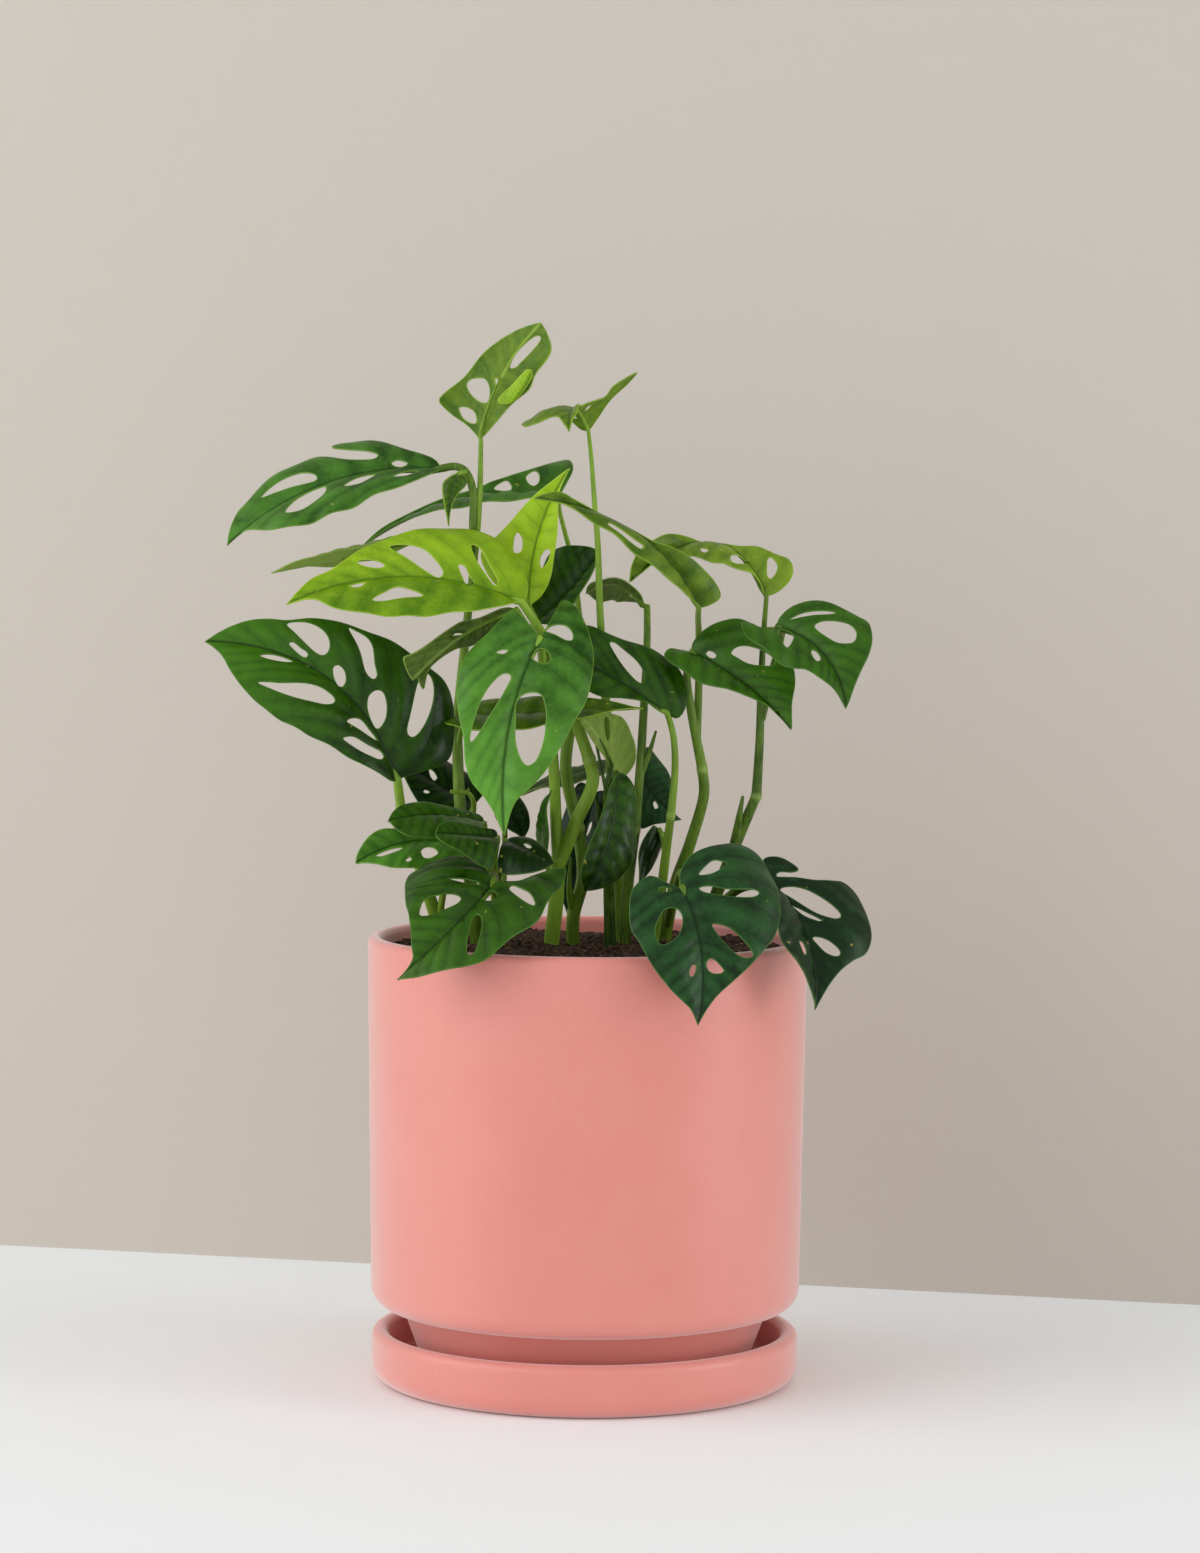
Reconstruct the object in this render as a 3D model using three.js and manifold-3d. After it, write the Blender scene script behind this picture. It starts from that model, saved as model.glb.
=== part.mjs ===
// A potted monstera esqueleto: a young aroid with cut leaves, in a pink glazed cylinder pot on its saucer.
// Millimetres, +Z up, the front towards -Y. The origin is the middle of the saucer's underside.
//
// The plant is drawn from the front. A place is written [across, up, depth]: where the point is seen on the
// upright sheet through the pot's axis from the viewing point EYE, and how far behind that sheet it lies.
// The sheet leans to one side by SHEET_LEAN radians about its middle.

import * as THREE from "three";
import { mergeVertices } from "three/addons/utils/BufferGeometryUtils.js";
import Module from "manifold-3d";

const wasm = await Module();
wasm.setup();

const EYE = { x: 4.4, y: -1751, z: 354 };
const SHEET_MIDDLE = { across: 4.9, up: 247 };
const SHEET_LEAN = 0.0085;

// Pot and saucer
const POT_RADIUS = 89.5;
const POT_TOP = 182;
const POT_DRAFT = 2;
const WALL = 6;
const BODY_BOTTOM = 31;
const BODY_ROUNDING = 8;
const FOOT_TOP_RADIUS = 75;
const FOOT_RADIUS = 66.5;
const FLOOR_THICKNESS = 8;
const DRAIN_RADIUS = 6;
const SAUCER_RADIUS = 87;
const SAUCER_HEIGHT = 21.5;
const SAUCER_BASE_RADIUS = 79;
const SAUCER_RIM = 7;
const SAUCER_FLOOR = 6;
const GAP = 0.3;
const ROUND_SIDES = 48;

// Soil
const SOIL_TOP = 175.5;
const SOIL_RELIEF = 1.1;
const STEM_DEPTH = 26;

// Blades and stems
const BLADE = 0.8;
const BLADE_CLEARANCE = 0.35;
const RIB_STEP = 9;
const MARGIN_STEP = 9;
const INNER_STEP = 11;
const EDGE_KEEP = 3.2;
const TUBE_STEP = 12;
const TUBE_SIDES = 6;
const LOBE_CURL = 80;
const STEP_DAMPING = 0.01;

const GREENS = {
  bright: 0x86ad1e,
  fresh: 0x5f9a2a,
  mid: 0x3f8236,
  dark: 0x2a5c26,
  blue: 0x2b5a38,
  pale: 0x7f9c4a,
};

// Solids

function solidOf(geometry) {
  geometry.deleteAttribute("normal");
  geometry.deleteAttribute("uv");
  const merged = mergeVertices(geometry, 1e-4);
  return new wasm.Manifold(
    new wasm.Mesh({
      numProp: 3,
      vertProperties: merged.attributes.position.array,
      triVerts: new Uint32Array(merged.index.array),
    }),
  );
}

function geometryOf(solid) {
  const mesh = solid.getMesh();
  const geometry = new THREE.BufferGeometry();
  geometry.setAttribute("position", new THREE.BufferAttribute(mesh.vertProperties, 3));
  geometry.setIndex(new THREE.BufferAttribute(mesh.triVerts, 1));
  geometry.computeVertexNormals();
  return geometry;
}

function largestPiece(solid) {
  return solid.decompose().reduce((a, b) => (b.volume() > a.volume() ? b : a));
}

function material(color, roughness) {
  return new THREE.MeshStandardMaterial({ color, roughness, metalness: 0 });
}

// Pot, saucer and soil: each profile is a closed loop of [radius, height] turned round the axis

function turned(profile) {
  const loop = [...profile, profile[0]].map(([r, z]) => new THREE.Vector2(r, z));
  const geometry = new THREE.LatheGeometry(loop, ROUND_SIDES);
  geometry.rotateX(Math.PI / 2);
  return geometry;
}

function arc(centreR, centreZ, radius, from, to, steps) {
  return Array.from({ length: steps + 1 }, (_, i) => {
    const a = THREE.MathUtils.degToRad(from + ((to - from) * i) / steps);
    return [centreR + radius * Math.cos(a), centreZ + radius * Math.sin(a)];
  });
}

const footBottom = SAUCER_FLOOR + GAP;
const innerRadius = POT_RADIUS - WALL;
const innerFloor = footBottom + FLOOR_THICKNESS;

function makePot() {
  const lip = WALL / 2;
  const bodyRadius = POT_RADIUS - POT_DRAFT;
  return turned([
    [DRAIN_RADIUS, footBottom],
    [FOOT_RADIUS, footBottom],
    [FOOT_TOP_RADIUS, BODY_BOTTOM - 2],
    ...arc(bodyRadius - BODY_ROUNDING, BODY_BOTTOM + BODY_ROUNDING, BODY_ROUNDING, -90, 0, 3),
    ...arc(POT_RADIUS - lip, POT_TOP - lip, lip, 0, 180, 4),
    [innerRadius - POT_DRAFT, BODY_BOTTOM + BODY_ROUNDING],
    [FOOT_TOP_RADIUS - WALL, BODY_BOTTOM],
    [FOOT_RADIUS - WALL, innerFloor],
    [DRAIN_RADIUS, innerFloor],
  ]);
}

function makeSaucer() {
  const lip = SAUCER_RIM / 2;
  const inner = SAUCER_RADIUS - SAUCER_RIM;
  return turned([
    [0, 0],
    [SAUCER_BASE_RADIUS - 2, 0],
    ...arc(SAUCER_BASE_RADIUS, 8, 8, -90, 0, 3),
    ...arc(SAUCER_RADIUS - lip, SAUCER_HEIGHT - lip, lip, 0, 180, 4),
    ...arc(inner - 4, SAUCER_FLOOR + 4, 4, 0, -90, 2),
    [0, SAUCER_FLOOR],
  ]);
}

function soilHeight(x, y) {
  const coarse = Math.sin(0.11 * x + 1.3) * Math.cos(0.13 * y - 0.4);
  const fine = 0.6 * Math.sin(0.37 * x - 0.21 * y) * Math.cos(0.29 * y + 0.5);
  return SOIL_TOP + SOIL_RELIEF * (coarse + fine);
}

function makeSoil(holes) {
  const side = innerRadius - GAP;
  const rings = [0, 15, 30, 45, 60, 72];
  const geometry = turned([
    [0, innerFloor + GAP],
    [FOOT_RADIUS - WALL - GAP - 1, innerFloor + GAP],
    [FOOT_TOP_RADIUS - WALL - GAP - 1, BODY_BOTTOM + 1],
    [side - POT_DRAFT - GAP, BODY_BOTTOM + BODY_ROUNDING + 1],
    [side, SOIL_TOP - 1.5],
    ...rings.reverse().map((r) => [r, SOIL_TOP]),
  ]);
  const place = geometry.attributes.position;
  for (let i = 0; i < place.count; i++) {
    const [x, y, z] = [place.getX(i), place.getY(i), place.getZ(i)];
    if (z > SOIL_TOP - 0.1) place.setZ(i, soilHeight(x, y));
  }
  return holes.reduce((soil, hole) => soil.subtract(hole), solidOf(geometry));
}

// Drawing: from [across, up, depth] to a place in space, and back

function place([across, up, depth]) {
  const [u, v] = [across - SHEET_MIDDLE.across, up - SHEET_MIDDLE.up];
  const k = 1 - depth / EYE.y;
  const x = EYE.x + (u - SHEET_LEAN * v) * k;
  const z = EYE.z + (SHEET_MIDDLE.up + v + SHEET_LEAN * u - EYE.z) * k;
  return new THREE.Vector3(x, depth, z);
}

function seen(p) {
  const k = 1 - p.y / EYE.y;
  const [u, v] = [(p.x - EYE.x) / k, EYE.z - SHEET_MIDDLE.up + (p.z - EYE.z) / k];
  return [SHEET_MIDDLE.across + u + SHEET_LEAN * v, SHEET_MIDDLE.up + v - SHEET_LEAN * u];
}

function smooth(points, closed, step) {
  const curve = [];
  const last = points.length - 1;
  const at = (i) => points[closed ? (i + points.length) % points.length : Math.min(last, Math.max(0, i))];
  const spans = closed ? points.length : last;
  for (let i = 0; i < spans; i++) {
    const [a, b, c, d] = [at(i - 1), at(i), at(i + 1), at(i + 2)];
    const cuts = Math.max(1, Math.round(Math.hypot(c[0] - b[0], c[1] - b[1]) / step));
    for (let j = 0; j < cuts; j++) {
      const t = j / cuts;
      curve.push(
        [0, 1].map((k) => {
          const bend = 2 * a[k] - 5 * b[k] + 4 * c[k] - d[k];
          const turn = 3 * (b[k] - c[k]) + d[k] - a[k];
          return b[k] + 0.5 * t * (c[k] - a[k] + t * (bend + t * turn));
        }),
      );
    }
  }
  if (!closed) curve.push(points[last]);
  return curve;
}

// A leaf blade: two halves that leave the midrib, each with its own lean, arch and turn

class Leaf {
  constructor({ rib, right, left }) {
    this.ends = rib.map(place);
    const [base, middle, tip] = this.ends;
    const m = base.distanceTo(middle) / (base.distanceTo(middle) + middle.distanceTo(tip));
    const handle = middle
      .clone()
      .addScaledVector(base, -((1 - m) ** 2))
      .addScaledVector(tip, -(m ** 2))
      .multiplyScalar(1 / (2 * m * (1 - m)));
    this.rib = new THREE.QuadraticBezierCurve3(base, handle, tip);
    this.length = this.rib.getLength();
    this.right = this.half(right, 1);
    this.left = this.half(left, -1);
  }

  half({ edge, at = 0.38, arch = 0.1, turn = 0, margin, holes = [], lobe = 0.1, full = 0.12 }, sign) {
    const along = this.rib.getTangentAt(at);
    const lean = place(edge).sub(this.rib.getPointAt(at));
    lean.addScaledVector(along, -lean.dot(along));
    const width = lean.length();
    const half = { sign, at, width, arch: arch * width, lean: lean.normalize() };
    half.turn = THREE.MathUtils.degToRad(turn);
    const base = [0, 0];
    const tip = [this.length, 0];
    const points = margin
      ? margin.map((p) => this.flatPlace(half, p))
      : generalMargin(this.length, width, at, lobe, full);
    half.margin = (step) => smooth([base, ...points, tip], false, step);
    half.holes = (step) => holes.map((h) => smooth(h.map((p) => this.flatPlace(half, p)), true, step));
    return half;
  }

  // The place in space of the flat point [along the rib, out from it]
  place(half, [along, out]) {
    const share = THREE.MathUtils.clamp(along / this.length, 0, 1);
    const start = this.rib.getPointAt(share);
    const tangent = this.rib.getTangentAt(share);
    const lean = half.lean.clone().addScaledVector(tangent, -half.lean.dot(tangent)).normalize();
    lean.applyAxisAngle(tangent, half.turn * (share - half.at));
    const normal = new THREE.Vector3().crossVectors(lean, tangent).multiplyScalar(half.sign);
    const back = Math.min(along, 0) / LOBE_CURL;
    const beyond = Math.max(along - this.length, 0);
    const t = out / half.width;
    const rise = 4 * half.arch * t * (1 - t) - LOBE_CURL * (1 - Math.cos(back));
    return start
      .addScaledVector(tangent, LOBE_CURL * Math.sin(back) + beyond)
      .addScaledVector(lean, out)
      .addScaledVector(normal, rise);
  }

  // The flat point that is seen at [across, up]: damped steps towards it on the drawing. Where a fold
  // shows two places there, a third number is the share of the midrib at which the steps start.
  flatPlace(half, [across, up, share]) {
    const [base, , tip] = this.ends.map(seen);
    const axis = [tip[0] - base[0], tip[1] - base[1]];
    const reach = [across - base[0], up - base[1]];
    const along = share ?? (reach[0] * axis[0] + reach[1] * axis[1]) / Math.hypot(...axis) ** 2;
    const flat = [along * this.length, half.width * (share === undefined ? 0.6 : 0.2)];
    for (let i = 0; i < 30; i++) {
      const [x, z] = seen(this.place(half, flat));
      const [xa, za] = seen(this.place(half, [flat[0] + 0.1, flat[1]]));
      const [xo, zo] = seen(this.place(half, [flat[0], flat[1] + 0.1]));
      const [a, b, c, d] = [(xa - x) / 0.1, (xo - x) / 0.1, (za - z) / 0.1, (zo - z) / 0.1];
      const [ex, ez] = [across - x, up - z];
      const [p, q, r] = [a * a + c * c + STEP_DAMPING, a * b + c * d, b * b + d * d + STEP_DAMPING];
      const [s, t] = [a * ex + c * ez, b * ex + d * ez];
      flat[0] += (r * s - q * t) / (p * r - q * q);
      flat[1] = THREE.MathUtils.clamp(flat[1] + (p * t - q * s) / (p * r - q * q), 0.25, 1.4 * half.width);
    }
    return flat;
  }
}

// The general margin of a heart-shaped blade: round at the base, widest at one share, drawn out to a tip
function generalMargin(length, width, widest, lobe, full) {
  const outline = [
    [-0.6 * lobe, 0.14],
    [-lobe, 0.42],
    [-0.5 * lobe, 0.72],
    [0.45 * widest, 0.94],
    [widest, 1],
    [widest + 0.33 * (1 - widest), 0.83],
    [widest + 0.62 * (1 - widest), 0.42 + full],
    [widest + 0.86 * (1 - widest), 0.1 + full / 2],
  ];
  return outline.map(([along, out]) => [along * length, out * width]);
}

// Meshing a half blade: its outline and holes cut into triangles, with inner points, flipped to even shapes

function inside(point, polygon) {
  let hit = false;
  polygon.forEach(([x1, y1], i) => {
    const [x2, y2] = polygon[(i + 1) % polygon.length];
    const crosses = y1 > point[1] !== y2 > point[1];
    if (crosses && point[0] < ((x2 - x1) * (point[1] - y1)) / (y2 - y1) + x1) hit = !hit;
  });
  return hit;
}

function distanceTo(point, polygon) {
  return Math.min(
    ...polygon.map(([x1, y1], i) => {
      const [x2, y2] = polygon[(i + 1) % polygon.length];
      const [dx, dy] = [x2 - x1, y2 - y1];
      const t = ((point[0] - x1) * dx + (point[1] - y1) * dy) / (dx * dx + dy * dy || 1);
      const s = THREE.MathUtils.clamp(t, 0, 1);
      return Math.hypot(point[0] - x1 - s * dx, point[1] - y1 - s * dy);
    }),
  );
}

function turnOf(a, b, c) {
  return (b[0] - a[0]) * (c[1] - a[1]) - (b[1] - a[1]) * (c[0] - a[0]);
}

function inCircle(a, b, c, d) {
  const rows = [a, b, c].map(([x, y]) => [x - d[0], y - d[1], (x - d[0]) ** 2 + (y - d[1]) ** 2]);
  const [[p, q, r], [s, t, u], [v, w, x]] = rows;
  return p * (t * x - u * w) - q * (s * x - u * v) + r * (s * w - t * v);
}

function flipToEven(triangles, flat) {
  for (let pass = 0; pass < 30; pass++) {
    const edges = new Map();
    let flips = 0;
    triangles.forEach((tri, t) => tri.forEach((v, i) => edges.set(v + "," + tri[(i + 1) % 3], [t, i])));
    const used = new Set();
    for (const [key, [t, i]] of edges) {
      const [u, v] = key.split(",").map(Number);
      const other = edges.get(v + "," + u);
      if (!other || u > v || used.has(t) || used.has(other[0])) continue;
      const p = triangles[t][(i + 2) % 3];
      const q = triangles[other[0]][(other[1] + 2) % 3];
      const [U, V, P, Q] = [u, v, p, q].map((k) => flat[k]);
      const convex = turnOf(P, U, Q) > 1e-6 && turnOf(Q, V, P) > 1e-6;
      if (!convex || inCircle(U, V, P, Q) <= 1e-6) continue;
      triangles[t] = [p, u, q];
      triangles[other[0]] = [q, v, p];
      used.add(t).add(other[0]);
      flips++;
    }
    if (!flips) return;
  }
}

function meshHalf(outline, holes) {
  const toVector = (p) => new THREE.Vector2(p[0], p[1]);
  const contour = outline.map(toVector);
  const cuts = holes.map((h) => h.map(toVector));
  if (THREE.ShapeUtils.isClockWise(contour)) contour.reverse();
  cuts.forEach((h) => THREE.ShapeUtils.isClockWise(h) || h.reverse());
  const flat = [contour, ...cuts].flat().map((v) => [v.x, v.y]);
  const triangles = THREE.ShapeUtils.triangulateShape(contour, cuts).map(([a, b, c]) =>
    turnOf(flat[a], flat[b], flat[c]) > 0 ? [a, b, c] : [a, c, b],
  );
  flipToEven(triangles, flat);
  const box = new THREE.Box2().setFromPoints(contour);
  for (let x = box.min.x + INNER_STEP / 2; x < box.max.x; x += INNER_STEP) {
    for (let y = box.min.y + INNER_STEP / 2; y < box.max.y; y += INNER_STEP) {
      const point = [x, y];
      if (!inside(point, outline) || holes.some((h) => inside(point, h))) continue;
      if ([outline, ...holes].some((loop) => distanceTo(point, loop) < EDGE_KEEP)) continue;
      const t = triangles.findIndex((tri) =>
        tri.every((v, i) => turnOf(flat[v], flat[tri[(i + 1) % 3]], point) > 0),
      );
      if (t < 0) continue;
      const [a, b, c] = triangles[t];
      const k = flat.push(point) - 1;
      triangles[t] = [a, b, k];
      triangles.push([b, c, k], [c, a, k]);
    }
  }
  flipToEven(triangles, flat);
  return { flat, triangles };
}

// The blade's middle surface: both halves, joined along the midrib
function surfaceOf(leaf) {
  const points = [];
  const faces = [];
  const index = new Map();
  const steps = Math.max(3, Math.round(leaf.length / RIB_STEP));
  for (const half of [leaf.right, leaf.left]) {
    const margin = half.margin(MARGIN_STEP);
    const rib = Array.from({ length: steps - 1 }, (_, i) => [leaf.length * (1 - (i + 1) / steps), 0]);
    const { flat, triangles } = meshHalf([...margin, ...rib], half.holes(MARGIN_STEP));
    const ids = flat.map((p) => {
      const where = leaf.place(half, p);
      const key = p[1] === 0 ? "rib " + p[0].toFixed(3) : "" + points.length;
      if (!index.has(key)) index.set(key, points.push(where) - 1);
      return index.get(key);
    });
    for (const [a, b, c] of triangles) {
      faces.push(half.sign > 0 ? [ids[a], ids[c], ids[b]] : [ids[a], ids[b], ids[c]]);
    }
  }
  return { points, faces };
}

// The middle surface given its thickness: the same triangles on both faces, and a strip round each edge.
// With some growth its edges are pushed outwards by that much.
function bladeSolid(leaf, thickness, growth = 0) {
  const { points, faces } = surfaceOf(leaf);
  const normals = points.map(() => new THREE.Vector3());
  const outwards = points.map(() => new THREE.Vector3());
  for (const face of faces) {
    const [a, b, c] = face.map((i) => points[i]);
    const normal = b.clone().sub(a).cross(c.clone().sub(a));
    face.forEach((i) => normals[i].add(normal));
  }
  normals.forEach((n) => n.normalize());
  const edges = new Set(faces.flatMap(([a, b, c]) => [a + "," + b, b + "," + c, c + "," + a]));
  const rim = [...edges]
    .map((edge) => edge.split(",").map(Number))
    .filter(([a, b]) => !edges.has(b + "," + a));
  for (const [a, b] of rim) {
    const side = points[b].clone().sub(points[a]).normalize();
    [a, b].forEach((i) => outwards[i].add(side.clone().cross(normals[i])));
  }
  const count = points.length;
  const shell = [0.5, -0.5].flatMap((side) =>
    points.map((p, i) =>
      p
        .clone()
        .addScaledVector(normals[i], side * thickness)
        .addScaledVector(outwards[i].normalize(), growth),
    ),
  );
  const index = faces.flatMap(([a, b, c]) => [a, b, c, c + count, b + count, a + count]);
  for (const [a, b] of rim) index.push(a, a + count, b, b, a + count, b + count);
  const geometry = new THREE.BufferGeometry().setFromPoints(shell);
  geometry.setIndex(index);
  return solidOf(geometry);
}

// Stems: a tapering tube along a smooth curve, with flat ends

function tube(points, from, to, sides) {
  const curve = new THREE.CatmullRomCurve3(points, false, "centripetal");
  const steps = Math.max(2, Math.round(curve.getLength() / TUBE_STEP));
  const frames = curve.computeFrenetFrames(steps, false);
  const rings = [];
  for (let i = 0; i <= steps; i++) {
    const centre = curve.getPointAt(i / steps);
    const radius = from + ((to - from) * i) / steps;
    for (let j = 0; j < sides; j++) {
      const a = (2 * Math.PI * j) / sides;
      rings.push(
        centre
          .clone()
          .addScaledVector(frames.normals[i], radius * Math.cos(a))
          .addScaledVector(frames.binormals[i], radius * Math.sin(a)),
      );
    }
  }
  const index = [];
  for (let i = 0; i < steps; i++) {
    for (let j = 0; j < sides; j++) {
      const [a, b] = [i * sides + j, i * sides + ((j + 1) % sides)];
      index.push(a, b, a + sides, b, b + sides, a + sides);
    }
  }
  for (let j = 1; j < sides - 1; j++) {
    index.push(0, j + 1, j, steps * sides, steps * sides + j, steps * sides + j + 1);
  }
  const geometry = new THREE.BufferGeometry().setFromPoints(rings);
  geometry.setIndex(index);
  return solidOf(geometry);
}

// Stems that start in the soil reach STEM_DEPTH below its top. One with a leaf ends just short of its blade.
function rooted([first, ...rest]) {
  const top = place(first);
  const next = place(rest[0]);
  const slope = (top.x - next.x) / (next.z - top.z);
  const foot = new THREE.Vector3(top.x + 0.5 * slope * STEM_DEPTH, top.y, SOIL_TOP - STEM_DEPTH);
  return [foot, top, ...rest.map(place)];
}

function makeStem({ path, from, to, soil, leaf }, leaves) {
  const route = leaf ? [...path, LEAVES[leaf].rib[0]] : path;
  const stem = tube(soil ? rooted(route) : route.map(place), from, to, TUBE_SIDES);
  if (!leaf) return stem;
  return largestPiece(stem.subtract(bladeSolid(leaves[leaf], BLADE + 2 * BLADE_CLEARANCE, BLADE_CLEARANCE)));
}

function soilHoles(stems) {
  return stems
    .filter((s) => s.soil)
    .map(({ path, from }) => {
      const [foot, top, next] = rooted(path);
      const over = top.clone().lerp(next, 0.6);
      foot.z -= 1;
      return tube([foot, top, over], from + GAP + 0.2, from + GAP + 0.2, TUBE_SIDES);
    });
}

// The leaves. rib: base, middle and tip of the midrib. right and left are the halves as seen from the upper
// face, looking from base to tip: edge is where the half is widest, at is the share of the midrib there.
// margin and holes are drawn points [across, up]; a half without a margin has the general one.

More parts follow.
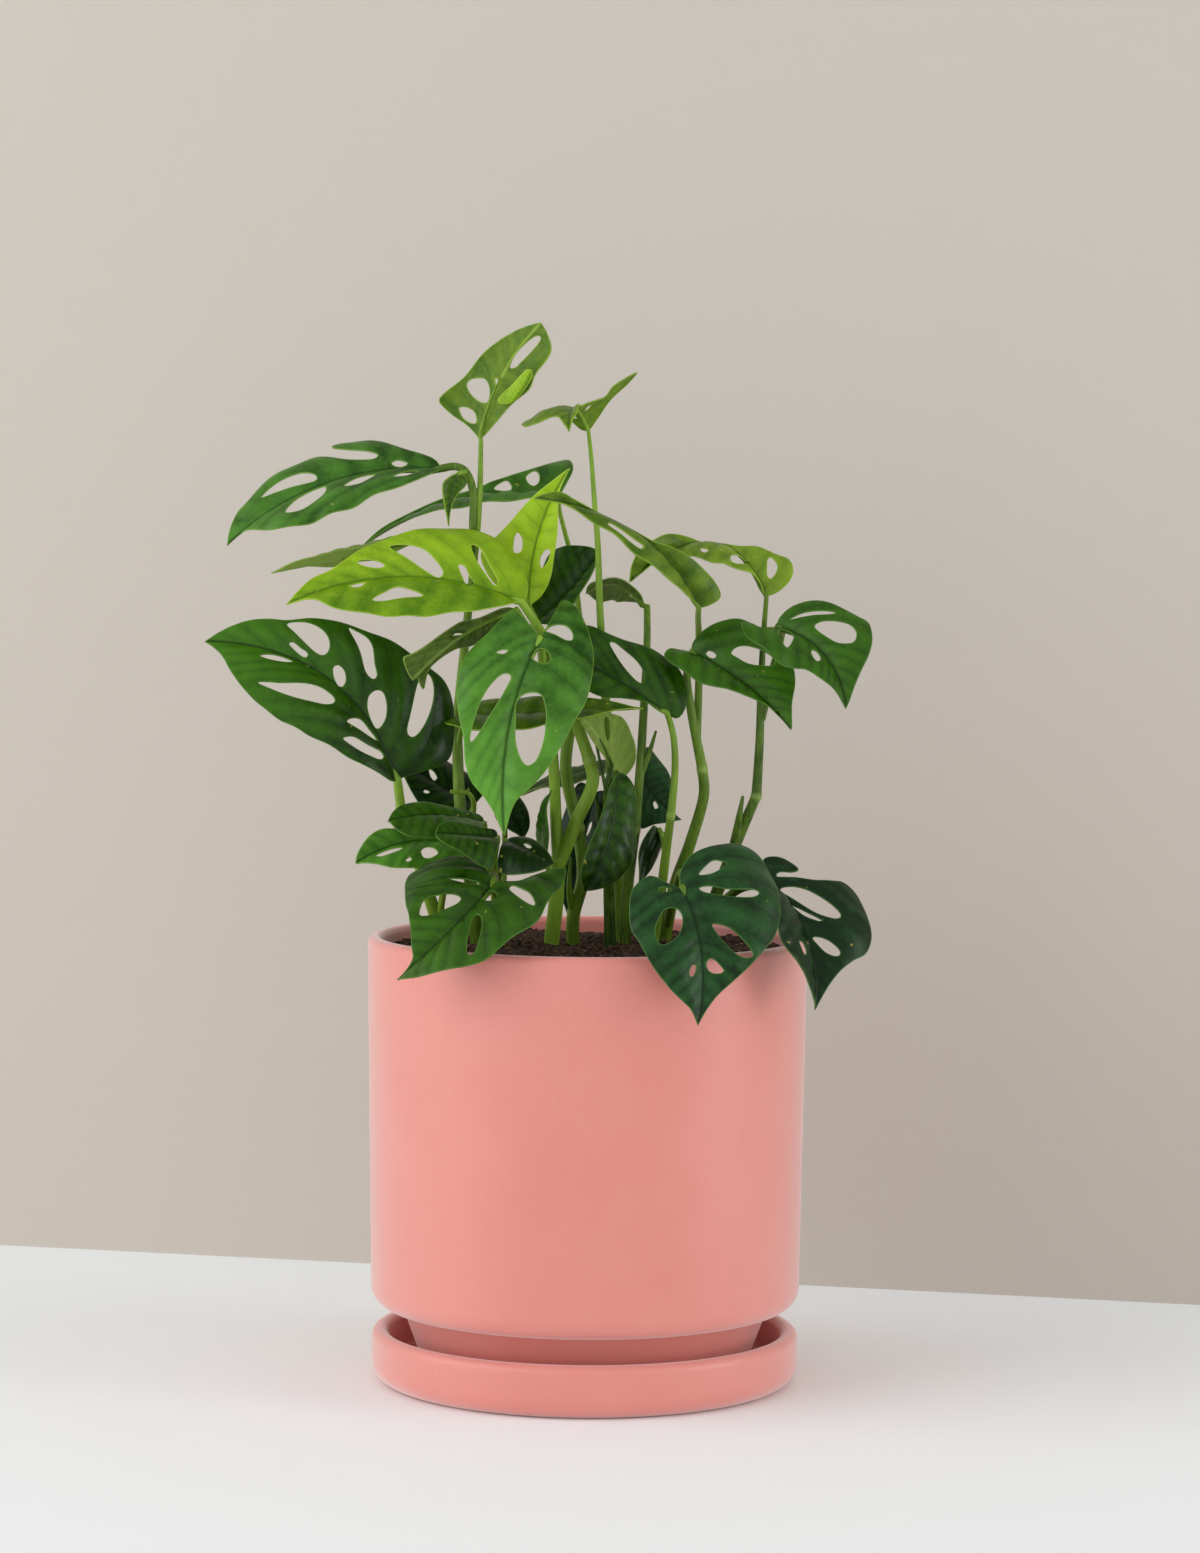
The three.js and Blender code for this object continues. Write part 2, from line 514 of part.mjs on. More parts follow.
const LEAVES = {
  leaf_crown: {
    green: "fresh",
    rib: [[-43.3, 383, 2], [-34.2, 409.5, -4], [-18.7, 430.5, -8]],
    right: {
      edge: [-58, 404, 8],
      margin: [
        [-48, 388.5], [-55, 393.5], [-60, 399], [-57, 403], [-50, 409], [-41, 419.5], [-30, 427],
        [-23, 429.7],
      ],
      holes: [
        [[-52, 396.1], [-49, 396.5], [-45.7, 394.4], [-45, 390.7], [-47, 390.1], [-50.4, 392.1]],
        [
          [-49, 405.5], [-47, 407.9], [-41.6, 407.8], [-39.6, 403.5], [-40.3, 398.8], [-43.6, 398.8],
          [-47, 401.5],
        ],
        [[-37.6, 407.9], [-36.6, 408.4], [-35.9, 406.2], [-37, 404.9]],
      ],
    },
    left: {
      edge: [-21, 405, -20],
      at: 0.45,
      margin: [
        [-38.5, 389], [-31, 397.5], [-24, 404], [-21.5, 409], [-17.5, 414.5], [-15, 420], [-16.3, 426],
      ],
      holes: [
        [
          [-31.3, 412.6], [-29.4, 416.8], [-26.6, 420.4], [-22.3, 424.4], [-20.2, 425.3], [-19, 424.4],
          [-20.2, 422], [-23.8, 417.9], [-27.5, 414.2], [-29, 412.7],
        ],
      ],
    },
  },
  leaf_crown_edge: {
    green: "fresh",
    rib: [[0.2, 387.4, 11], [-5.6, 396.6, -8], [-7.8, 387, -28]],
    right: {
      edge: [-26, 391.5, -8],
      margin: [
        [-2, 387.3, 0.05], [-4, 388.6, 0.1], [-6.2, 390.6, 0.16], [-9.5, 394, 0.28], [-13.9, 396.2, 0.4],
        [-18.9, 395, 0.45], [-23.2, 394.4, 0.48], [-27.2, 391.8, 0.52], [-25.5, 389.2, 0.56],
        [-20.5, 390.3, 0.6], [-14.7, 392.7, 0.68], [-12, 392.6, 0.78], [-9.6, 389.6, 0.9],
      ],
      holes: [
        [[-6.4, 393.1, 0.3], [-4.7, 392.8, 0.28], [-4.5, 392, 0.25], [-6.2, 392.2, 0.27]],
      ],
    },
    left: {
      edge: [20.5, 412, -6],
      arch: 0,
      margin: [
        [0.2, 387.4, 0.05], [3, 390.6, 0.1], [6.6, 396, 0.18], [9.6, 399.8, 0.24], [12.6, 402.6, 0.27],
        [17, 406.8, 0.3], [19.6, 411, 0.36], [15, 408.6, 0.4], [10.2, 405.2, 0.4], [7.4, 401, 0.3],
        [4.4, 399.8, 0.32], [-0.4, 398.2, 0.38], [-3.2, 397.4, 0.5], [-4, 395.6, 0.75], [-6.3, 391.6, 0.88],
      ],
      holes: [
        [[-1.4, 395.4, 0.3], [0.4, 397.4, 0.32], [1.2, 397, 0.32], [-0.5, 395.3, 0.3]],
      ],
    },
  },
  leaf_upper_left: {
    green: "mid",
    rib: [[-59, 371.9, -5], [-103, 367, -8], [-146.5, 341, -14]],
    right: {
      edge: [-92, 384, 14],
      margin: [
        [-60, 373.2], [-63, 376], [-75, 380], [-90, 383], [-99, 382.3], [-103.5, 380], [-97, 379.6],
        [-88, 378.5], [-85, 377], [-88, 375.4], [-98, 375.5], [-110.5, 376], [-120.5, 372.4],
        [-127.8, 368.2], [-133.4, 363.6], [-138, 358.4], [-142.8, 352.4],
      ],
      holes: [
        [[-79.5, 374], [-77, 375.2], [-73, 374], [-75, 372.8], [-78, 372.9]],
        [
          [-132.4, 360.2], [-126, 365.8], [-117.5, 369.8], [-111.2, 369.6], [-109.8, 367.4], [-113, 366],
          [-120, 364.2], [-127, 361.8],
        ],
      ],
    },
    left: {
      edge: [-100, 354.5, -26],
      margin: [
        [-61.5, 370.6], [-70, 366.8], [-85, 361.5], [-95, 356.5], [-107, 352], [-118, 348.5], [-130, 347],
        [-141, 346.2],
      ],
      holes: [
        [[-79, 368.6], [-74, 370.5], [-69, 370.6], [-73, 369]],
        [[-98.7, 365.2], [-93, 368.2], [-86, 369.3], [-91, 366.2], [-97, 364.8]],
        [[-122.5, 354], [-118, 359.5], [-107.8, 364.3], [-106, 363], [-108.5, 359.8], [-116, 355.3]],
      ],
    },
  },
  leaf_small_hanging: {
    green: "fresh",
    rib: [[-52, 370, -10], [-56, 360, -15], [-56, 348.6, -17]],
    right: {
      edge: [-60, 364, -20],
      margin: [[-53.6, 369.8], [-56.4, 368.4], [-58.6, 366], [-58.7, 361.4], [-57.6, 354.6]],
    },
    left: {
      edge: [-50, 364.5, -10.5],
      margin: [[-49.8, 369], [-48.8, 367], [-50, 364.4], [-53.2, 360.8], [-55, 356.5]],
    },
  },
  leaf_back_left: {
    green: "mid",
    rib: [[-12, 360.5, 16], [-48, 359.5, 18], [-93, 339.5, 16]],
    right: {
      edge: [-18, 374, 26],
      at: 0.2,
      margin: [
        [-9.5, 364], [-6, 371], [-7.5, 374.8], [-13, 374], [-20, 372.6], [-27, 370.4], [-34, 368],
        [-39, 366.5], [-46, 363.5], [-58, 360], [-72, 354], [-84, 347.5],
      ],
      holes: [
        [[-38, 363.8], [-34, 366.6], [-32, 366.3], [-31, 363.5], [-34.5, 362.9]],
        [[-25, 368.5], [-21.8, 371], [-19.9, 369.5], [-19.8, 366.5], [-21.7, 364.8], [-24, 365.8]],
      ],
    },
    left: { edge: [-45, 357.5, 4], at: 0.4, lobe: 0.04, full: 0 },
  },
  leaf_far_left: {
    green: "pale",
    rib: [[-72, 342.5, 10], [-101, 335.6, 8], [-128.5, 330, 4]],
    right: { edge: [-102, 331.5, 24], lobe: 0.04 },
    left: { edge: [-102, 338, -4], lobe: 0.04 },
  },
  leaf_bright_left: {
    green: "bright",
    rib: [[-27, 318, -22], [-76, 328, -32], [-122.5, 317, -42]],
    right: {
      edge: [-66, 348, -18],
      at: 0.42,
      margin: [
        [-24.5, 322], [-26, 330], [-31, 338.5], [-38, 344], [-48, 346.7], [-58, 347.8], [-67, 347.2],
        [-76, 345.3], [-85, 342], [-93, 338.5], [-99, 334.5], [-105, 330.5], [-112, 327.3],
        [-117.5, 322.5],
      ],
      holes: [
        [
          [-80.3, 340], [-75, 341], [-67, 339.3], [-62, 335], [-58.8, 330], [-60.5, 328], [-65, 330],
          [-71, 334],
        ],
        [[-93.5, 334], [-90, 335], [-84, 333.8], [-82.5, 332.2], [-86, 331.6], [-91, 332.5]],
        [
          [-52.6, 332.7], [-50.1, 332.3], [-48, 328.2], [-45.8, 325.2], [-47, 323.8], [-49.4, 325.6],
          [-51.3, 329],
        ],
        [
          [-47.5, 340.5], [-44, 339.5], [-39.5, 332], [-36.5, 326], [-38, 324.6], [-41.5, 329],
          [-45.5, 335],
        ],
      ],
    },
    left: {
      edge: [-78, 312, -46],
      at: 0.5,
      margin: [
        [-35, 316], [-45, 314.5], [-55, 313.3], [-66, 312.2], [-76, 311.7], [-86, 312.8], [-95, 313.6],
        [-104, 315.9], [-112, 319],
      ],
      holes: [
        [[-96.8, 324], [-93.5, 325.4], [-90, 325.5], [-93, 323.7]],
        [[-87.3, 319], [-82, 322], [-77.5, 323.8], [-72, 322.8], [-67, 320.4], [-75, 319.2], [-84, 318.3]],
      ],
    },
  },
  leaf_bright_upright: {
    green: "bright",
    rib: [[-24, 316, 4], [-21.5, 340, 2], [-7.5, 372, -8]],
    right: {
      edge: [-12.8, 345, -4],
      at: 0.5,
      margin: [[-19, 320], [-15.5, 327], [-13.5, 336], [-12.6, 345], [-12, 353], [-12, 360], [-11, 365]],
      holes: [[[-18.8, 331.5], [-16, 334.5], [-15, 338.5], [-17, 339], [-19.4, 335.5]]],
    },
    left: {
      edge: [-38, 345, 6],
      at: 0.5,
      margin: [
        [-29, 318], [-36, 323.5], [-41, 330], [-43.5, 337], [-40.5, 342], [-37, 344.5], [-32, 349.5],
        [-27, 355.5], [-21.5, 361.3], [-14, 367.2],
      ],
      holes: [[[-30, 338], [-29.8, 343.5], [-28.3, 346], [-26.5, 343], [-27, 338.5]]],
    },
  },
  leaf_behind_middle: {
    green: "dark",
    rib: [[-22.5, 308.5, 14], [-8, 322, 16], [4.2, 337.5, 16]],
    right: { edge: [-3, 319.5, 6], margin: [[-15, 308.5], [-8.5, 313], [-4.6, 318.6], [0.2, 326.7], [3.2, 333.5]] },
    left: {
      edge: [-12, 338, 24],
      margin: [[-24.5, 315], [-23, 323], [-20.1, 328.1], [-16, 336.2], [-10, 340.2], [-2.5, 340.6], [2.4, 339.6]],
    },
  },
  leaf_under_grey: {
    green: "pale",
    rib: [[24, 316, 30], [10, 325.3, 31], [-1, 321.5, 34]],
    right: {
      edge: [8, 317.5, 44],
      margin: [[21, 317.3], [15, 318.2], [8, 318.3], [3, 318.8]],
      holes: [[[17, 320.6], [18.5, 321.4], [20.3, 320], [19, 319.3]]],
    },
    left: {
      edge: [10, 329.2, 22],
      margin: [
        [25.4, 316.6, -0.1], [27.2, 320, -0.08], [24.2, 324.7, 0.1], [19.5, 327.8], [12, 329.1], [5, 328.2],
        [1.5, 325.5],
      ],
    },
  },
  leaf_centre_right: {
    green: "fresh",
    rib: [[45, 315.5, -18], [29.5, 337.6, -24], [-22, 360, -32]],
    right: {
      edge: [50, 326, -18],
      at: 0.16,
      margin: [
        [48.5, 316.2], [53.6, 319.8], [52, 325], [47.5, 330.5], [41, 336.3], [33, 340.6], [26, 342.8],
        [15, 346.6], [4, 351.8], [-4, 358.7], [-11, 362.4], [-17, 361.9],
      ],
    },
    left: {
      edge: [30, 329, -34],
      at: 0.2,
      margin: [
        [41, 319.5], [36, 324.5], [30, 329.5], [23, 334.3], [17.5, 339], [10, 345.3], [2, 350.2],
        [-6, 355.5], [-13, 358.5],
      ],
      holes: [
        [
          [21.6, 339.3], [16, 343.2], [9.6, 347.6], [8, 349.2], [9.4, 349.6], [13, 347.4], [18.2, 343.8],
          [22.6, 340.6],
        ],
      ],
    },
  },
  leaf_pale_right: {
    green: "fresh",
    rib: [[72.4, 320, 4], [57.5, 340, 2], [17, 326, -10]],
    right: {
      edge: [85, 332, 6],
      at: 0.06,
      turn: 150,
      margin: [
        [76.5, 321.5], [81, 325.2], [83.2, 330], [81.5, 335], [76, 337.3], [69, 340.2], [61, 340.6],
        [53, 341.6], [46, 342.2], [37, 345], [29, 344.3], [21, 339], [17.5, 332],
      ],
      holes: [
        [
          [72.6, 331], [72.9, 334.8], [74.6, 335.8], [76.8, 332.5], [76, 329.2], [74, 327.2],
          [72.8, 328.6],
        ],
      ],
    },
    left: {
      edge: [54, 332.6, -12],
      at: 0.35,
      margin: [
        [71.5, 323], [67.5, 328.5], [61, 331.3], [52, 333.6], [43, 336.2], [34, 336], [26, 333],
        [20, 329.5],
      ],
      holes: [
        [[57.5, 335.3], [59, 336.9], [64, 336.8], [67, 334.7], [66, 333.4], [62, 333.3], [59, 333.8]],
        [[45.4, 339], [47, 339.8], [49, 339], [47.2, 337.9]],
      ],
    },
  },
  leaf_right_middle: {
    green: "dark",
    rib: [[42, 297.6, -2], [57, 289.5, -8], [83, 266, -16]],
    right: {
      edge: [58, 281.5, -18],
      margin: [
        [37.5, 298.3], [33.5, 299], [31, 296.5], [33, 293.5], [36.5, 290.8], [41, 288], [46, 285.2],
        [52, 283.2], [60, 281.3], [70, 277.3], [77, 273.5],
      ],
    },
    left: {
      edge: [70, 309, 2],
      margin: [
        [42.5, 301], [45, 304.5], [50, 308.3], [56, 310.3], [62, 310.5], [70, 307], [78, 300],
        [83, 292.5], [84.2, 285], [82.9, 276],
      ],
      holes: [
        [[47.8, 296.9], [48.9, 298], [51, 297.4], [52.2, 296], [51.6, 295.1], [49.6, 295.3]],
        [
          [58.2, 297], [60.5, 299.5], [65, 300], [71, 298], [76, 294], [75, 292], [70, 292], [65, 292.9],
          [61, 295],
        ],
      ],
    },
  },
  leaf_right_front: {
    green: "dark",
    rib: [[77, 308, -18], [95.5, 297, -28], [105, 274.5, -36]],
    right: {
      edge: [82, 291.5, -34],
      margin: [
        [74, 307.5], [70, 307.5], [66, 309.2], [62.3, 309.3], [63, 306], [66, 302.5], [71, 299],
        [75.5, 295], [80, 291.6], [84, 290.5], [88.5, 290.3], [95, 286.5], [100, 282.3], [103, 277.8],
      ],
      holes: [
        [
          [77.3, 304.5], [78.4, 306.6], [81, 306.3], [83.4, 304], [82.5, 301], [81, 299.4], [79.5, 300.6],
        ],
        [
          [90.6, 297.7], [91.6, 298.3], [92.8, 297.8], [94.5, 295.2], [94, 293.9], [92.6, 293.8],
          [91, 296],
        ],
      ],
    },
    left: {
      edge: [112, 310, -20],
      margin: [
        [77, 310], [79, 312.8], [83, 316], [90, 318], [97, 317.5], [104, 315], [110, 312], [113.8, 309.5],
        [115.3, 303.5], [114.3, 297], [110.8, 289.5], [108, 282.5],
      ],
      holes: [
        [
          [92, 308], [94.5, 309.8], [100, 310.2], [106, 309], [108.8, 305.8], [108.3, 302],
          [105.5, 300.9], [101, 301.4], [97, 303.6], [93.5, 306],
        ],
        [[82, 310.6], [86.5, 313], [93, 314], [100.5, 313.6], [97, 312.7], [88, 311.8]],
      ],
    },
  },
  leaf_dark_centre: {
    green: "dark",
    rib: [[32, 273, -8], [12, 286, -8], [-12, 297.5, 6]],
    right: {
      edge: [22, 301, 0],
      margin: [
        [35.3, 270.2], [38.4, 272.4], [40.6, 279.5], [39, 286], [35, 292.5], [28, 297.6], [18, 301.3],
        [8, 305], [-1.5, 308.3], [-5.5, 302.5],
      ],
      holes: [
        [
          [8.8, 301], [10.8, 301.5], [15, 298], [20, 293.5], [22.8, 289], [22.8, 285.8], [21.5, 284.9],
          [18.5, 287], [13.5, 293],
        ],
      ],
    },
    left: {
      edge: [8, 279, -14],
      margin: [
        [31, 273.5], [24, 277], [15, 278.7], [5, 279.4], [-4, 284], [-10, 291],
      ],
    },
  },
  leaf_front_main: {
    green: "mid",
    rib: [[-19.5, 303, -34], [-32.5, 265, -52], [-34, 222.5, -58]],
    right: {
      edge: [-53, 280, -48],
      at: 0.3,
      margin: [
        [-23.2, 307.8], [-27.5, 312.8], [-30.3, 315], [-34.5, 311.2], [-40, 305.6], [-46, 300.5],
        [-50, 295], [-52.7, 287], [-53.3, 280], [-52.3, 271], [-50.5, 262], [-50, 253], [-47.5, 245],
        [-42, 238], [-38, 231.5],
      ],
      holes: [
        [[-37.2, 297.4], [-34.8, 298.5], [-32.4, 298.2], [-34.5, 296.7]],
        [
          [-31.3, 287], [-33.7, 288.8], [-37.5, 286.3], [-42, 280.5], [-45.2, 273], [-47.6, 264.5],
          [-47.5, 261], [-44.8, 264], [-40.5, 271], [-35.5, 279],
        ],
      ],
    },
    left: {
      edge: [1, 284, -42],
      at: 0.26,
      margin: [
        [-18, 309], [-15, 315], [-10, 318.3], [-5, 316], [-1.8, 310.5], [1, 303], [2.4, 295.5],
        [1.6, 287.5], [0, 280], [-2.2, 274.5], [-6, 268.5], [-10, 260.5], [-14, 254], [-18.5, 247.5],
        [-24, 241.8], [-30, 235.5],
      ],
      holes: [
        [
          [-17, 306.2], [-14, 308.3], [-9.5, 308.3], [-6.5, 305.5], [-6.4, 302.5], [-9, 302.4],
          [-13, 304.4],
        ],
        [[-23.2, 295.5], [-20.5, 298.6], [-17, 298.2], [-15, 295], [-16.2, 293], [-19, 292.8]],
        [
          [-29, 277], [-26, 280.3], [-21, 281], [-18.2, 278.5], [-17, 271], [-18, 262], [-20.5, 254.5],
          [-24, 251.4], [-27, 253.7], [-29.3, 261], [-29.3, 270],
        ],
      ],
    },
  },
  leaf_left_folded: {
    green: "pale",
    rib: [[-29, 315, -6], [-54, 302.2, -24], [-71.6, 286, -34]],
    right: {
      edge: [-50, 297, -20],
      at: 0.45,
      margin: [
        [-32.5, 310.6], [-35.5, 307.2], [-41, 302.9], [-48, 299.6], [-53.8, 298.6], [-60.6, 294.4],
        [-64.4, 290.6], [-66.9, 282.4], [-69.3, 287.2],
      ],
    },
    left: {
      edge: [-60.5, 313.5, -36],
      at: 0.45,
      margin: [
        [-34, 315.6], [-43.7, 311.6], [-51, 310], [-55.2, 307.6], [-65.5, 300.4], [-70.7, 297],
        [-74.6, 295.4], [-74.4, 292.4], [-72.8, 288.4],
      ],
      holes: [
        [[-50.4, 304.1], [-51.6, 305.1], [-54, 305], [-54.8, 304.2]],
      ],
    },
  },
  leaf_left_large: {
    green: "dark",
    rib: [[-77.5, 245.5, -12], [-105, 286.5, -20], [-155.5, 302, -24]],
    right: {
      edge: [-78, 303, -8],
      at: 0.42,
      margin: [
        [-73, 247.3], [-66, 249.5], [-60, 251.3], [-56.3, 255], [-54.8, 262], [-54, 270], [-55.3, 278.5],
        [-59, 286], [-65, 291.5], [-72, 297], [-80, 302], [-89, 305.5], [-98, 309], [-105, 310.5],
        [-113, 311.2], [-122, 310.5], [-131, 311], [-139, 310], [-147, 307],
      ],
      holes: [
        [
          [-73.5, 266], [-71.5, 263], [-68, 265.5], [-64, 273.5], [-62.8, 281.5], [-64, 287.5],
          [-66.5, 288.7], [-69.3, 284.5], [-71.3, 276.5],
        ],
        [
          [-85.5, 266.3], [-82.5, 270], [-81.8, 276], [-83.2, 281], [-86, 282], [-89, 279.6],
          [-89.5, 275], [-88, 270],
        ],
        [
          [-97, 307], [-94, 306], [-90, 303.5], [-87.7, 300], [-86.7, 293], [-85.7, 288], [-87.5, 286.6],
          [-90.5, 290], [-93, 299],
        ],
        [
          [-103.5, 291], [-101.5, 292.2], [-99, 290], [-98.4, 286], [-99.7, 283.4], [-101.2, 283.6],
          [-103, 287],
        ],
        [
          [-122, 308.9], [-115, 309.5], [-109, 307.3], [-105.5, 303.5], [-105, 299], [-107, 296.4],
          [-110, 297], [-114, 300.5], [-119, 305.5],
        ],
        [
          [-121.3, 300.8], [-119.5, 301.4], [-116.5, 299], [-114, 297.3], [-114, 295.7], [-115.7, 295.6],
          [-118.7, 298],
        ],
      ],
    },
    left: {
      edge: [-121, 266, -34],
      at: 0.42,
      margin: [
        [-80, 245], [-86, 248.8], [-92, 252], [-98, 255], [-106, 260], [-115, 264.5], [-125, 270],
        [-133, 275.5], [-140, 283], [-145, 289.5], [-149, 296.5],
      ],
      holes: [
        [
          [-134, 285.2], [-125, 284.9], [-115, 284.9], [-109, 283.4], [-104, 280], [-102.8, 277.7],
          [-104.5, 276.4], [-109, 276.6], [-117, 278.6], [-127, 281.7],
        ],
        [[-133.3, 296], [-129, 296.6], [-124, 295.6], [-119.8, 293.7], [-123, 293.4], [-129, 294.4]],
        [
          [-98, 269.2], [-95.3, 270.6], [-92, 269.8], [-88.5, 265.5], [-85.3, 261.5], [-88, 262.6],
          [-93, 266],
        ],
        [
          [-99.6, 262], [-97.5, 263.1], [-94.5, 262.7], [-89.5, 259.8], [-84.3, 257], [-83, 255],
          [-84.3, 253.9], [-87, 254.6], [-93, 257.6],
        ],
      ],
    },
  },
  leaf_low_left: {
    green: "mid",
    rib: [[-50, 219, -4], [-72, 220.3, -10], [-94.5, 211.5, -20]],
    right: {
      edge: [-76, 226.5, -10],
      margin: [
        [-52, 222], [-60, 223.5], [-70, 224.5], [-78, 225.6], [-84, 225.4], [-88.5, 223], [-92, 219],
        [-94.2, 214.5],
      ],
    },
    left: {
      edge: [-70, 209.3, -22],
      margin: [[-50, 215], [-57, 212], [-65, 210], [-72, 209.2], [-80, 210], [-88, 211.5]],
      holes: [
        [[-86.5, 214.7], [-82, 216.8], [-77, 217.9], [-75.5, 217.5], [-78, 216.2], [-84, 214.2]],
        [[-74.4, 212.3], [-72.5, 214], [-71.7, 213], [-73, 211.8]],
        [
          [-68, 216.3], [-66.3, 218], [-63.5, 218], [-61.4, 216.5], [-61.3, 215.2], [-64, 213.8],
          [-67, 214],
        ],
      ],
    },
  },
  leaf_low_left_top: {
    green: "dark",
    rib: [[-42, 228, -14], [-62, 231.5, -26], [-81.5, 229, -38]],
    right: {
      edge: [-64, 238, -12],
      margin: [
        [-44, 231], [-52, 233.6], [-60, 235.3], [-68, 236.4], [-75, 235.4], [-79.3, 232.5],
      ],
    },
    left: {
      edge: [-62, 222, -42],
      margin: [
        [-44, 225], [-52, 222.4], [-60, 221.6], [-67, 222.4], [-73, 222.8], [-78, 225.3],
      ],
    },
  },
  leaf_low_round: {
    green: "dark",
    rib: [[-36.5, 222, -38], [-49, 223.3, -46], [-62, 224, -54]],
    right: {
      edge: [-50, 229.5, -36],
      margin: [
        [-38, 225], [-43, 226], [-48, 228], [-53, 229], [-58, 228.2], [-61.4, 226.3],
      ],
    },
    left: {
      edge: [-46, 212, -58],
      margin: [
        [-38, 214], [-39.5, 208.8], [-43, 210.2], [-48, 214], [-53, 216.7], [-58, 219.2], [-61.5, 222],
      ],
    },
  },
  leaf_low_centre: {
    green: "dark",
    rib: [[-33.5, 221, -36], [-23, 216.5, -46], [-13.5, 211.5, -52]],
    right: {
      edge: [-29, 207, -56],
      margin: [
        [-36, 216], [-36.5, 208.6], [-30, 206.8], [-23, 207.4], [-17, 209.4],
      ],
    },
    left: {
      edge: [-20, 220, -38],
      margin: [[-30, 222.2], [-24, 221.6], [-19, 218.8], [-15.5, 215]],
      holes: [[[-26.2, 219.6], [-24.3, 219.3], [-22.8, 218], [-24.5, 217.9]]],
    },
  },
  leaf_rim_left: {
    green: "dark",
    rib: [[-38.5, 203.5, -56], [-55, 185, -78], [-78, 164, -88]],
    right: {
      edge: [-73, 198, -60],
      margin: [
        [-40, 206.5], [-43, 210.5], [-49, 213.5], [-56, 214.3], [-62, 213], [-67.5, 210.8], [-72, 206.7],
        [-74.6, 202], [-74.3, 196], [-73, 190], [-72.2, 184], [-72, 178], [-71.5, 173], [-74, 168.5],
      ],
      holes: [
        [
          [-68.6, 190.5], [-67.5, 195.3], [-64, 197.5], [-58, 198.9], [-53.7, 198.6], [-51.8, 197],
          [-53.5, 194.8], [-59, 192.3], [-64.5, 190.3],
        ],
        [[-57, 205.1], [-50, 204.9], [-45, 203.7], [-43.8, 202.9], [-47, 202.7], [-52, 203.8]],
      ],
    },
    left: {
      edge: [-29, 182, -94],
      at: 0.35,
      margin: [
        [-34, 204], [-28, 204.3], [-22, 206.8], [-16, 208.4], [-9, 208.4], [-10.5, 203.5], [-13.5, 199],
        [-17, 194], [-20, 189.3], [-25, 185], [-30, 181.2], [-36, 176.5], [-42, 172.4], [-50, 169.5],
        [-57, 168], [-64, 166.3], [-71, 164.7],
      ],
      holes: [
        [
          [-31, 202.3], [-26.5, 200.6], [-23.3, 198.5], [-21.6, 194.3], [-25, 195.3], [-29, 198],
          [-31.8, 200.5],
        ],
        [
          [-43.5, 197.3], [-42.3, 199.3], [-39.9, 200.2], [-37.8, 199.5], [-37, 197.6], [-39, 196.2],
          [-41.7, 196.2],
        ],
        [
          [-46.8, 189.3], [-45, 190.5], [-43.4, 189], [-43.2, 185], [-44.4, 180], [-46, 175.8],
          [-48, 174], [-49.4, 175.5], [-49.2, 180], [-48, 185.5],
        ],
      ],
    },
  },
  leaf_hanging_dark: {
    green: "dark",
    rib: [[11.5, 248.5, -12], [9.5, 225, -22], [-1.5, 200, -28]],
    right: {
      edge: [2, 222, -30],
      margin: [
        [9, 243], [7, 236], [4.5, 229], [2, 222.5], [-0.5, 216.5], [-2.8, 210], [-2.9, 205],
      ],
    },
    left: {
      edge: [20, 226, -14],
      margin: [
        [15, 247.8], [18.5, 243], [19.8, 235], [19.7, 224], [18.4, 214], [14, 206.5], [8, 202.3],
        [3, 200.6],
      ],
    },
  },
  leaf_rim_right: {
    green: "blue",
    rib: [[38.5, 201, -78], [46, 176, -91], [45, 145, -98]],
    right: {
      edge: [18, 184, -92],
      at: 0.3,
      margin: [
        [33, 203], [29, 205.3], [25, 206.3], [21, 204], [18.4, 201], [17, 196], [16.8, 190], [18, 184],
        [21, 178.5], [24, 173.5], [28, 167], [33, 160.5], [38, 155.5], [42, 151.5],
      ],
      holes: [
        [[28.8, 201.2], [31, 201.6], [34, 200.7], [33, 199.8], [29.5, 200]],
        [
          [30, 191], [32.5, 193], [36, 193], [38.2, 190.5], [38.3, 186], [36.3, 181.5], [32.5, 178.7],
          [29.5, 178.3], [27.6, 181], [27.8, 186],
        ],
        [[41.2, 167], [42.5, 169.8], [43.9, 170], [44, 168], [43, 165.5], [41.8, 165]],
      ],
    },
    left: {
      edge: [78, 190, -72],
      at: 0.3,
      margin: [
        [37.3, 205], [38, 209], [40.3, 212.8], [43.5, 215.7], [48, 217.7], [54, 219], [60, 219.3],
        [65, 217.3], [70, 213.3], [74, 208], [76.3, 203], [77.6, 196.5], [78.4, 190.5], [77.3, 184.5],
        [75, 180], [70, 174], [65, 168.5], [59, 163], [53, 157.5], [48.5, 151.5],
      ],
      holes: [
        [[45.2, 206.8], [48, 210.3], [51, 212.6], [54, 212.4], [56.5, 211.3], [54, 209.2], [50, 207.2]],
        [
          [45.3, 201.3], [49, 202.2], [56, 201], [63, 200.6], [68, 200.4], [69.5, 199], [67, 197.5],
          [60, 197.6], [52, 198.7], [47, 199.8],
        ],
        [
          [50.6, 186], [53, 186.6], [58, 184.8], [63, 180.3], [66.7, 175.5], [67, 173.4], [64, 172.8],
          [60, 174.7], [55, 179.7],
        ],
        [[48.4, 170.5], [49.7, 172.5], [52, 171.6], [55.4, 167.5], [54.3, 166.5], [51, 166.5], [49, 168]],
      ],
    },
  },
  leaf_rim_far_right: {
    green: "blue",
    rib: [[74.5, 204, -40], [89.5, 181, -54], [93, 151.5, -64]],
    right: {
      edge: [79.5, 180, -72],
      at: 0.42,
      margin: [[74.5, 197], [76, 189], [79, 181.2], [82, 175.7], [85.3, 170.7], [88.5, 165.5], [91, 159.5]],
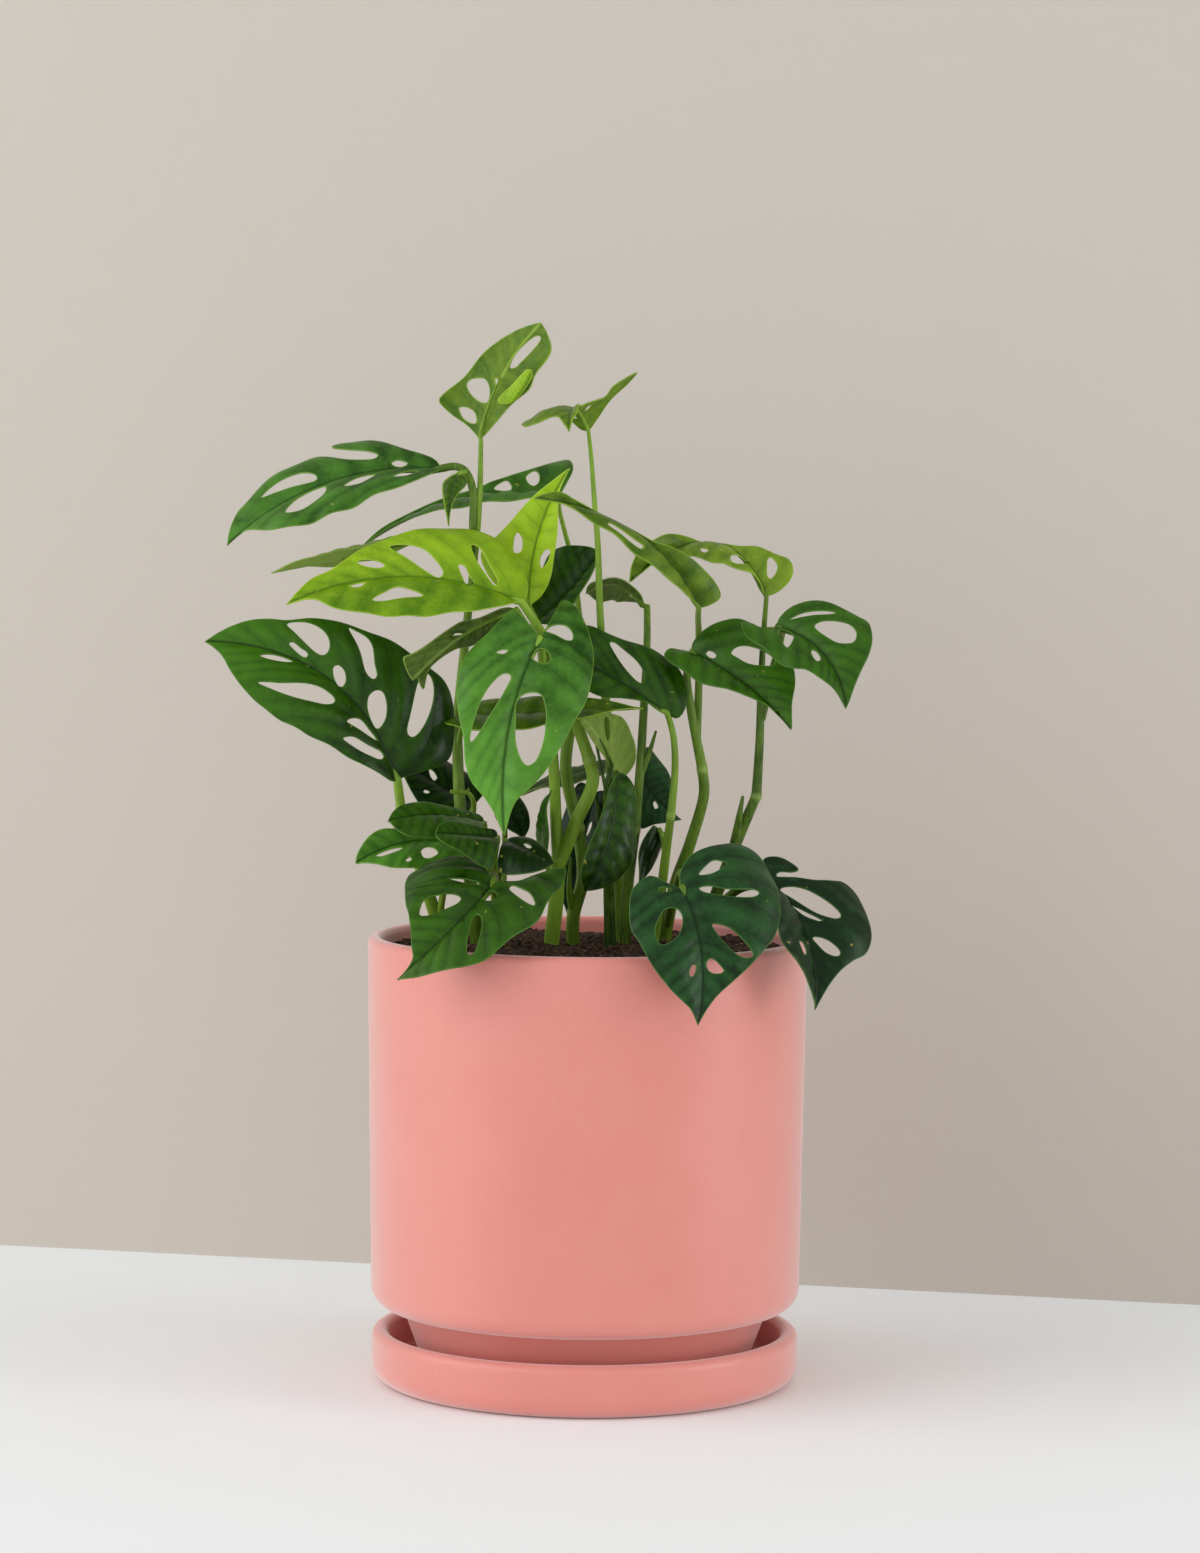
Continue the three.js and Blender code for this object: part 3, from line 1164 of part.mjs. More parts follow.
      holes: [[[86.2, 179.5], [87.7, 179], [89, 176], [88.7, 174], [87.7, 175]]],
    },
    left: {
      edge: [115, 181, -46],
      at: 0.42,
      margin: [
        [71.5, 207.5], [71.5, 213], [76.5, 214.1], [81.5, 212.5], [85.8, 209], [83, 207.8], [78, 207.9],
        [77, 206], [85, 205.6], [92, 204.5], [99, 204.1], [104, 203.3], [109, 199.5], [112, 194.3],
        [114, 188], [115.3, 180.5], [113.3, 174.7], [108, 171.5], [103, 167.5], [99, 162.5], [95.7, 157],
      ],
      holes: [
        [
          [78.5, 200.6], [82, 201.9], [88, 201], [94, 198.2], [100, 194.2], [102.8, 191], [102.6, 189.2],
          [99.5, 189], [93, 191.2], [86, 195.4],
        ],
        [[81, 194.2], [84.5, 193.7], [90, 190.9], [95.5, 188], [94, 187.8], [88, 190.2]],
        [
          [91.6, 180.8], [94, 181.2], [98, 179.8], [101.8, 176.8], [102.9, 174.9], [102, 173.6],
          [99.5, 173.8], [96, 175.8],
        ],
      ],
    },
  },
  leaf_dark_right_back: {
    green: "blue",
    rib: [[21, 247, 28], [28, 238, 26], [38, 229.5, 22]],
    right: {
      edge: [24, 228, 22],
      margin: [
        [20.3, 240], [20.5, 232], [21.5, 225.8], [27, 227.3], [33, 228.2],
      ],
      holes: [[[26.5, 236], [27.2, 237], [28.2, 235.8], [28.5, 234], [27.3, 233.6]]],
    },
    left: {
      edge: [34, 246, 32],
      margin: [
        [21.8, 255], [24.2, 258.8], [28, 255], [32, 249.5], [34.2, 243], [34, 237], [35.3, 232.5],
      ],
    },
  },
  leaf_pale_under: {
    green: "pale",
    rib: [[9, 250, -2], [5, 261, -8], [-5, 273, -14]],
    right: { edge: [0, 262, -14], margin: [[7, 254], [2.5, 260.5], [-1, 266], [-4.2, 270.5]] },
    left: {
      edge: [17, 263, 2],
      margin: [
        [12, 249], [15.5, 247.6], [18.5, 252], [19.3, 258], [18, 264.5], [14.5, 270.5], [10, 272.3],
        [3, 273.3],
      ],
      holes: [[[6.3, 270.5], [8, 271], [9, 266], [8.8, 262.3], [7.8, 261.2], [6.8, 264.5]]],
    },
  },
  leaf_hidden_long: {
    green: "fresh",
    rib: [[-49, 271.3, 2], [-18, 272.5, -14], [22.5, 275, -16]],
    right: { edge: [-24, 266.5, -30], lobe: 0.03 },
    left: { edge: [-24, 279, -3], lobe: 0.03 },
  },
  leaf_dark_low_back: {
    green: "dark",
    rib: [[-46, 236, 26], [-61, 244, 25], [-79, 256, 22]],
    right: {
      edge: [-57, 253, 34],
      lobe: 0.04,
      holes: [[[-64.7, 249.7], [-62.8, 249], [-61.3, 246.2], [-62.4, 245.4], [-64, 247.2]]],
    },
    left: {
      edge: [-68, 234, 17],
      lobe: 0.04,
      holes: [[[-67, 240.6], [-66, 241.5], [-64.3, 240.6], [-65.5, 240]]],
    },
  },
  leaf_edge_centre: {
    green: "pale",
    rib: [[8, 250, 36], [-8, 246.5, 40], [-27, 239.5, 42]],
    right: { edge: [-7, 249.5, 54], lobe: 0.02 },
    left: { edge: [-7, 243.5, 29], lobe: 0.02 },
  },
  leaf_dark_stems: {
    green: "blue",
    rib: [[3, 240, 32], [-3, 216, 34], [-8, 188, 30]],
    right: {
      edge: [-13, 219, 38],
      lobe: 0.05,
      holes: [[[-9.8, 214.5], [-9.3, 218.5], [-7.6, 219.9], [-7.3, 217], [-8.8, 214]]],
    },
    left: {
      edge: [7, 221, 30],
      lobe: 0.05,
      holes: [[[-1.8, 223], [-0.8, 226], [1.4, 228.7], [1.6, 226.5], [-0.2, 222.8]]],
    },
  },
  leaf_dark_fold_right: {
    green: "dark",
    rib: [[29.2, 225.5, 12], [24.5, 215, 9], [21, 202.5, 4]],
    right: { edge: [19.5, 214, 6], lobe: 0, full: 0 },
    left: { edge: [27.5, 213, 15], lobe: 0, full: 0 },
  },
  leaf_dark_round: {
    green: "dark",
    rib: [[-34, 239, 12], [-29, 230, 10], [-26, 221, 6]],
    right: { edge: [-37, 229, 8], lobe: 0.06 },
    left: { edge: [-23.7, 231, 14], lobe: 0.06 },
  },
  leaf_strip_centre: {
    green: "dark",
    rib: [[-18, 214, 6], [-18.3, 228, 2], [-15.2, 241.5, -2]],
    right: { edge: [-16, 226, -4], lobe: 0, full: 0 },
    left: { edge: [-20, 226, 12], lobe: 0, full: 0 },
  },
};

// The shoots. Each stem has a path of drawn places, and its radius at both ends. One with soil: true stands
// in the soil. One with a leaf ends at that leaf's base.

const SHOOTS = {
  shoot_left: [
    {
      soil: true, leaf: "leaf_left_large", from: 3.2, to: 1.8,
      path: [
        [-58, 178, 16], [-64, 196, 10], [-70, 215, 2], [-76, 233, -6],
      ],
    },
    { leaf: "leaf_low_left", from: 1.6, to: 1.2, path: [[-61, 186, 13], [-58, 203, 4], [-52, 215, -3]] },
  ],
  shoot_tall_left: [
    {
      soil: true, leaf: "leaf_crown", from: 3.2, to: 0.95,
      path: [
        [-45, 178, 18], [-48, 205, 13], [-52, 235, 9], [-53.3, 268, 10], [-49, 310, 4], [-45, 345, -6],
        [-43.8, 362, -7],
      ],
    },
    {
      leaf: "leaf_upper_left", from: 1.6, to: 1.6,
      path: [
        [-47, 330, -2], [-46.6, 350, -8], [-46.4, 361, -8], [-48, 368, -7], [-50.4, 371.5, -6],
        [-54.4, 372.7, -5],
      ],
    },
    { leaf: "leaf_small_hanging", from: 1.2, to: 1, path: [[-49.2, 369.8, -6.5], [-50.6, 370.4, -8.6]] },
    { leaf: "leaf_far_left", from: 1.4, to: 1, path: [
                                                       [-46.4, 333, -2.6], [-48.5, 338.5, 1],
                                                       [-53, 343.5, 6], [-61, 344.5, 10],
                                                     ] },
    { leaf: "leaf_hidden_long", from: 1.3, to: 1.1, path: [[-53, 256, 9.8], [-51.5, 266, 6]] },
    { leaf: "leaf_dark_low_back", from: 1.3, to: 1, path: [[-51, 228, 9], [-47.5, 233, 20]] },
    { from: 1.3, to: 0.8, path: [[-51, 226, 9], [-46.5, 233, 0], [-48.5, 240, -6], [-56, 240.8, -8]] },
  ],
  shoot_rim_left: [
    {
      soil: true, leaf: "leaf_rim_left", from: 2.6, to: 1.5,
      path: [
        [-36, 178, 14], [-37, 192, 4], [-38, 203, -20], [-38.5, 207, -40],
      ],
    },
    { leaf: "leaf_low_centre", from: 1.4, to: 1, path: [[-37.5, 199, -9], [-35.5, 212, -22]] },
    { leaf: "leaf_low_round", from: 1.4, to: 1, path: [[-37.8, 201, -14], [-38, 213, -28]] },
    { leaf: "leaf_low_left_top", from: 1.4, to: 1, path: [[-37, 192, 4], [-41, 213, -4]] },
    { leaf: "leaf_dark_round", from: 1.4, to: 1, path: [[-36.3, 184, 11], [-34, 210, 16]] },
  ],
  shoot_front: [
    { soil: true, from: 3.3, to: 3.1, path: [[-15, 178, 22], [-13, 196, 17], [-12, 214, 14]] },
    {
      leaf: "leaf_bright_left", from: 3.1, to: 1.7,
      path: [
        [-12, 211, 14.5], [-5, 228, 12], [2, 245, 11], [0.5, 254, 10], [-5, 270, 6], [-9, 281, -5],
        [-12.5, 290, -12], [-17.5, 303, -18],
      ],
    },
    {
      leaf: "leaf_front_main", from: 2.6, to: 1.6,
      path: [
        [-12, 211, 14.5], [-13, 228, 13], [-14, 252, 8], [-16.5, 278, 4], [-18.5, 294, -14],
      ],
    },
    { leaf: "leaf_strip_centre", from: 1.4, to: 1, path: [[-13, 203, 15.5], [-16, 209, 11]] },
  ],
  shoot_back: [
    {
      soil: true, from: 2.9, to: 2.4,
      path: [
        [-6, 178, 28], [-6, 190, 27], [-2, 206, 24], [-4, 226, 22], [-9, 250, 18], [-7, 269, 16],
      ],
    },
    { leaf: "leaf_bright_upright", from: 1.9, to: 1.4, path: [[-7, 266, 16], [-13, 292, 12]] },
    { leaf: "leaf_behind_middle", from: 1.6, to: 1.2, path: [[-7, 266, 16], [-13, 292, 18]] },
    { leaf: "leaf_left_folded", from: 1.5, to: 1.1, path: [[-11, 284, 13], [-21, 302, 5]] },
    {
      leaf: "leaf_back_left", from: 1.7, to: 0.85,
      path: [[-7.5, 270, 17], [-3, 300, 32], [-6.6, 335, 33], [-9.6, 347, 30], [-11.4, 354.6, 25]],
    },
    { from: 1.9, to: 0.5, path: [[-6, 191, 27], [-7.6, 201, 22], [-7, 214, 20]] },
  ],
  shoot_centre: [
    { soil: true, from: 2.6, to: 1.9, path: [[9, 179, 20], [8.5, 200, 17], [8, 225, 9], [8, 241, 1]] },
    { leaf: "leaf_pale_under", from: 1.5, to: 1.2, path: [[8, 237, 3], [8.3, 245, -1]] },
    { leaf: "leaf_hanging_dark", from: 1.5, to: 1.1, path: [[8, 237, 3], [9.5, 245, -5]] },
    { leaf: "leaf_dark_stems", from: 1.5, to: 1, path: [[8.5, 200, 17], [5, 220, 24], [4, 234, 30]] },
    { from: 0.9, to: 0.5, path: [[8, 238, 2], [5.5, 250, 4], [3, 262, 4]] },
  ],
  shoot_tall_centre: [
    {
      soil: true, leaf: "leaf_crown_edge", from: 2.9, to: 0.8,
      path: [
        [14, 179, 32], [13, 200, 30], [10, 240, 22], [6.4, 290, 11], [5, 312, 8], [3.9, 343, 4],
        [2.6, 359.4, 4], [1.4, 375.6, 7],
      ],
    },
    { leaf: "leaf_edge_centre", from: 1.3, to: 1, path: [[10.4, 234, 23], [10, 244, 31]] },
  ],
  shoot_middle: [
    {
      soil: true, leaf: "leaf_under_grey", from: 2.5, to: 1.4,
      path: [
        [15.2, 178, 22], [16.2, 200, 19], [19.2, 225, 15], [21.2, 250, 12], [22.7, 275, 14],
        [24, 302, 24],
      ],
    },
    { leaf: "leaf_dark_right_back", from: 1.3, to: 1, path: [[20.2, 238, 13.5], [20.6, 244, 21]] },
    { from: 1.7, to: 0.5, path: [[21, 247, 12.5], [24.7, 256, 11], [27.7, 265.5, 10]] },
  ],
  shoot_right_middle: [
    {
      soil: true, leaf: "leaf_dark_centre", from: 2.5, to: 1.2,
      path: [
        [26.8, 180, 18], [29.8, 200, 11], [32.3, 220, 4], [33.8, 231, 1], [35.4, 250, -1], [34.9, 262, -3],
        [33.4, 269, -5],
      ],
    },
    { leaf: "leaf_dark_fold_right", from: 1.3, to: 1, path: [[31.3, 212, 7], [30.8, 220, 11]] },
  ],
  shoot_right: [
    {
      soil: true, leaf: "leaf_right_middle", from: 3.2, to: 1.5,
      path: [
        [30.7, 179, 30], [35.7, 203, 22], [41.7, 220, 16], [47.2, 240, 10], [46.5, 250, 8],
        [41.7, 275, 3], [40.2, 288, 0],
      ],
    },
    {
      leaf: "leaf_centre_right", from: 1.8, to: 1.1,
      path: [
        [44.2, 262, 5.5], [45, 285, 9], [45, 304, 8], [44.7, 312, -6],
      ],
    },
    {
      leaf: "leaf_rim_right", from: 2, to: 1.5,
      path: [
        [32.2, 186, 28], [35.2, 198, 8], [37.5, 207, -20], [38.6, 206.5, -48], [38.6, 205, -66],
      ],
    },
  ],
  shoot_far_right: [
    {
      soil: true, leaf: "leaf_pale_right", from: 3.2, to: 0.95,
      path: [
        [45, 178, 32], [52, 198, 26], [60, 219, 19], [68.5, 239, 14], [69.8, 262, 11], [70.2, 280, 10],
        [71, 300, 8],
      ],
    },
    {
      leaf: "leaf_right_front", from: 1.7, to: 1.3,
      path: [
        [70.5, 270, 10.5], [75, 290, 12], [78.5, 304, 4], [78.5, 308.5, -8],
      ],
    },
    {
      leaf: "leaf_rim_far_right", from: 2, to: 1.4,
      path: [
        [49, 189, 28.5], [60, 200, 10], [70, 203, -12], [75, 204.5, -30],
      ],
    },
    { from: 2.6, to: 0.6, path: [[60, 219, 19], [61.5, 230, 14], [63, 239, 13]] },
  ],
};

// Assembly

const plant = new THREE.Group();

function add(name, geometry, finish) {
  const mesh = new THREE.Mesh(geometry, finish);
  mesh.name = name;
  plant.add(mesh);
}

const leaves = Object.fromEntries(Object.entries(LEAVES).map(([name, spec]) => [name, new Leaf(spec)]));
for (const [name, leaf] of Object.entries(leaves)) {
  add(name, geometryOf(bladeSolid(leaf, BLADE)), material(GREENS[LEAVES[name].green], 0.45));
}

for (const [name, stems] of Object.entries(SHOOTS)) {
  const shoot = stems.map((stem) => makeStem(stem, leaves)).reduce((a, b) => a.add(b));
  add(name, geometryOf(shoot), material(0x6f9a33, 0.5));
}

add("soil", geometryOf(makeSoil(Object.values(SHOOTS).flatMap(soilHoles))), material(0x33241a, 0.95));
add("pot", geometryOf(solidOf(makePot())), material(0xe9968c, 0.35));
add("saucer", geometryOf(solidOf(makeSaucer())), material(0xe9968c, 0.35));

export default plant;
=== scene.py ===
import math

import bpy
import numpy as np
from mathutils import Matrix, Vector
from mathutils.geometry import delaunay_2d_cdt


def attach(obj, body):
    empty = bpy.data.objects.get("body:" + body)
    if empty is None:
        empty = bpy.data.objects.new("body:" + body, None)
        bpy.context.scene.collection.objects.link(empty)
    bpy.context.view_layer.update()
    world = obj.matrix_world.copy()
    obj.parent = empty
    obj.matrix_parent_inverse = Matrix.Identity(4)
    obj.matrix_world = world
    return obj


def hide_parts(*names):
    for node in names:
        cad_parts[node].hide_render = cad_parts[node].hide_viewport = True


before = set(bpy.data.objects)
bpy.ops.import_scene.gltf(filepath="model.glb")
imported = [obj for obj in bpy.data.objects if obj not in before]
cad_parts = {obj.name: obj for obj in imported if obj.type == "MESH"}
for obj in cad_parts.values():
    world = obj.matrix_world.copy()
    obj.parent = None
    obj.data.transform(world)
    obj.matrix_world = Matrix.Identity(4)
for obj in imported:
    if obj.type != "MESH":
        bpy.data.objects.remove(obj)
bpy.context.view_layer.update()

MM = 0.001

# The drawing: a place is [across, up, depth] in mm, as seen from EYE on an upright sheet that leans to one
# side by SHEET_LEAN radians about its middle, and how far behind that sheet it lies.
EYE = (4.4, -1751.0, 354.0)
SHEET_MIDDLE = (4.9, 247.0)
SHEET_LEAN = 0.0085

# Camera: the photograph's viewing angle. Lens and sensor are in mm, and the clip in metres.
CAMERA_PITCH = math.radians(3.5)
LENS = 100.0
SENSOR = 36.0
CLIP_END = 20.0

# Pot and saucer in mm, as in the solids
POT_RADIUS = 89.5
POT_TOP = 182.0
POT_DRAFT = 2.0
WALL = 6.0
BODY_BOTTOM = 31.0
BODY_ROUNDING = 8.0
FOOT_TOP_RADIUS = 75.0
FOOT_RADIUS = 66.5
FLOOR_THICKNESS = 8.0
DRAIN_RADIUS = 6.0
SAUCER_RADIUS = 87.0
SAUCER_HEIGHT = 21.5
SAUCER_BASE_RADIUS = 79.0
SAUCER_RIM = 7.0
SAUCER_FLOOR = 6.0
GAP = 0.3
ROUND_SIDES = 144

# Their roundings and other small measures in mm, and how many cuts a lip and a rounding have
FOOT_EDGE = 1.5
FOOT_NECK = 2.2
NECK_OUT = 1.6
FOOT_SLANT_TOP = (1.2, 3.4)
DRAFT_RISE = 133.0
DRAFT_POINTS = (0.02, 0.25, 0.5, 0.75)
INSIDE_BEND = (0.3, 12.0)
SAUCER_ROUNDING = 8.0
CHANNEL_ROUNDING = 4.0
BASE_HOLLOW = 0.9
BASE_RING = (7.0, 5.5, 1.5)
LIP_CUTS = 16
ROUNDING_CUTS = 12

# Soil in mm: its top, its straight edge, and how far it and its stems reach
SOIL_TOP = 175.5
SOIL_RELIEF = 1.1
SOIL_RADIUS = POT_RADIUS - WALL - GAP
STEM_DEPTH = 12.0
SOIL_EDGE = 4.0
SOIL_CLEAR = 1.0
SOIL_STEP = 2.2
STREWN_STEP = 4.0

# Blades in mm: thickness, and the radius that a lobe behind the base curls on
BLADE = 0.5
LOBE_CURL = 80.0
RIB_CUTS = 200

# The search for a drawn point's place on the blade. It starts at a share of the half's width, and takes
# damped steps by slopes that it probes in mm. OUT bounds it, in mm and as a share of the width.
USUAL_START = 0.6
FOLD_START = 0.2
SEARCH_STEPS = 30
STEP_DAMPING = 0.01
PROBE = 0.1
OUT_LEAST = 0.25
OUT_MOST = 1.4

# Blade meshes in mm: how far points lie apart along margins, round holes, inside and in its rows, and how
# far they stay off the cut edges and, as a share of that, off the midrib
MARGIN_STEP = 1.3
HOLE_STEP = 1.0
INNER_STEP = 1.9
ROW_STEP = 0.866 * INNER_STEP
EDGE_BAND = 0.5
INNER_CLEAR = 1.25
BAND_CLEAR = 0.425
RIB_SHARE = 0.45
LEAST_RIB_CUTS = 6

# What counts as nothing: between two points in one place, from a point to its midrib, and as a length, a
# square and a course
SAME_PLACE = 1e-5
ON_RIB = 1e-4
TINY = 1e-6
TINY_SQUARE = 1e-12
TINY_COURSE = 1e-9

# Blade relief in mm: fields that swell off the midrib and the margin, a sunk midrib and a waved margin
QUILT_RISE = 0.9
QUILT_START = 5.0
QUILT_END = 4.0
RIB_SINK = 0.5
RIB_FLANK = 1.3
MARGIN_WAVE = 0.8
WAVE_LENGTH = 21.0
FULL_WAVE_WIDTH = 20.0

# The right half's own shade sets in over this many mm from the midrib
HALF_SHADE_WIDTH = 8.0

# Veins: how far a lateral vein runs forward for each mm outwards, at the base and more towards the tip
VEIN_LEAN_BASE = -0.2
VEIN_LEAN_MORE = 1.0
VEIN_BEND = 0.3
VEIN_PITCH = 0.115
VEIN_CLEAR = 0.012
FIRST_VEIN = -0.3
LAST_VEIN = 0.98

# A hole tells how the veins lean if it is this long for its width and runs this much outwards. How much
# more they lean towards the tip stays between limits. Holes whose spans overlap by this share lie in one
# field.
LONG_HOLE = 1.3
OUTWARD_HOLE = 0.25
MORE_LIMITS = (-0.5, 2.2)
FIELD_OVERLAP = 0.3

# Stems in mm
TUBE_STEP = 1.0
TUBE_SIDES = 12
JOINT_SWELL = 0.16
JOINT_LENGTH = 1.3
MIDRIB_REACH = 0.5
LEAST_MIDRIB_CUTS = 4
MIDRIB_END = 0.3
MIDRIB_TAPER = 0.6
MIDRIB_DIVE = 9

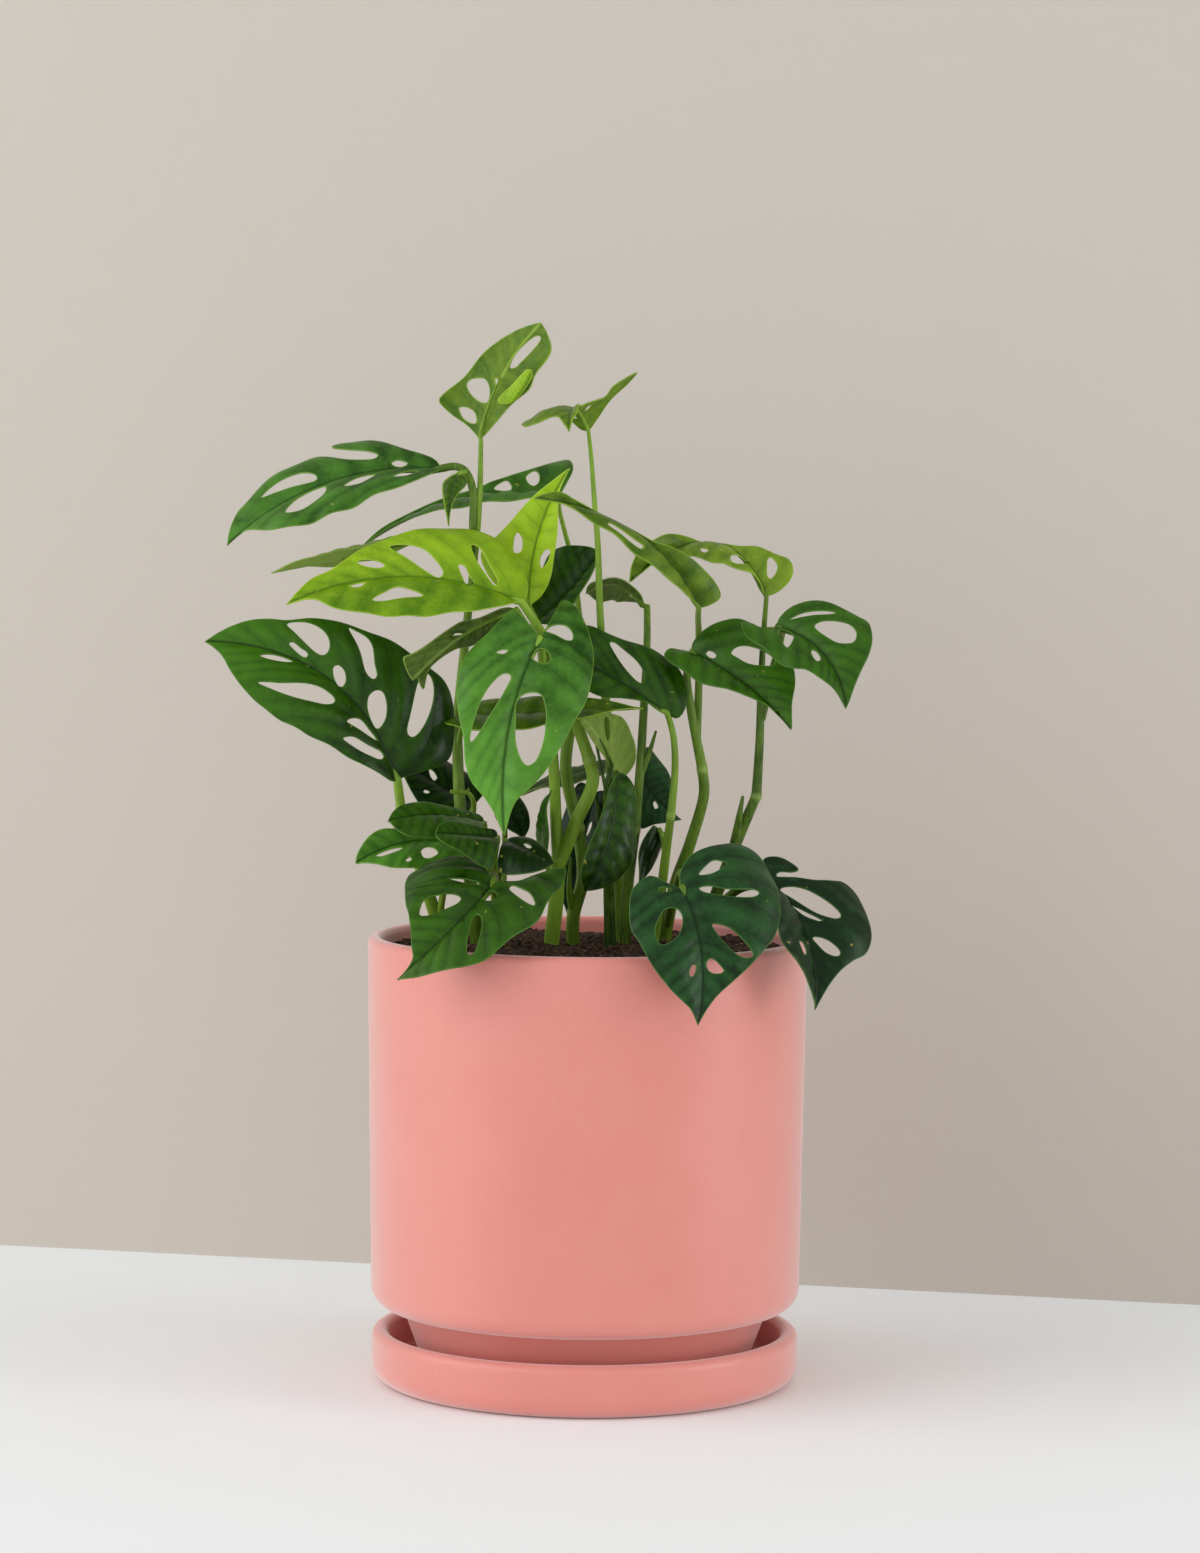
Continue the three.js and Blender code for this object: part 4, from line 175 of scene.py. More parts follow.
# The leaves. rib: base, middle and tip of the midrib. right and left are the halves as seen from the upper
# face, looking from base to tip: edge is where the half is widest, at is the share of the midrib there.
# margin and holes are drawn points (across, up); a half without a margin has the general one. shade is how
# light the leaf is within its green: at the base, at the tip, and how much more on its right half, if any.
LEAVES = {
    "leaf_crown": dict(
        green="fresh", shade=(0.25, 0.25),
        rib=[(-43.3, 383, 2), (-34.2, 409.5, -4), (-18.7, 430.5, -8)],
        right=dict(
            edge=(-58, 404, 8),
            margin=[
                (-48, 388.5), (-55, 393.5), (-60, 399), (-57, 403), (-50, 409), (-41, 419.5), (-30, 427),
                (-23, 429.7),
            ],
            holes=[
                [(-52, 396.1), (-49, 396.5), (-45.7, 394.4), (-45, 390.7), (-47, 390.1), (-50.4, 392.1)],
                [
                    (-49, 405.5), (-47, 407.9), (-41.6, 407.8), (-39.6, 403.5), (-40.3, 398.8),
                    (-43.6, 398.8), (-47, 401.5),
                ],
                [(-37.6, 407.9), (-36.6, 408.4), (-35.9, 406.2), (-37, 404.9)],
            ],
        ),
        left=dict(
            edge=(-21, 405, -20), at=0.45,
            margin=[
                (-38.5, 389), (-31, 397.5), (-24, 404), (-21.5, 409), (-17.5, 414.5), (-15, 420),
                (-16.3, 426),
            ],
            holes=[
                [
                    (-31.3, 412.6), (-29.4, 416.8), (-26.6, 420.4), (-22.3, 424.4), (-20.2, 425.3),
                    (-19, 424.4), (-20.2, 422), (-23.8, 417.9), (-27.5, 414.2), (-29, 412.7),
                ],
            ],
        ),
    ),
    "leaf_crown_edge": dict(
        green="fresh", shade=(0.4, 0.35),
        rib=[(0.2, 387.4, 11), (-5.6, 396.6, -8), (-7.8, 387, -28)],
        right=dict(
            edge=(-26, 391.5, -8),
            margin=[
                (-2, 387.3, 0.05), (-4, 388.6, 0.1), (-6.2, 390.6, 0.16), (-9.5, 394, 0.28),
                (-13.9, 396.2, 0.4), (-18.9, 395, 0.45), (-23.2, 394.4, 0.48), (-27.2, 391.8, 0.52),
                (-25.5, 389.2, 0.56), (-20.5, 390.3, 0.6), (-14.7, 392.7, 0.68), (-12, 392.6, 0.78),
                (-9.6, 389.6, 0.9),
            ],
            holes=[
                [(-6.4, 393.1, 0.3), (-4.7, 392.8, 0.28), (-4.5, 392, 0.25), (-6.2, 392.2, 0.27)],
            ],
        ),
        left=dict(
            edge=(20.5, 412, -6), arch=0,
            margin=[
                (0.2, 387.4, 0.05), (3, 390.6, 0.1), (6.6, 396, 0.18), (9.6, 399.8, 0.24),
                (12.6, 402.6, 0.27), (17, 406.8, 0.3), (19.6, 411, 0.36), (15, 408.6, 0.4),
                (10.2, 405.2, 0.4), (7.4, 401, 0.3), (4.4, 399.8, 0.32), (-0.4, 398.2, 0.38),
                (-3.2, 397.4, 0.5), (-4, 395.6, 0.75), (-6.3, 391.6, 0.88),
            ],
            holes=[
                [(-1.4, 395.4, 0.3), (0.4, 397.4, 0.32), (1.2, 397, 0.32), (-0.5, 395.3, 0.3)],
            ],
        ),
    ),
    "leaf_upper_left": dict(
        green="mid", shade=(0.1, 0.5),
        rib=[(-59, 371.9, -5), (-103, 367, -8), (-146.5, 341, -14)],
        right=dict(
            edge=(-92, 384, 14),
            margin=[
                (-60, 373.2), (-63, 376), (-75, 380), (-90, 383), (-99, 382.3), (-103.5, 380), (-97, 379.6),
                (-88, 378.5), (-85, 377), (-88, 375.4), (-98, 375.5), (-110.5, 376), (-120.5, 372.4),
                (-127.8, 368.2), (-133.4, 363.6), (-138, 358.4), (-142.8, 352.4),
            ],
            holes=[
                [(-79.5, 374), (-77, 375.2), (-73, 374), (-75, 372.8), (-78, 372.9)],
                [
                    (-132.4, 360.2), (-126, 365.8), (-117.5, 369.8), (-111.2, 369.6), (-109.8, 367.4),
                    (-113, 366), (-120, 364.2), (-127, 361.8),
                ],
            ],
        ),
        left=dict(
            edge=(-100, 354.5, -26),
            margin=[
                (-61.5, 370.6), (-70, 366.8), (-85, 361.5), (-95, 356.5), (-107, 352), (-118, 348.5),
                (-130, 347), (-141, 346.2),
            ],
            holes=[
                [(-79, 368.6), (-74, 370.5), (-69, 370.6), (-73, 369)],
                [(-98.7, 365.2), (-93, 368.2), (-86, 369.3), (-91, 366.2), (-97, 364.8)],
                [
                    (-122.5, 354), (-118, 359.5), (-107.8, 364.3), (-106, 363), (-108.5, 359.8),
                    (-116, 355.3),
                ],
            ],
        ),
    ),
    "leaf_small_hanging": dict(
        green="fresh", shade=(0.1, 0),
        rib=[(-52, 370, -10), (-56, 360, -15), (-56, 348.6, -17)],
        right=dict(
            edge=(-60, 364, -20),
            margin=[(-53.6, 369.8), (-56.4, 368.4), (-58.6, 366), (-58.7, 361.4), (-57.6, 354.6)],
        ),
        left=dict(
            edge=(-50, 364.5, -10.5),
            margin=[(-49.8, 369), (-48.8, 367), (-50, 364.4), (-53.2, 360.8), (-55, 356.5)],
        ),
    ),
    "leaf_back_left": dict(
        green="mid", shade=(0.3, 0.5),
        rib=[(-12, 360.5, 16), (-48, 359.5, 18), (-93, 339.5, 16)],
        right=dict(
            edge=(-18, 374, 26), at=0.2,
            margin=[
                (-9.5, 364), (-6, 371), (-7.5, 374.8), (-13, 374), (-20, 372.6), (-27, 370.4), (-34, 368),
                (-39, 366.5), (-46, 363.5), (-58, 360), (-72, 354), (-84, 347.5),
            ],
            holes=[
                [(-38, 363.8), (-34, 366.6), (-32, 366.3), (-31, 363.5), (-34.5, 362.9)],
                [(-25, 368.5), (-21.8, 371), (-19.9, 369.5), (-19.8, 366.5), (-21.7, 364.8), (-24, 365.8)],
            ],
        ),
        left=dict(edge=(-45, 357.5, 4), at=0.4, lobe=0.04, full=0),
    ),
    "leaf_far_left": dict(
        green="pale", shade=(1.05, 1.05),
        rib=[(-72, 342.5, 10), (-101, 335.6, 8), (-128.5, 330, 4)],
        right=dict(edge=(-102, 331.5, 24), lobe=0.04),
        left=dict(edge=(-102, 338, -4), lobe=0.04),
    ),
    "leaf_bright_left": dict(
        green="bright", shade=(0.35, 0.42, 0.22),
        rib=[(-27, 318, -22), (-76, 328, -32), (-122.5, 317, -42)],
        right=dict(
            edge=(-66, 348, -18), at=0.42,
            margin=[
                (-24.5, 322), (-26, 330), (-31, 338.5), (-38, 344), (-48, 346.7), (-58, 347.8),
                (-67, 347.2), (-76, 345.3), (-85, 342), (-93, 338.5), (-99, 334.5), (-105, 330.5),
                (-112, 327.3), (-117.5, 322.5),
            ],
            holes=[
                [
                    (-80.3, 340), (-75, 341), (-67, 339.3), (-62, 335), (-58.8, 330), (-60.5, 328),
                    (-65, 330), (-71, 334),
                ],
                [(-93.5, 334), (-90, 335), (-84, 333.8), (-82.5, 332.2), (-86, 331.6), (-91, 332.5)],
                [
                    (-52.6, 332.7), (-50.1, 332.3), (-48, 328.2), (-45.8, 325.2), (-47, 323.8),
                    (-49.4, 325.6), (-51.3, 329),
                ],
                [
                    (-47.5, 340.5), (-44, 339.5), (-39.5, 332), (-36.5, 326), (-38, 324.6), (-41.5, 329),
                    (-45.5, 335),
                ],
            ],
        ),
        left=dict(
            edge=(-78, 312, -46), at=0.5,
            margin=[
                (-35, 316), (-45, 314.5), (-55, 313.3), (-66, 312.2), (-76, 311.7), (-86, 312.8),
                (-95, 313.6), (-104, 315.9), (-112, 319),
            ],
            holes=[
                [(-96.8, 324), (-93.5, 325.4), (-90, 325.5), (-93, 323.7)],
                [
                    (-87.3, 319), (-82, 322), (-77.5, 323.8), (-72, 322.8), (-67, 320.4), (-75, 319.2),
                    (-84, 318.3),
                ],
            ],
        ),
    ),
    "leaf_bright_upright": dict(
        green="bright", shade=(0.95, 1),
        rib=[(-24, 316, 4), (-21.5, 340, 2), (-7.5, 372, -8)],
        right=dict(
            edge=(-12.8, 345, -4), at=0.5,
            margin=[
                (-19, 320), (-15.5, 327), (-13.5, 336), (-12.6, 345), (-12, 353), (-12, 360), (-11, 365),
            ],
            holes=[
                [(-18.8, 331.5), (-16, 334.5), (-15, 338.5), (-17, 339), (-19.4, 335.5)],
            ],
        ),
        left=dict(
            edge=(-38, 345, 6), at=0.5,
            margin=[
                (-29, 318), (-36, 323.5), (-41, 330), (-43.5, 337), (-40.5, 342), (-37, 344.5),
                (-32, 349.5), (-27, 355.5), (-21.5, 361.3), (-14, 367.2),
            ],
            holes=[
                [(-30, 338), (-29.8, 343.5), (-28.3, 346), (-26.5, 343), (-27, 338.5)],
            ],
        ),
    ),
    "leaf_behind_middle": dict(
        green="dark", shade=(0.38, 0.42),
        rib=[(-22.5, 308.5, 14), (-8, 322, 16), (4.2, 337.5, 16)],
        right=dict(
            edge=(-3, 319.5, 6),
            margin=[(-15, 308.5), (-8.5, 313), (-4.6, 318.6), (0.2, 326.7), (3.2, 333.5)],
        ),
        left=dict(
            edge=(-12, 338, 24),
            margin=[
                (-24.5, 315), (-23, 323), (-20.1, 328.1), (-16, 336.2), (-10, 340.2), (-2.5, 340.6),
                (2.4, 339.6),
            ],
        ),
    ),
    "leaf_under_grey": dict(
        green="pale", shade=(0.32, 0.32),
        rib=[(24, 316, 30), (10, 325.3, 31), (-1, 321.5, 34)],
        right=dict(
            edge=(8, 317.5, 44),
            margin=[(21, 317.3), (15, 318.2), (8, 318.3), (3, 318.8)],
            holes=[
                [(17, 320.6), (18.5, 321.4), (20.3, 320), (19, 319.3)],
            ],
        ),
        left=dict(
            edge=(10, 329.2, 22),
            margin=[
                (25.4, 316.6, -0.1), (27.2, 320, -0.08), (24.2, 324.7, 0.1), (19.5, 327.8), (12, 329.1),
                (5, 328.2), (1.5, 325.5),
            ],
        ),
    ),
    "leaf_centre_right": dict(
        green="fresh", shade=(0.25, 0.2),
        rib=[(45, 315.5, -18), (29.5, 337.6, -24), (-22, 360, -32)],
        right=dict(
            edge=(50, 326, -18), at=0.16,
            margin=[
                (48.5, 316.2), (53.6, 319.8), (52, 325), (47.5, 330.5), (41, 336.3), (33, 340.6),
                (26, 342.8), (15, 346.6), (4, 351.8), (-4, 358.7), (-11, 362.4), (-17, 361.9),
            ],
        ),
        left=dict(
            edge=(30, 329, -34), at=0.2,
            margin=[
                (41, 319.5), (36, 324.5), (30, 329.5), (23, 334.3), (17.5, 339), (10, 345.3), (2, 350.2),
                (-6, 355.5), (-13, 358.5),
            ],
            holes=[
                [
                    (21.6, 339.3), (16, 343.2), (9.6, 347.6), (8, 349.2), (9.4, 349.6), (13, 347.4),
                    (18.2, 343.8), (22.6, 340.6),
                ],
            ],
        ),
    ),
    "leaf_pale_right": dict(
        green="fresh", shade=(0.72, 0.25),
        rib=[(72.4, 320, 4), (57.5, 340, 2), (17, 326, -10)],
        right=dict(
            edge=(85, 332, 6), at=0.06, turn=150,
            margin=[
                (76.5, 321.5), (81, 325.2), (83.2, 330), (81.5, 335), (76, 337.3), (69, 340.2),
                (61, 340.6), (53, 341.6), (46, 342.2), (37, 345), (29, 344.3), (21, 339), (17.5, 332),
            ],
            holes=[
                [
                    (72.6, 331), (72.9, 334.8), (74.6, 335.8), (76.8, 332.5), (76, 329.2), (74, 327.2),
                    (72.8, 328.6),
                ],
            ],
        ),
        left=dict(
            edge=(54, 332.6, -12), at=0.35,
            margin=[
                (71.5, 323), (67.5, 328.5), (61, 331.3), (52, 333.6), (43, 336.2), (34, 336), (26, 333),
                (20, 329.5),
            ],
            holes=[
                [
                    (57.5, 335.3), (59, 336.9), (64, 336.8), (67, 334.7), (66, 333.4), (62, 333.3),
                    (59, 333.8),
                ],
                [(45.4, 339), (47, 339.8), (49, 339), (47.2, 337.9)],
            ],
        ),
    ),
    "leaf_right_middle": dict(
        green="dark", shade=(0.6, 0.65),
        rib=[(42, 297.6, -2), (57, 289.5, -8), (83, 266, -16)],
        right=dict(
            edge=(58, 281.5, -18),
            margin=[
                (37.5, 298.3), (33.5, 299), (31, 296.5), (33, 293.5), (36.5, 290.8), (41, 288),
                (46, 285.2), (52, 283.2), (60, 281.3), (70, 277.3), (77, 273.5),
            ],
        ),
        left=dict(
            edge=(70, 309, 2),
            margin=[
                (42.5, 301), (45, 304.5), (50, 308.3), (56, 310.3), (62, 310.5), (70, 307), (78, 300),
                (83, 292.5), (84.2, 285), (82.9, 276),
            ],
            holes=[
                [(47.8, 296.9), (48.9, 298), (51, 297.4), (52.2, 296), (51.6, 295.1), (49.6, 295.3)],
                [
                    (58.2, 297), (60.5, 299.5), (65, 300), (71, 298), (76, 294), (75, 292), (70, 292),
                    (65, 292.9), (61, 295),
                ],
            ],
        ),
    ),
    "leaf_right_front": dict(
        green="dark", shade=(0.62, 0.52),
        rib=[(77, 308, -18), (95.5, 297, -28), (105, 274.5, -36)],
        right=dict(
            edge=(82, 291.5, -34),
            margin=[
                (74, 307.5), (70, 307.5), (66, 309.2), (62.3, 309.3), (63, 306), (66, 302.5), (71, 299),
                (75.5, 295), (80, 291.6), (84, 290.5), (88.5, 290.3), (95, 286.5), (100, 282.3),
                (103, 277.8),
            ],
            holes=[
                [
                    (77.3, 304.5), (78.4, 306.6), (81, 306.3), (83.4, 304), (82.5, 301), (81, 299.4),
                    (79.5, 300.6),
                ],
                [
                    (90.6, 297.7), (91.6, 298.3), (92.8, 297.8), (94.5, 295.2), (94, 293.9),
                    (92.6, 293.8), (91, 296),
                ],
            ],
        ),
        left=dict(
            edge=(112, 310, -20),
            margin=[
                (77, 310), (79, 312.8), (83, 316), (90, 318), (97, 317.5), (104, 315), (110, 312),
                (113.8, 309.5), (115.3, 303.5), (114.3, 297), (110.8, 289.5), (108, 282.5),
            ],
            holes=[
                [
                    (92, 308), (94.5, 309.8), (100, 310.2), (106, 309), (108.8, 305.8), (108.3, 302),
                    (105.5, 300.9), (101, 301.4), (97, 303.6), (93.5, 306),
                ],
                [(82, 310.6), (86.5, 313), (93, 314), (100.5, 313.6), (97, 312.7), (88, 311.8)],
            ],
        ),
    ),
    "leaf_dark_centre": dict(
        green="dark", shade=(0.4, 0.4),
        rib=[(32, 273, -8), (12, 286, -8), (-12, 297.5, 6)],
        right=dict(
            edge=(22, 301, 0),
            margin=[
                (35.3, 270.2), (38.4, 272.4), (40.6, 279.5), (39, 286), (35, 292.5), (28, 297.6),
                (18, 301.3), (8, 305), (-1.5, 308.3), (-5.5, 302.5),
            ],
            holes=[
                [
                    (8.8, 301), (10.8, 301.5), (15, 298), (20, 293.5), (22.8, 289), (22.8, 285.8),
                    (21.5, 284.9), (18.5, 287), (13.5, 293),
                ],
            ],
        ),
        left=dict(
            edge=(8, 279, -14),
            margin=[(31, 273.5), (24, 277), (15, 278.7), (5, 279.4), (-4, 284), (-10, 291)],
        ),
    ),
    "leaf_front_main": dict(
        # Its base is painted darker than its tip, partly as painted shade where the blade folds and lies in
        # shadow
        green="mid", shade=(0.25, 0.95, 0.06),
        rib=[(-19.5, 303, -34), (-32.5, 265, -52), (-34, 222.5, -58)],
        right=dict(
            edge=(-53, 280, -48), at=0.3,
            margin=[
                (-23.2, 307.8), (-27.5, 312.8), (-30.3, 315), (-34.5, 311.2), (-40, 305.6), (-46, 300.5),
                (-50, 295), (-52.7, 287), (-53.3, 280), (-52.3, 271), (-50.5, 262), (-50, 253),
                (-47.5, 245), (-42, 238), (-38, 231.5),
            ],
            holes=[
                [(-37.2, 297.4), (-34.8, 298.5), (-32.4, 298.2), (-34.5, 296.7)],
                [
                    (-31.3, 287), (-33.7, 288.8), (-37.5, 286.3), (-42, 280.5), (-45.2, 273),
                    (-47.6, 264.5), (-47.5, 261), (-44.8, 264), (-40.5, 271), (-35.5, 279),
                ],
            ],
        ),
        left=dict(
            edge=(1, 284, -42), at=0.26,
            margin=[
                (-18, 309), (-15, 315), (-10, 318.3), (-5, 316), (-1.8, 310.5), (1, 303), (2.4, 295.5),
                (1.6, 287.5), (0, 280), (-2.2, 274.5), (-6, 268.5), (-10, 260.5), (-14, 254),
                (-18.5, 247.5), (-24, 241.8), (-30, 235.5),
            ],
            holes=[
                [
                    (-17, 306.2), (-14, 308.3), (-9.5, 308.3), (-6.5, 305.5), (-6.4, 302.5), (-9, 302.4),
                    (-13, 304.4),
                ],
                [(-23.2, 295.5), (-20.5, 298.6), (-17, 298.2), (-15, 295), (-16.2, 293), (-19, 292.8)],
                [
                    (-29, 277), (-26, 280.3), (-21, 281), (-18.2, 278.5), (-17, 271), (-18, 262),
                    (-20.5, 254.5), (-24, 251.4), (-27, 253.7), (-29.3, 261), (-29.3, 270),
                ],
            ],
        ),
    ),
    "leaf_left_folded": dict(
        green="pale", shade=(0.15, 0.3),
        rib=[(-29, 315, -6), (-54, 302.2, -24), (-71.6, 286, -34)],
        right=dict(
            edge=(-50, 297, -20), at=0.45,
            margin=[
                (-32.5, 310.6), (-35.5, 307.2), (-41, 302.9), (-48, 299.6), (-53.8, 298.6),
                (-60.6, 294.4), (-64.4, 290.6), (-66.9, 282.4), (-69.3, 287.2),
            ],
        ),
        left=dict(
            edge=(-60.5, 313.5, -36), at=0.45,
            margin=[
                (-34, 315.6), (-43.7, 311.6), (-51, 310), (-55.2, 307.6), (-65.5, 300.4), (-70.7, 297),
                (-74.6, 295.4), (-74.4, 292.4), (-72.8, 288.4),
            ],
            holes=[
                [(-50.4, 304.1), (-51.6, 305.1), (-54, 305), (-54.8, 304.2)],
            ],
        ),
    ),
    "leaf_left_large": dict(
        green="dark", shade=(0.12, 1),
        rib=[(-77.5, 245.5, -12), (-105, 286.5, -20), (-155.5, 302, -24)],
        right=dict(
            edge=(-78, 303, -8), at=0.42,
            margin=[
                (-73, 247.3), (-66, 249.5), (-60, 251.3), (-56.3, 255), (-54.8, 262), (-54, 270),
                (-55.3, 278.5), (-59, 286), (-65, 291.5), (-72, 297), (-80, 302), (-89, 305.5), (-98, 309),
                (-105, 310.5), (-113, 311.2), (-122, 310.5), (-131, 311), (-139, 310), (-147, 307),
            ],
            holes=[
                [
                    (-73.5, 266), (-71.5, 263), (-68, 265.5), (-64, 273.5), (-62.8, 281.5), (-64, 287.5),
                    (-66.5, 288.7), (-69.3, 284.5), (-71.3, 276.5),
                ],
                [
                    (-85.5, 266.3), (-82.5, 270), (-81.8, 276), (-83.2, 281), (-86, 282), (-89, 279.6),
                    (-89.5, 275), (-88, 270),
                ],
                [
                    (-97, 307), (-94, 306), (-90, 303.5), (-87.7, 300), (-86.7, 293), (-85.7, 288),
                    (-87.5, 286.6), (-90.5, 290), (-93, 299),
                ],
                [
                    (-103.5, 291), (-101.5, 292.2), (-99, 290), (-98.4, 286), (-99.7, 283.4),
                    (-101.2, 283.6), (-103, 287),
                ],
                [
                    (-122, 308.9), (-115, 309.5), (-109, 307.3), (-105.5, 303.5), (-105, 299),
                    (-107, 296.4), (-110, 297), (-114, 300.5), (-119, 305.5),
                ],
                [
                    (-121.3, 300.8), (-119.5, 301.4), (-116.5, 299), (-114, 297.3), (-114, 295.7),
                    (-115.7, 295.6), (-118.7, 298),
                ],
            ],
        ),
        left=dict(
            edge=(-121, 266, -34), at=0.42,
            margin=[
                (-80, 245), (-86, 248.8), (-92, 252), (-98, 255), (-106, 260), (-115, 264.5), (-125, 270),
                (-133, 275.5), (-140, 283), (-145, 289.5), (-149, 296.5),
            ],
            holes=[
                [
                    (-134, 285.2), (-125, 284.9), (-115, 284.9), (-109, 283.4), (-104, 280),
                    (-102.8, 277.7), (-104.5, 276.4), (-109, 276.6), (-117, 278.6), (-127, 281.7),
                ],
                [
                    (-133.3, 296), (-129, 296.6), (-124, 295.6), (-119.8, 293.7), (-123, 293.4),
                    (-129, 294.4),
                ],
                [
                    (-98, 269.2), (-95.3, 270.6), (-92, 269.8), (-88.5, 265.5), (-85.3, 261.5),
                    (-88, 262.6), (-93, 266),
                ],
                [
                    (-99.6, 262), (-97.5, 263.1), (-94.5, 262.7), (-89.5, 259.8), (-84.3, 257), (-83, 255),
                    (-84.3, 253.9), (-87, 254.6), (-93, 257.6),
                ],
            ],
        ),
    ),
    "leaf_low_left": dict(
        green="mid", shade=(0.45, 0.6),
        rib=[(-50, 219, -4), (-72, 220.3, -10), (-94.5, 211.5, -20)],
        right=dict(
            edge=(-76, 226.5, -10),
            margin=[
                (-52, 222), (-60, 223.5), (-70, 224.5), (-78, 225.6), (-84, 225.4), (-88.5, 223),
                (-92, 219), (-94.2, 214.5),
            ],
        ),
        left=dict(
            edge=(-70, 209.3, -22),
            margin=[(-50, 215), (-57, 212), (-65, 210), (-72, 209.2), (-80, 210), (-88, 211.5)],
            holes=[
                [(-86.5, 214.7), (-82, 216.8), (-77, 217.9), (-75.5, 217.5), (-78, 216.2), (-84, 214.2)],
                [(-74.4, 212.3), (-72.5, 214), (-71.7, 213), (-73, 211.8)],
                [
                    (-68, 216.3), (-66.3, 218), (-63.5, 218), (-61.4, 216.5), (-61.3, 215.2), (-64, 213.8),
                    (-67, 214),
                ],
            ],
        ),
    ),
    "leaf_low_left_top": dict(
        green="dark", shade=(0.45, 0.55),
        rib=[(-42, 228, -14), (-62, 231.5, -26), (-81.5, 229, -38)],
        right=dict(
            edge=(-64, 238, -12),
            margin=[(-44, 231), (-52, 233.6), (-60, 235.3), (-68, 236.4), (-75, 235.4), (-79.3, 232.5)],
        ),
        left=dict(
            edge=(-62, 222, -42),
            margin=[(-44, 225), (-52, 222.4), (-60, 221.6), (-67, 222.4), (-73, 222.8), (-78, 225.3)],
        ),
    ),
    "leaf_low_round": dict(
        green="dark", shade=(0.15, 0.4),
        rib=[(-36.5, 222, -38), (-49, 223.3, -46), (-62, 224, -54)],
        right=dict(
            edge=(-50, 229.5, -36),
            margin=[(-38, 225), (-43, 226), (-48, 228), (-53, 229), (-58, 228.2), (-61.4, 226.3)],
        ),
        left=dict(
            edge=(-46, 212, -58),
            margin=[
                (-38, 214), (-39.5, 208.8), (-43, 210.2), (-48, 214), (-53, 216.7), (-58, 219.2),
                (-61.5, 222),
            ],
        ),
    ),
    "leaf_low_centre": dict(
        green="dark", shade=(-0.05, -0.05),
        rib=[(-33.5, 221, -36), (-23, 216.5, -46), (-13.5, 211.5, -52)],
        right=dict(
            edge=(-29, 207, -56),
            margin=[(-36, 216), (-36.5, 208.6), (-30, 206.8), (-23, 207.4), (-17, 209.4)],
        ),
        left=dict(
            edge=(-20, 220, -38),
            margin=[(-30, 222.2), (-24, 221.6), (-19, 218.8), (-15.5, 215)],
            holes=[
                [(-26.2, 219.6), (-24.3, 219.3), (-22.8, 218), (-24.5, 217.9)],
            ],
        ),
    ),
    "leaf_rim_left": dict(
        green="dark", shade=(0.3, 0.65),
        rib=[(-38.5, 203.5, -56), (-55, 185, -78), (-78, 164, -88)],
        right=dict(
            edge=(-73, 198, -60),
            margin=[
                (-40, 206.5), (-43, 210.5), (-49, 213.5), (-56, 214.3), (-62, 213), (-67.5, 210.8),
                (-72, 206.7), (-74.6, 202), (-74.3, 196), (-73, 190), (-72.2, 184), (-72, 178),
                (-71.5, 173), (-74, 168.5),
            ],
            holes=[
                [
                    (-68.6, 190.5), (-67.5, 195.3), (-64, 197.5), (-58, 198.9), (-53.7, 198.6),
                    (-51.8, 197), (-53.5, 194.8), (-59, 192.3), (-64.5, 190.3),
                ],
                [(-57, 205.1), (-50, 204.9), (-45, 203.7), (-43.8, 202.9), (-47, 202.7), (-52, 203.8)],
            ],
        ),
        left=dict(
            edge=(-29, 182, -94), at=0.35,
            margin=[
                (-34, 204), (-28, 204.3), (-22, 206.8), (-16, 208.4), (-9, 208.4), (-10.5, 203.5),
                (-13.5, 199), (-17, 194), (-20, 189.3), (-25, 185), (-30, 181.2), (-36, 176.5),
                (-42, 172.4), (-50, 169.5), (-57, 168), (-64, 166.3), (-71, 164.7),
            ],
            holes=[
                [
                    (-31, 202.3), (-26.5, 200.6), (-23.3, 198.5), (-21.6, 194.3), (-25, 195.3), (-29, 198),
                    (-31.8, 200.5),
                ],
                [
                    (-43.5, 197.3), (-42.3, 199.3), (-39.9, 200.2), (-37.8, 199.5), (-37, 197.6),
                    (-39, 196.2), (-41.7, 196.2),
                ],
                [
                    (-46.8, 189.3), (-45, 190.5), (-43.4, 189), (-43.2, 185), (-44.4, 180), (-46, 175.8),
                    (-48, 174), (-49.4, 175.5), (-49.2, 180), (-48, 185.5),
                ],
            ],
        ),
    ),
    "leaf_hanging_dark": dict(
        green="dark", shade=(0.3, 0.2),
        rib=[(11.5, 248.5, -12), (9.5, 225, -22), (-1.5, 200, -28)],
        right=dict(
            edge=(2, 222, -30),
            margin=[(9, 243), (7, 236), (4.5, 229), (2, 222.5), (-0.5, 216.5), (-2.8, 210), (-2.9, 205)],
        ),
        left=dict(
            edge=(20, 226, -14),
            margin=[
                (15, 247.8), (18.5, 243), (19.8, 235), (19.7, 224), (18.4, 214), (14, 206.5), (8, 202.3),
                (3, 200.6),
            ],
        ),
    ),
    "leaf_rim_right": dict(
        green="blue", shade=(0.22, 0.25),
        rib=[(38.5, 201, -78), (46, 176, -91), (45, 145, -98)],
        right=dict(
            edge=(18, 184, -92), at=0.3,
            margin=[
                (33, 203), (29, 205.3), (25, 206.3), (21, 204), (18.4, 201), (17, 196), (16.8, 190),
                (18, 184), (21, 178.5), (24, 173.5), (28, 167), (33, 160.5), (38, 155.5), (42, 151.5),
            ],
            holes=[
                [(28.8, 201.2), (31, 201.6), (34, 200.7), (33, 199.8), (29.5, 200)],
                [
                    (30, 191), (32.5, 193), (36, 193), (38.2, 190.5), (38.3, 186), (36.3, 181.5),
                    (32.5, 178.7), (29.5, 178.3), (27.6, 181), (27.8, 186),
                ],
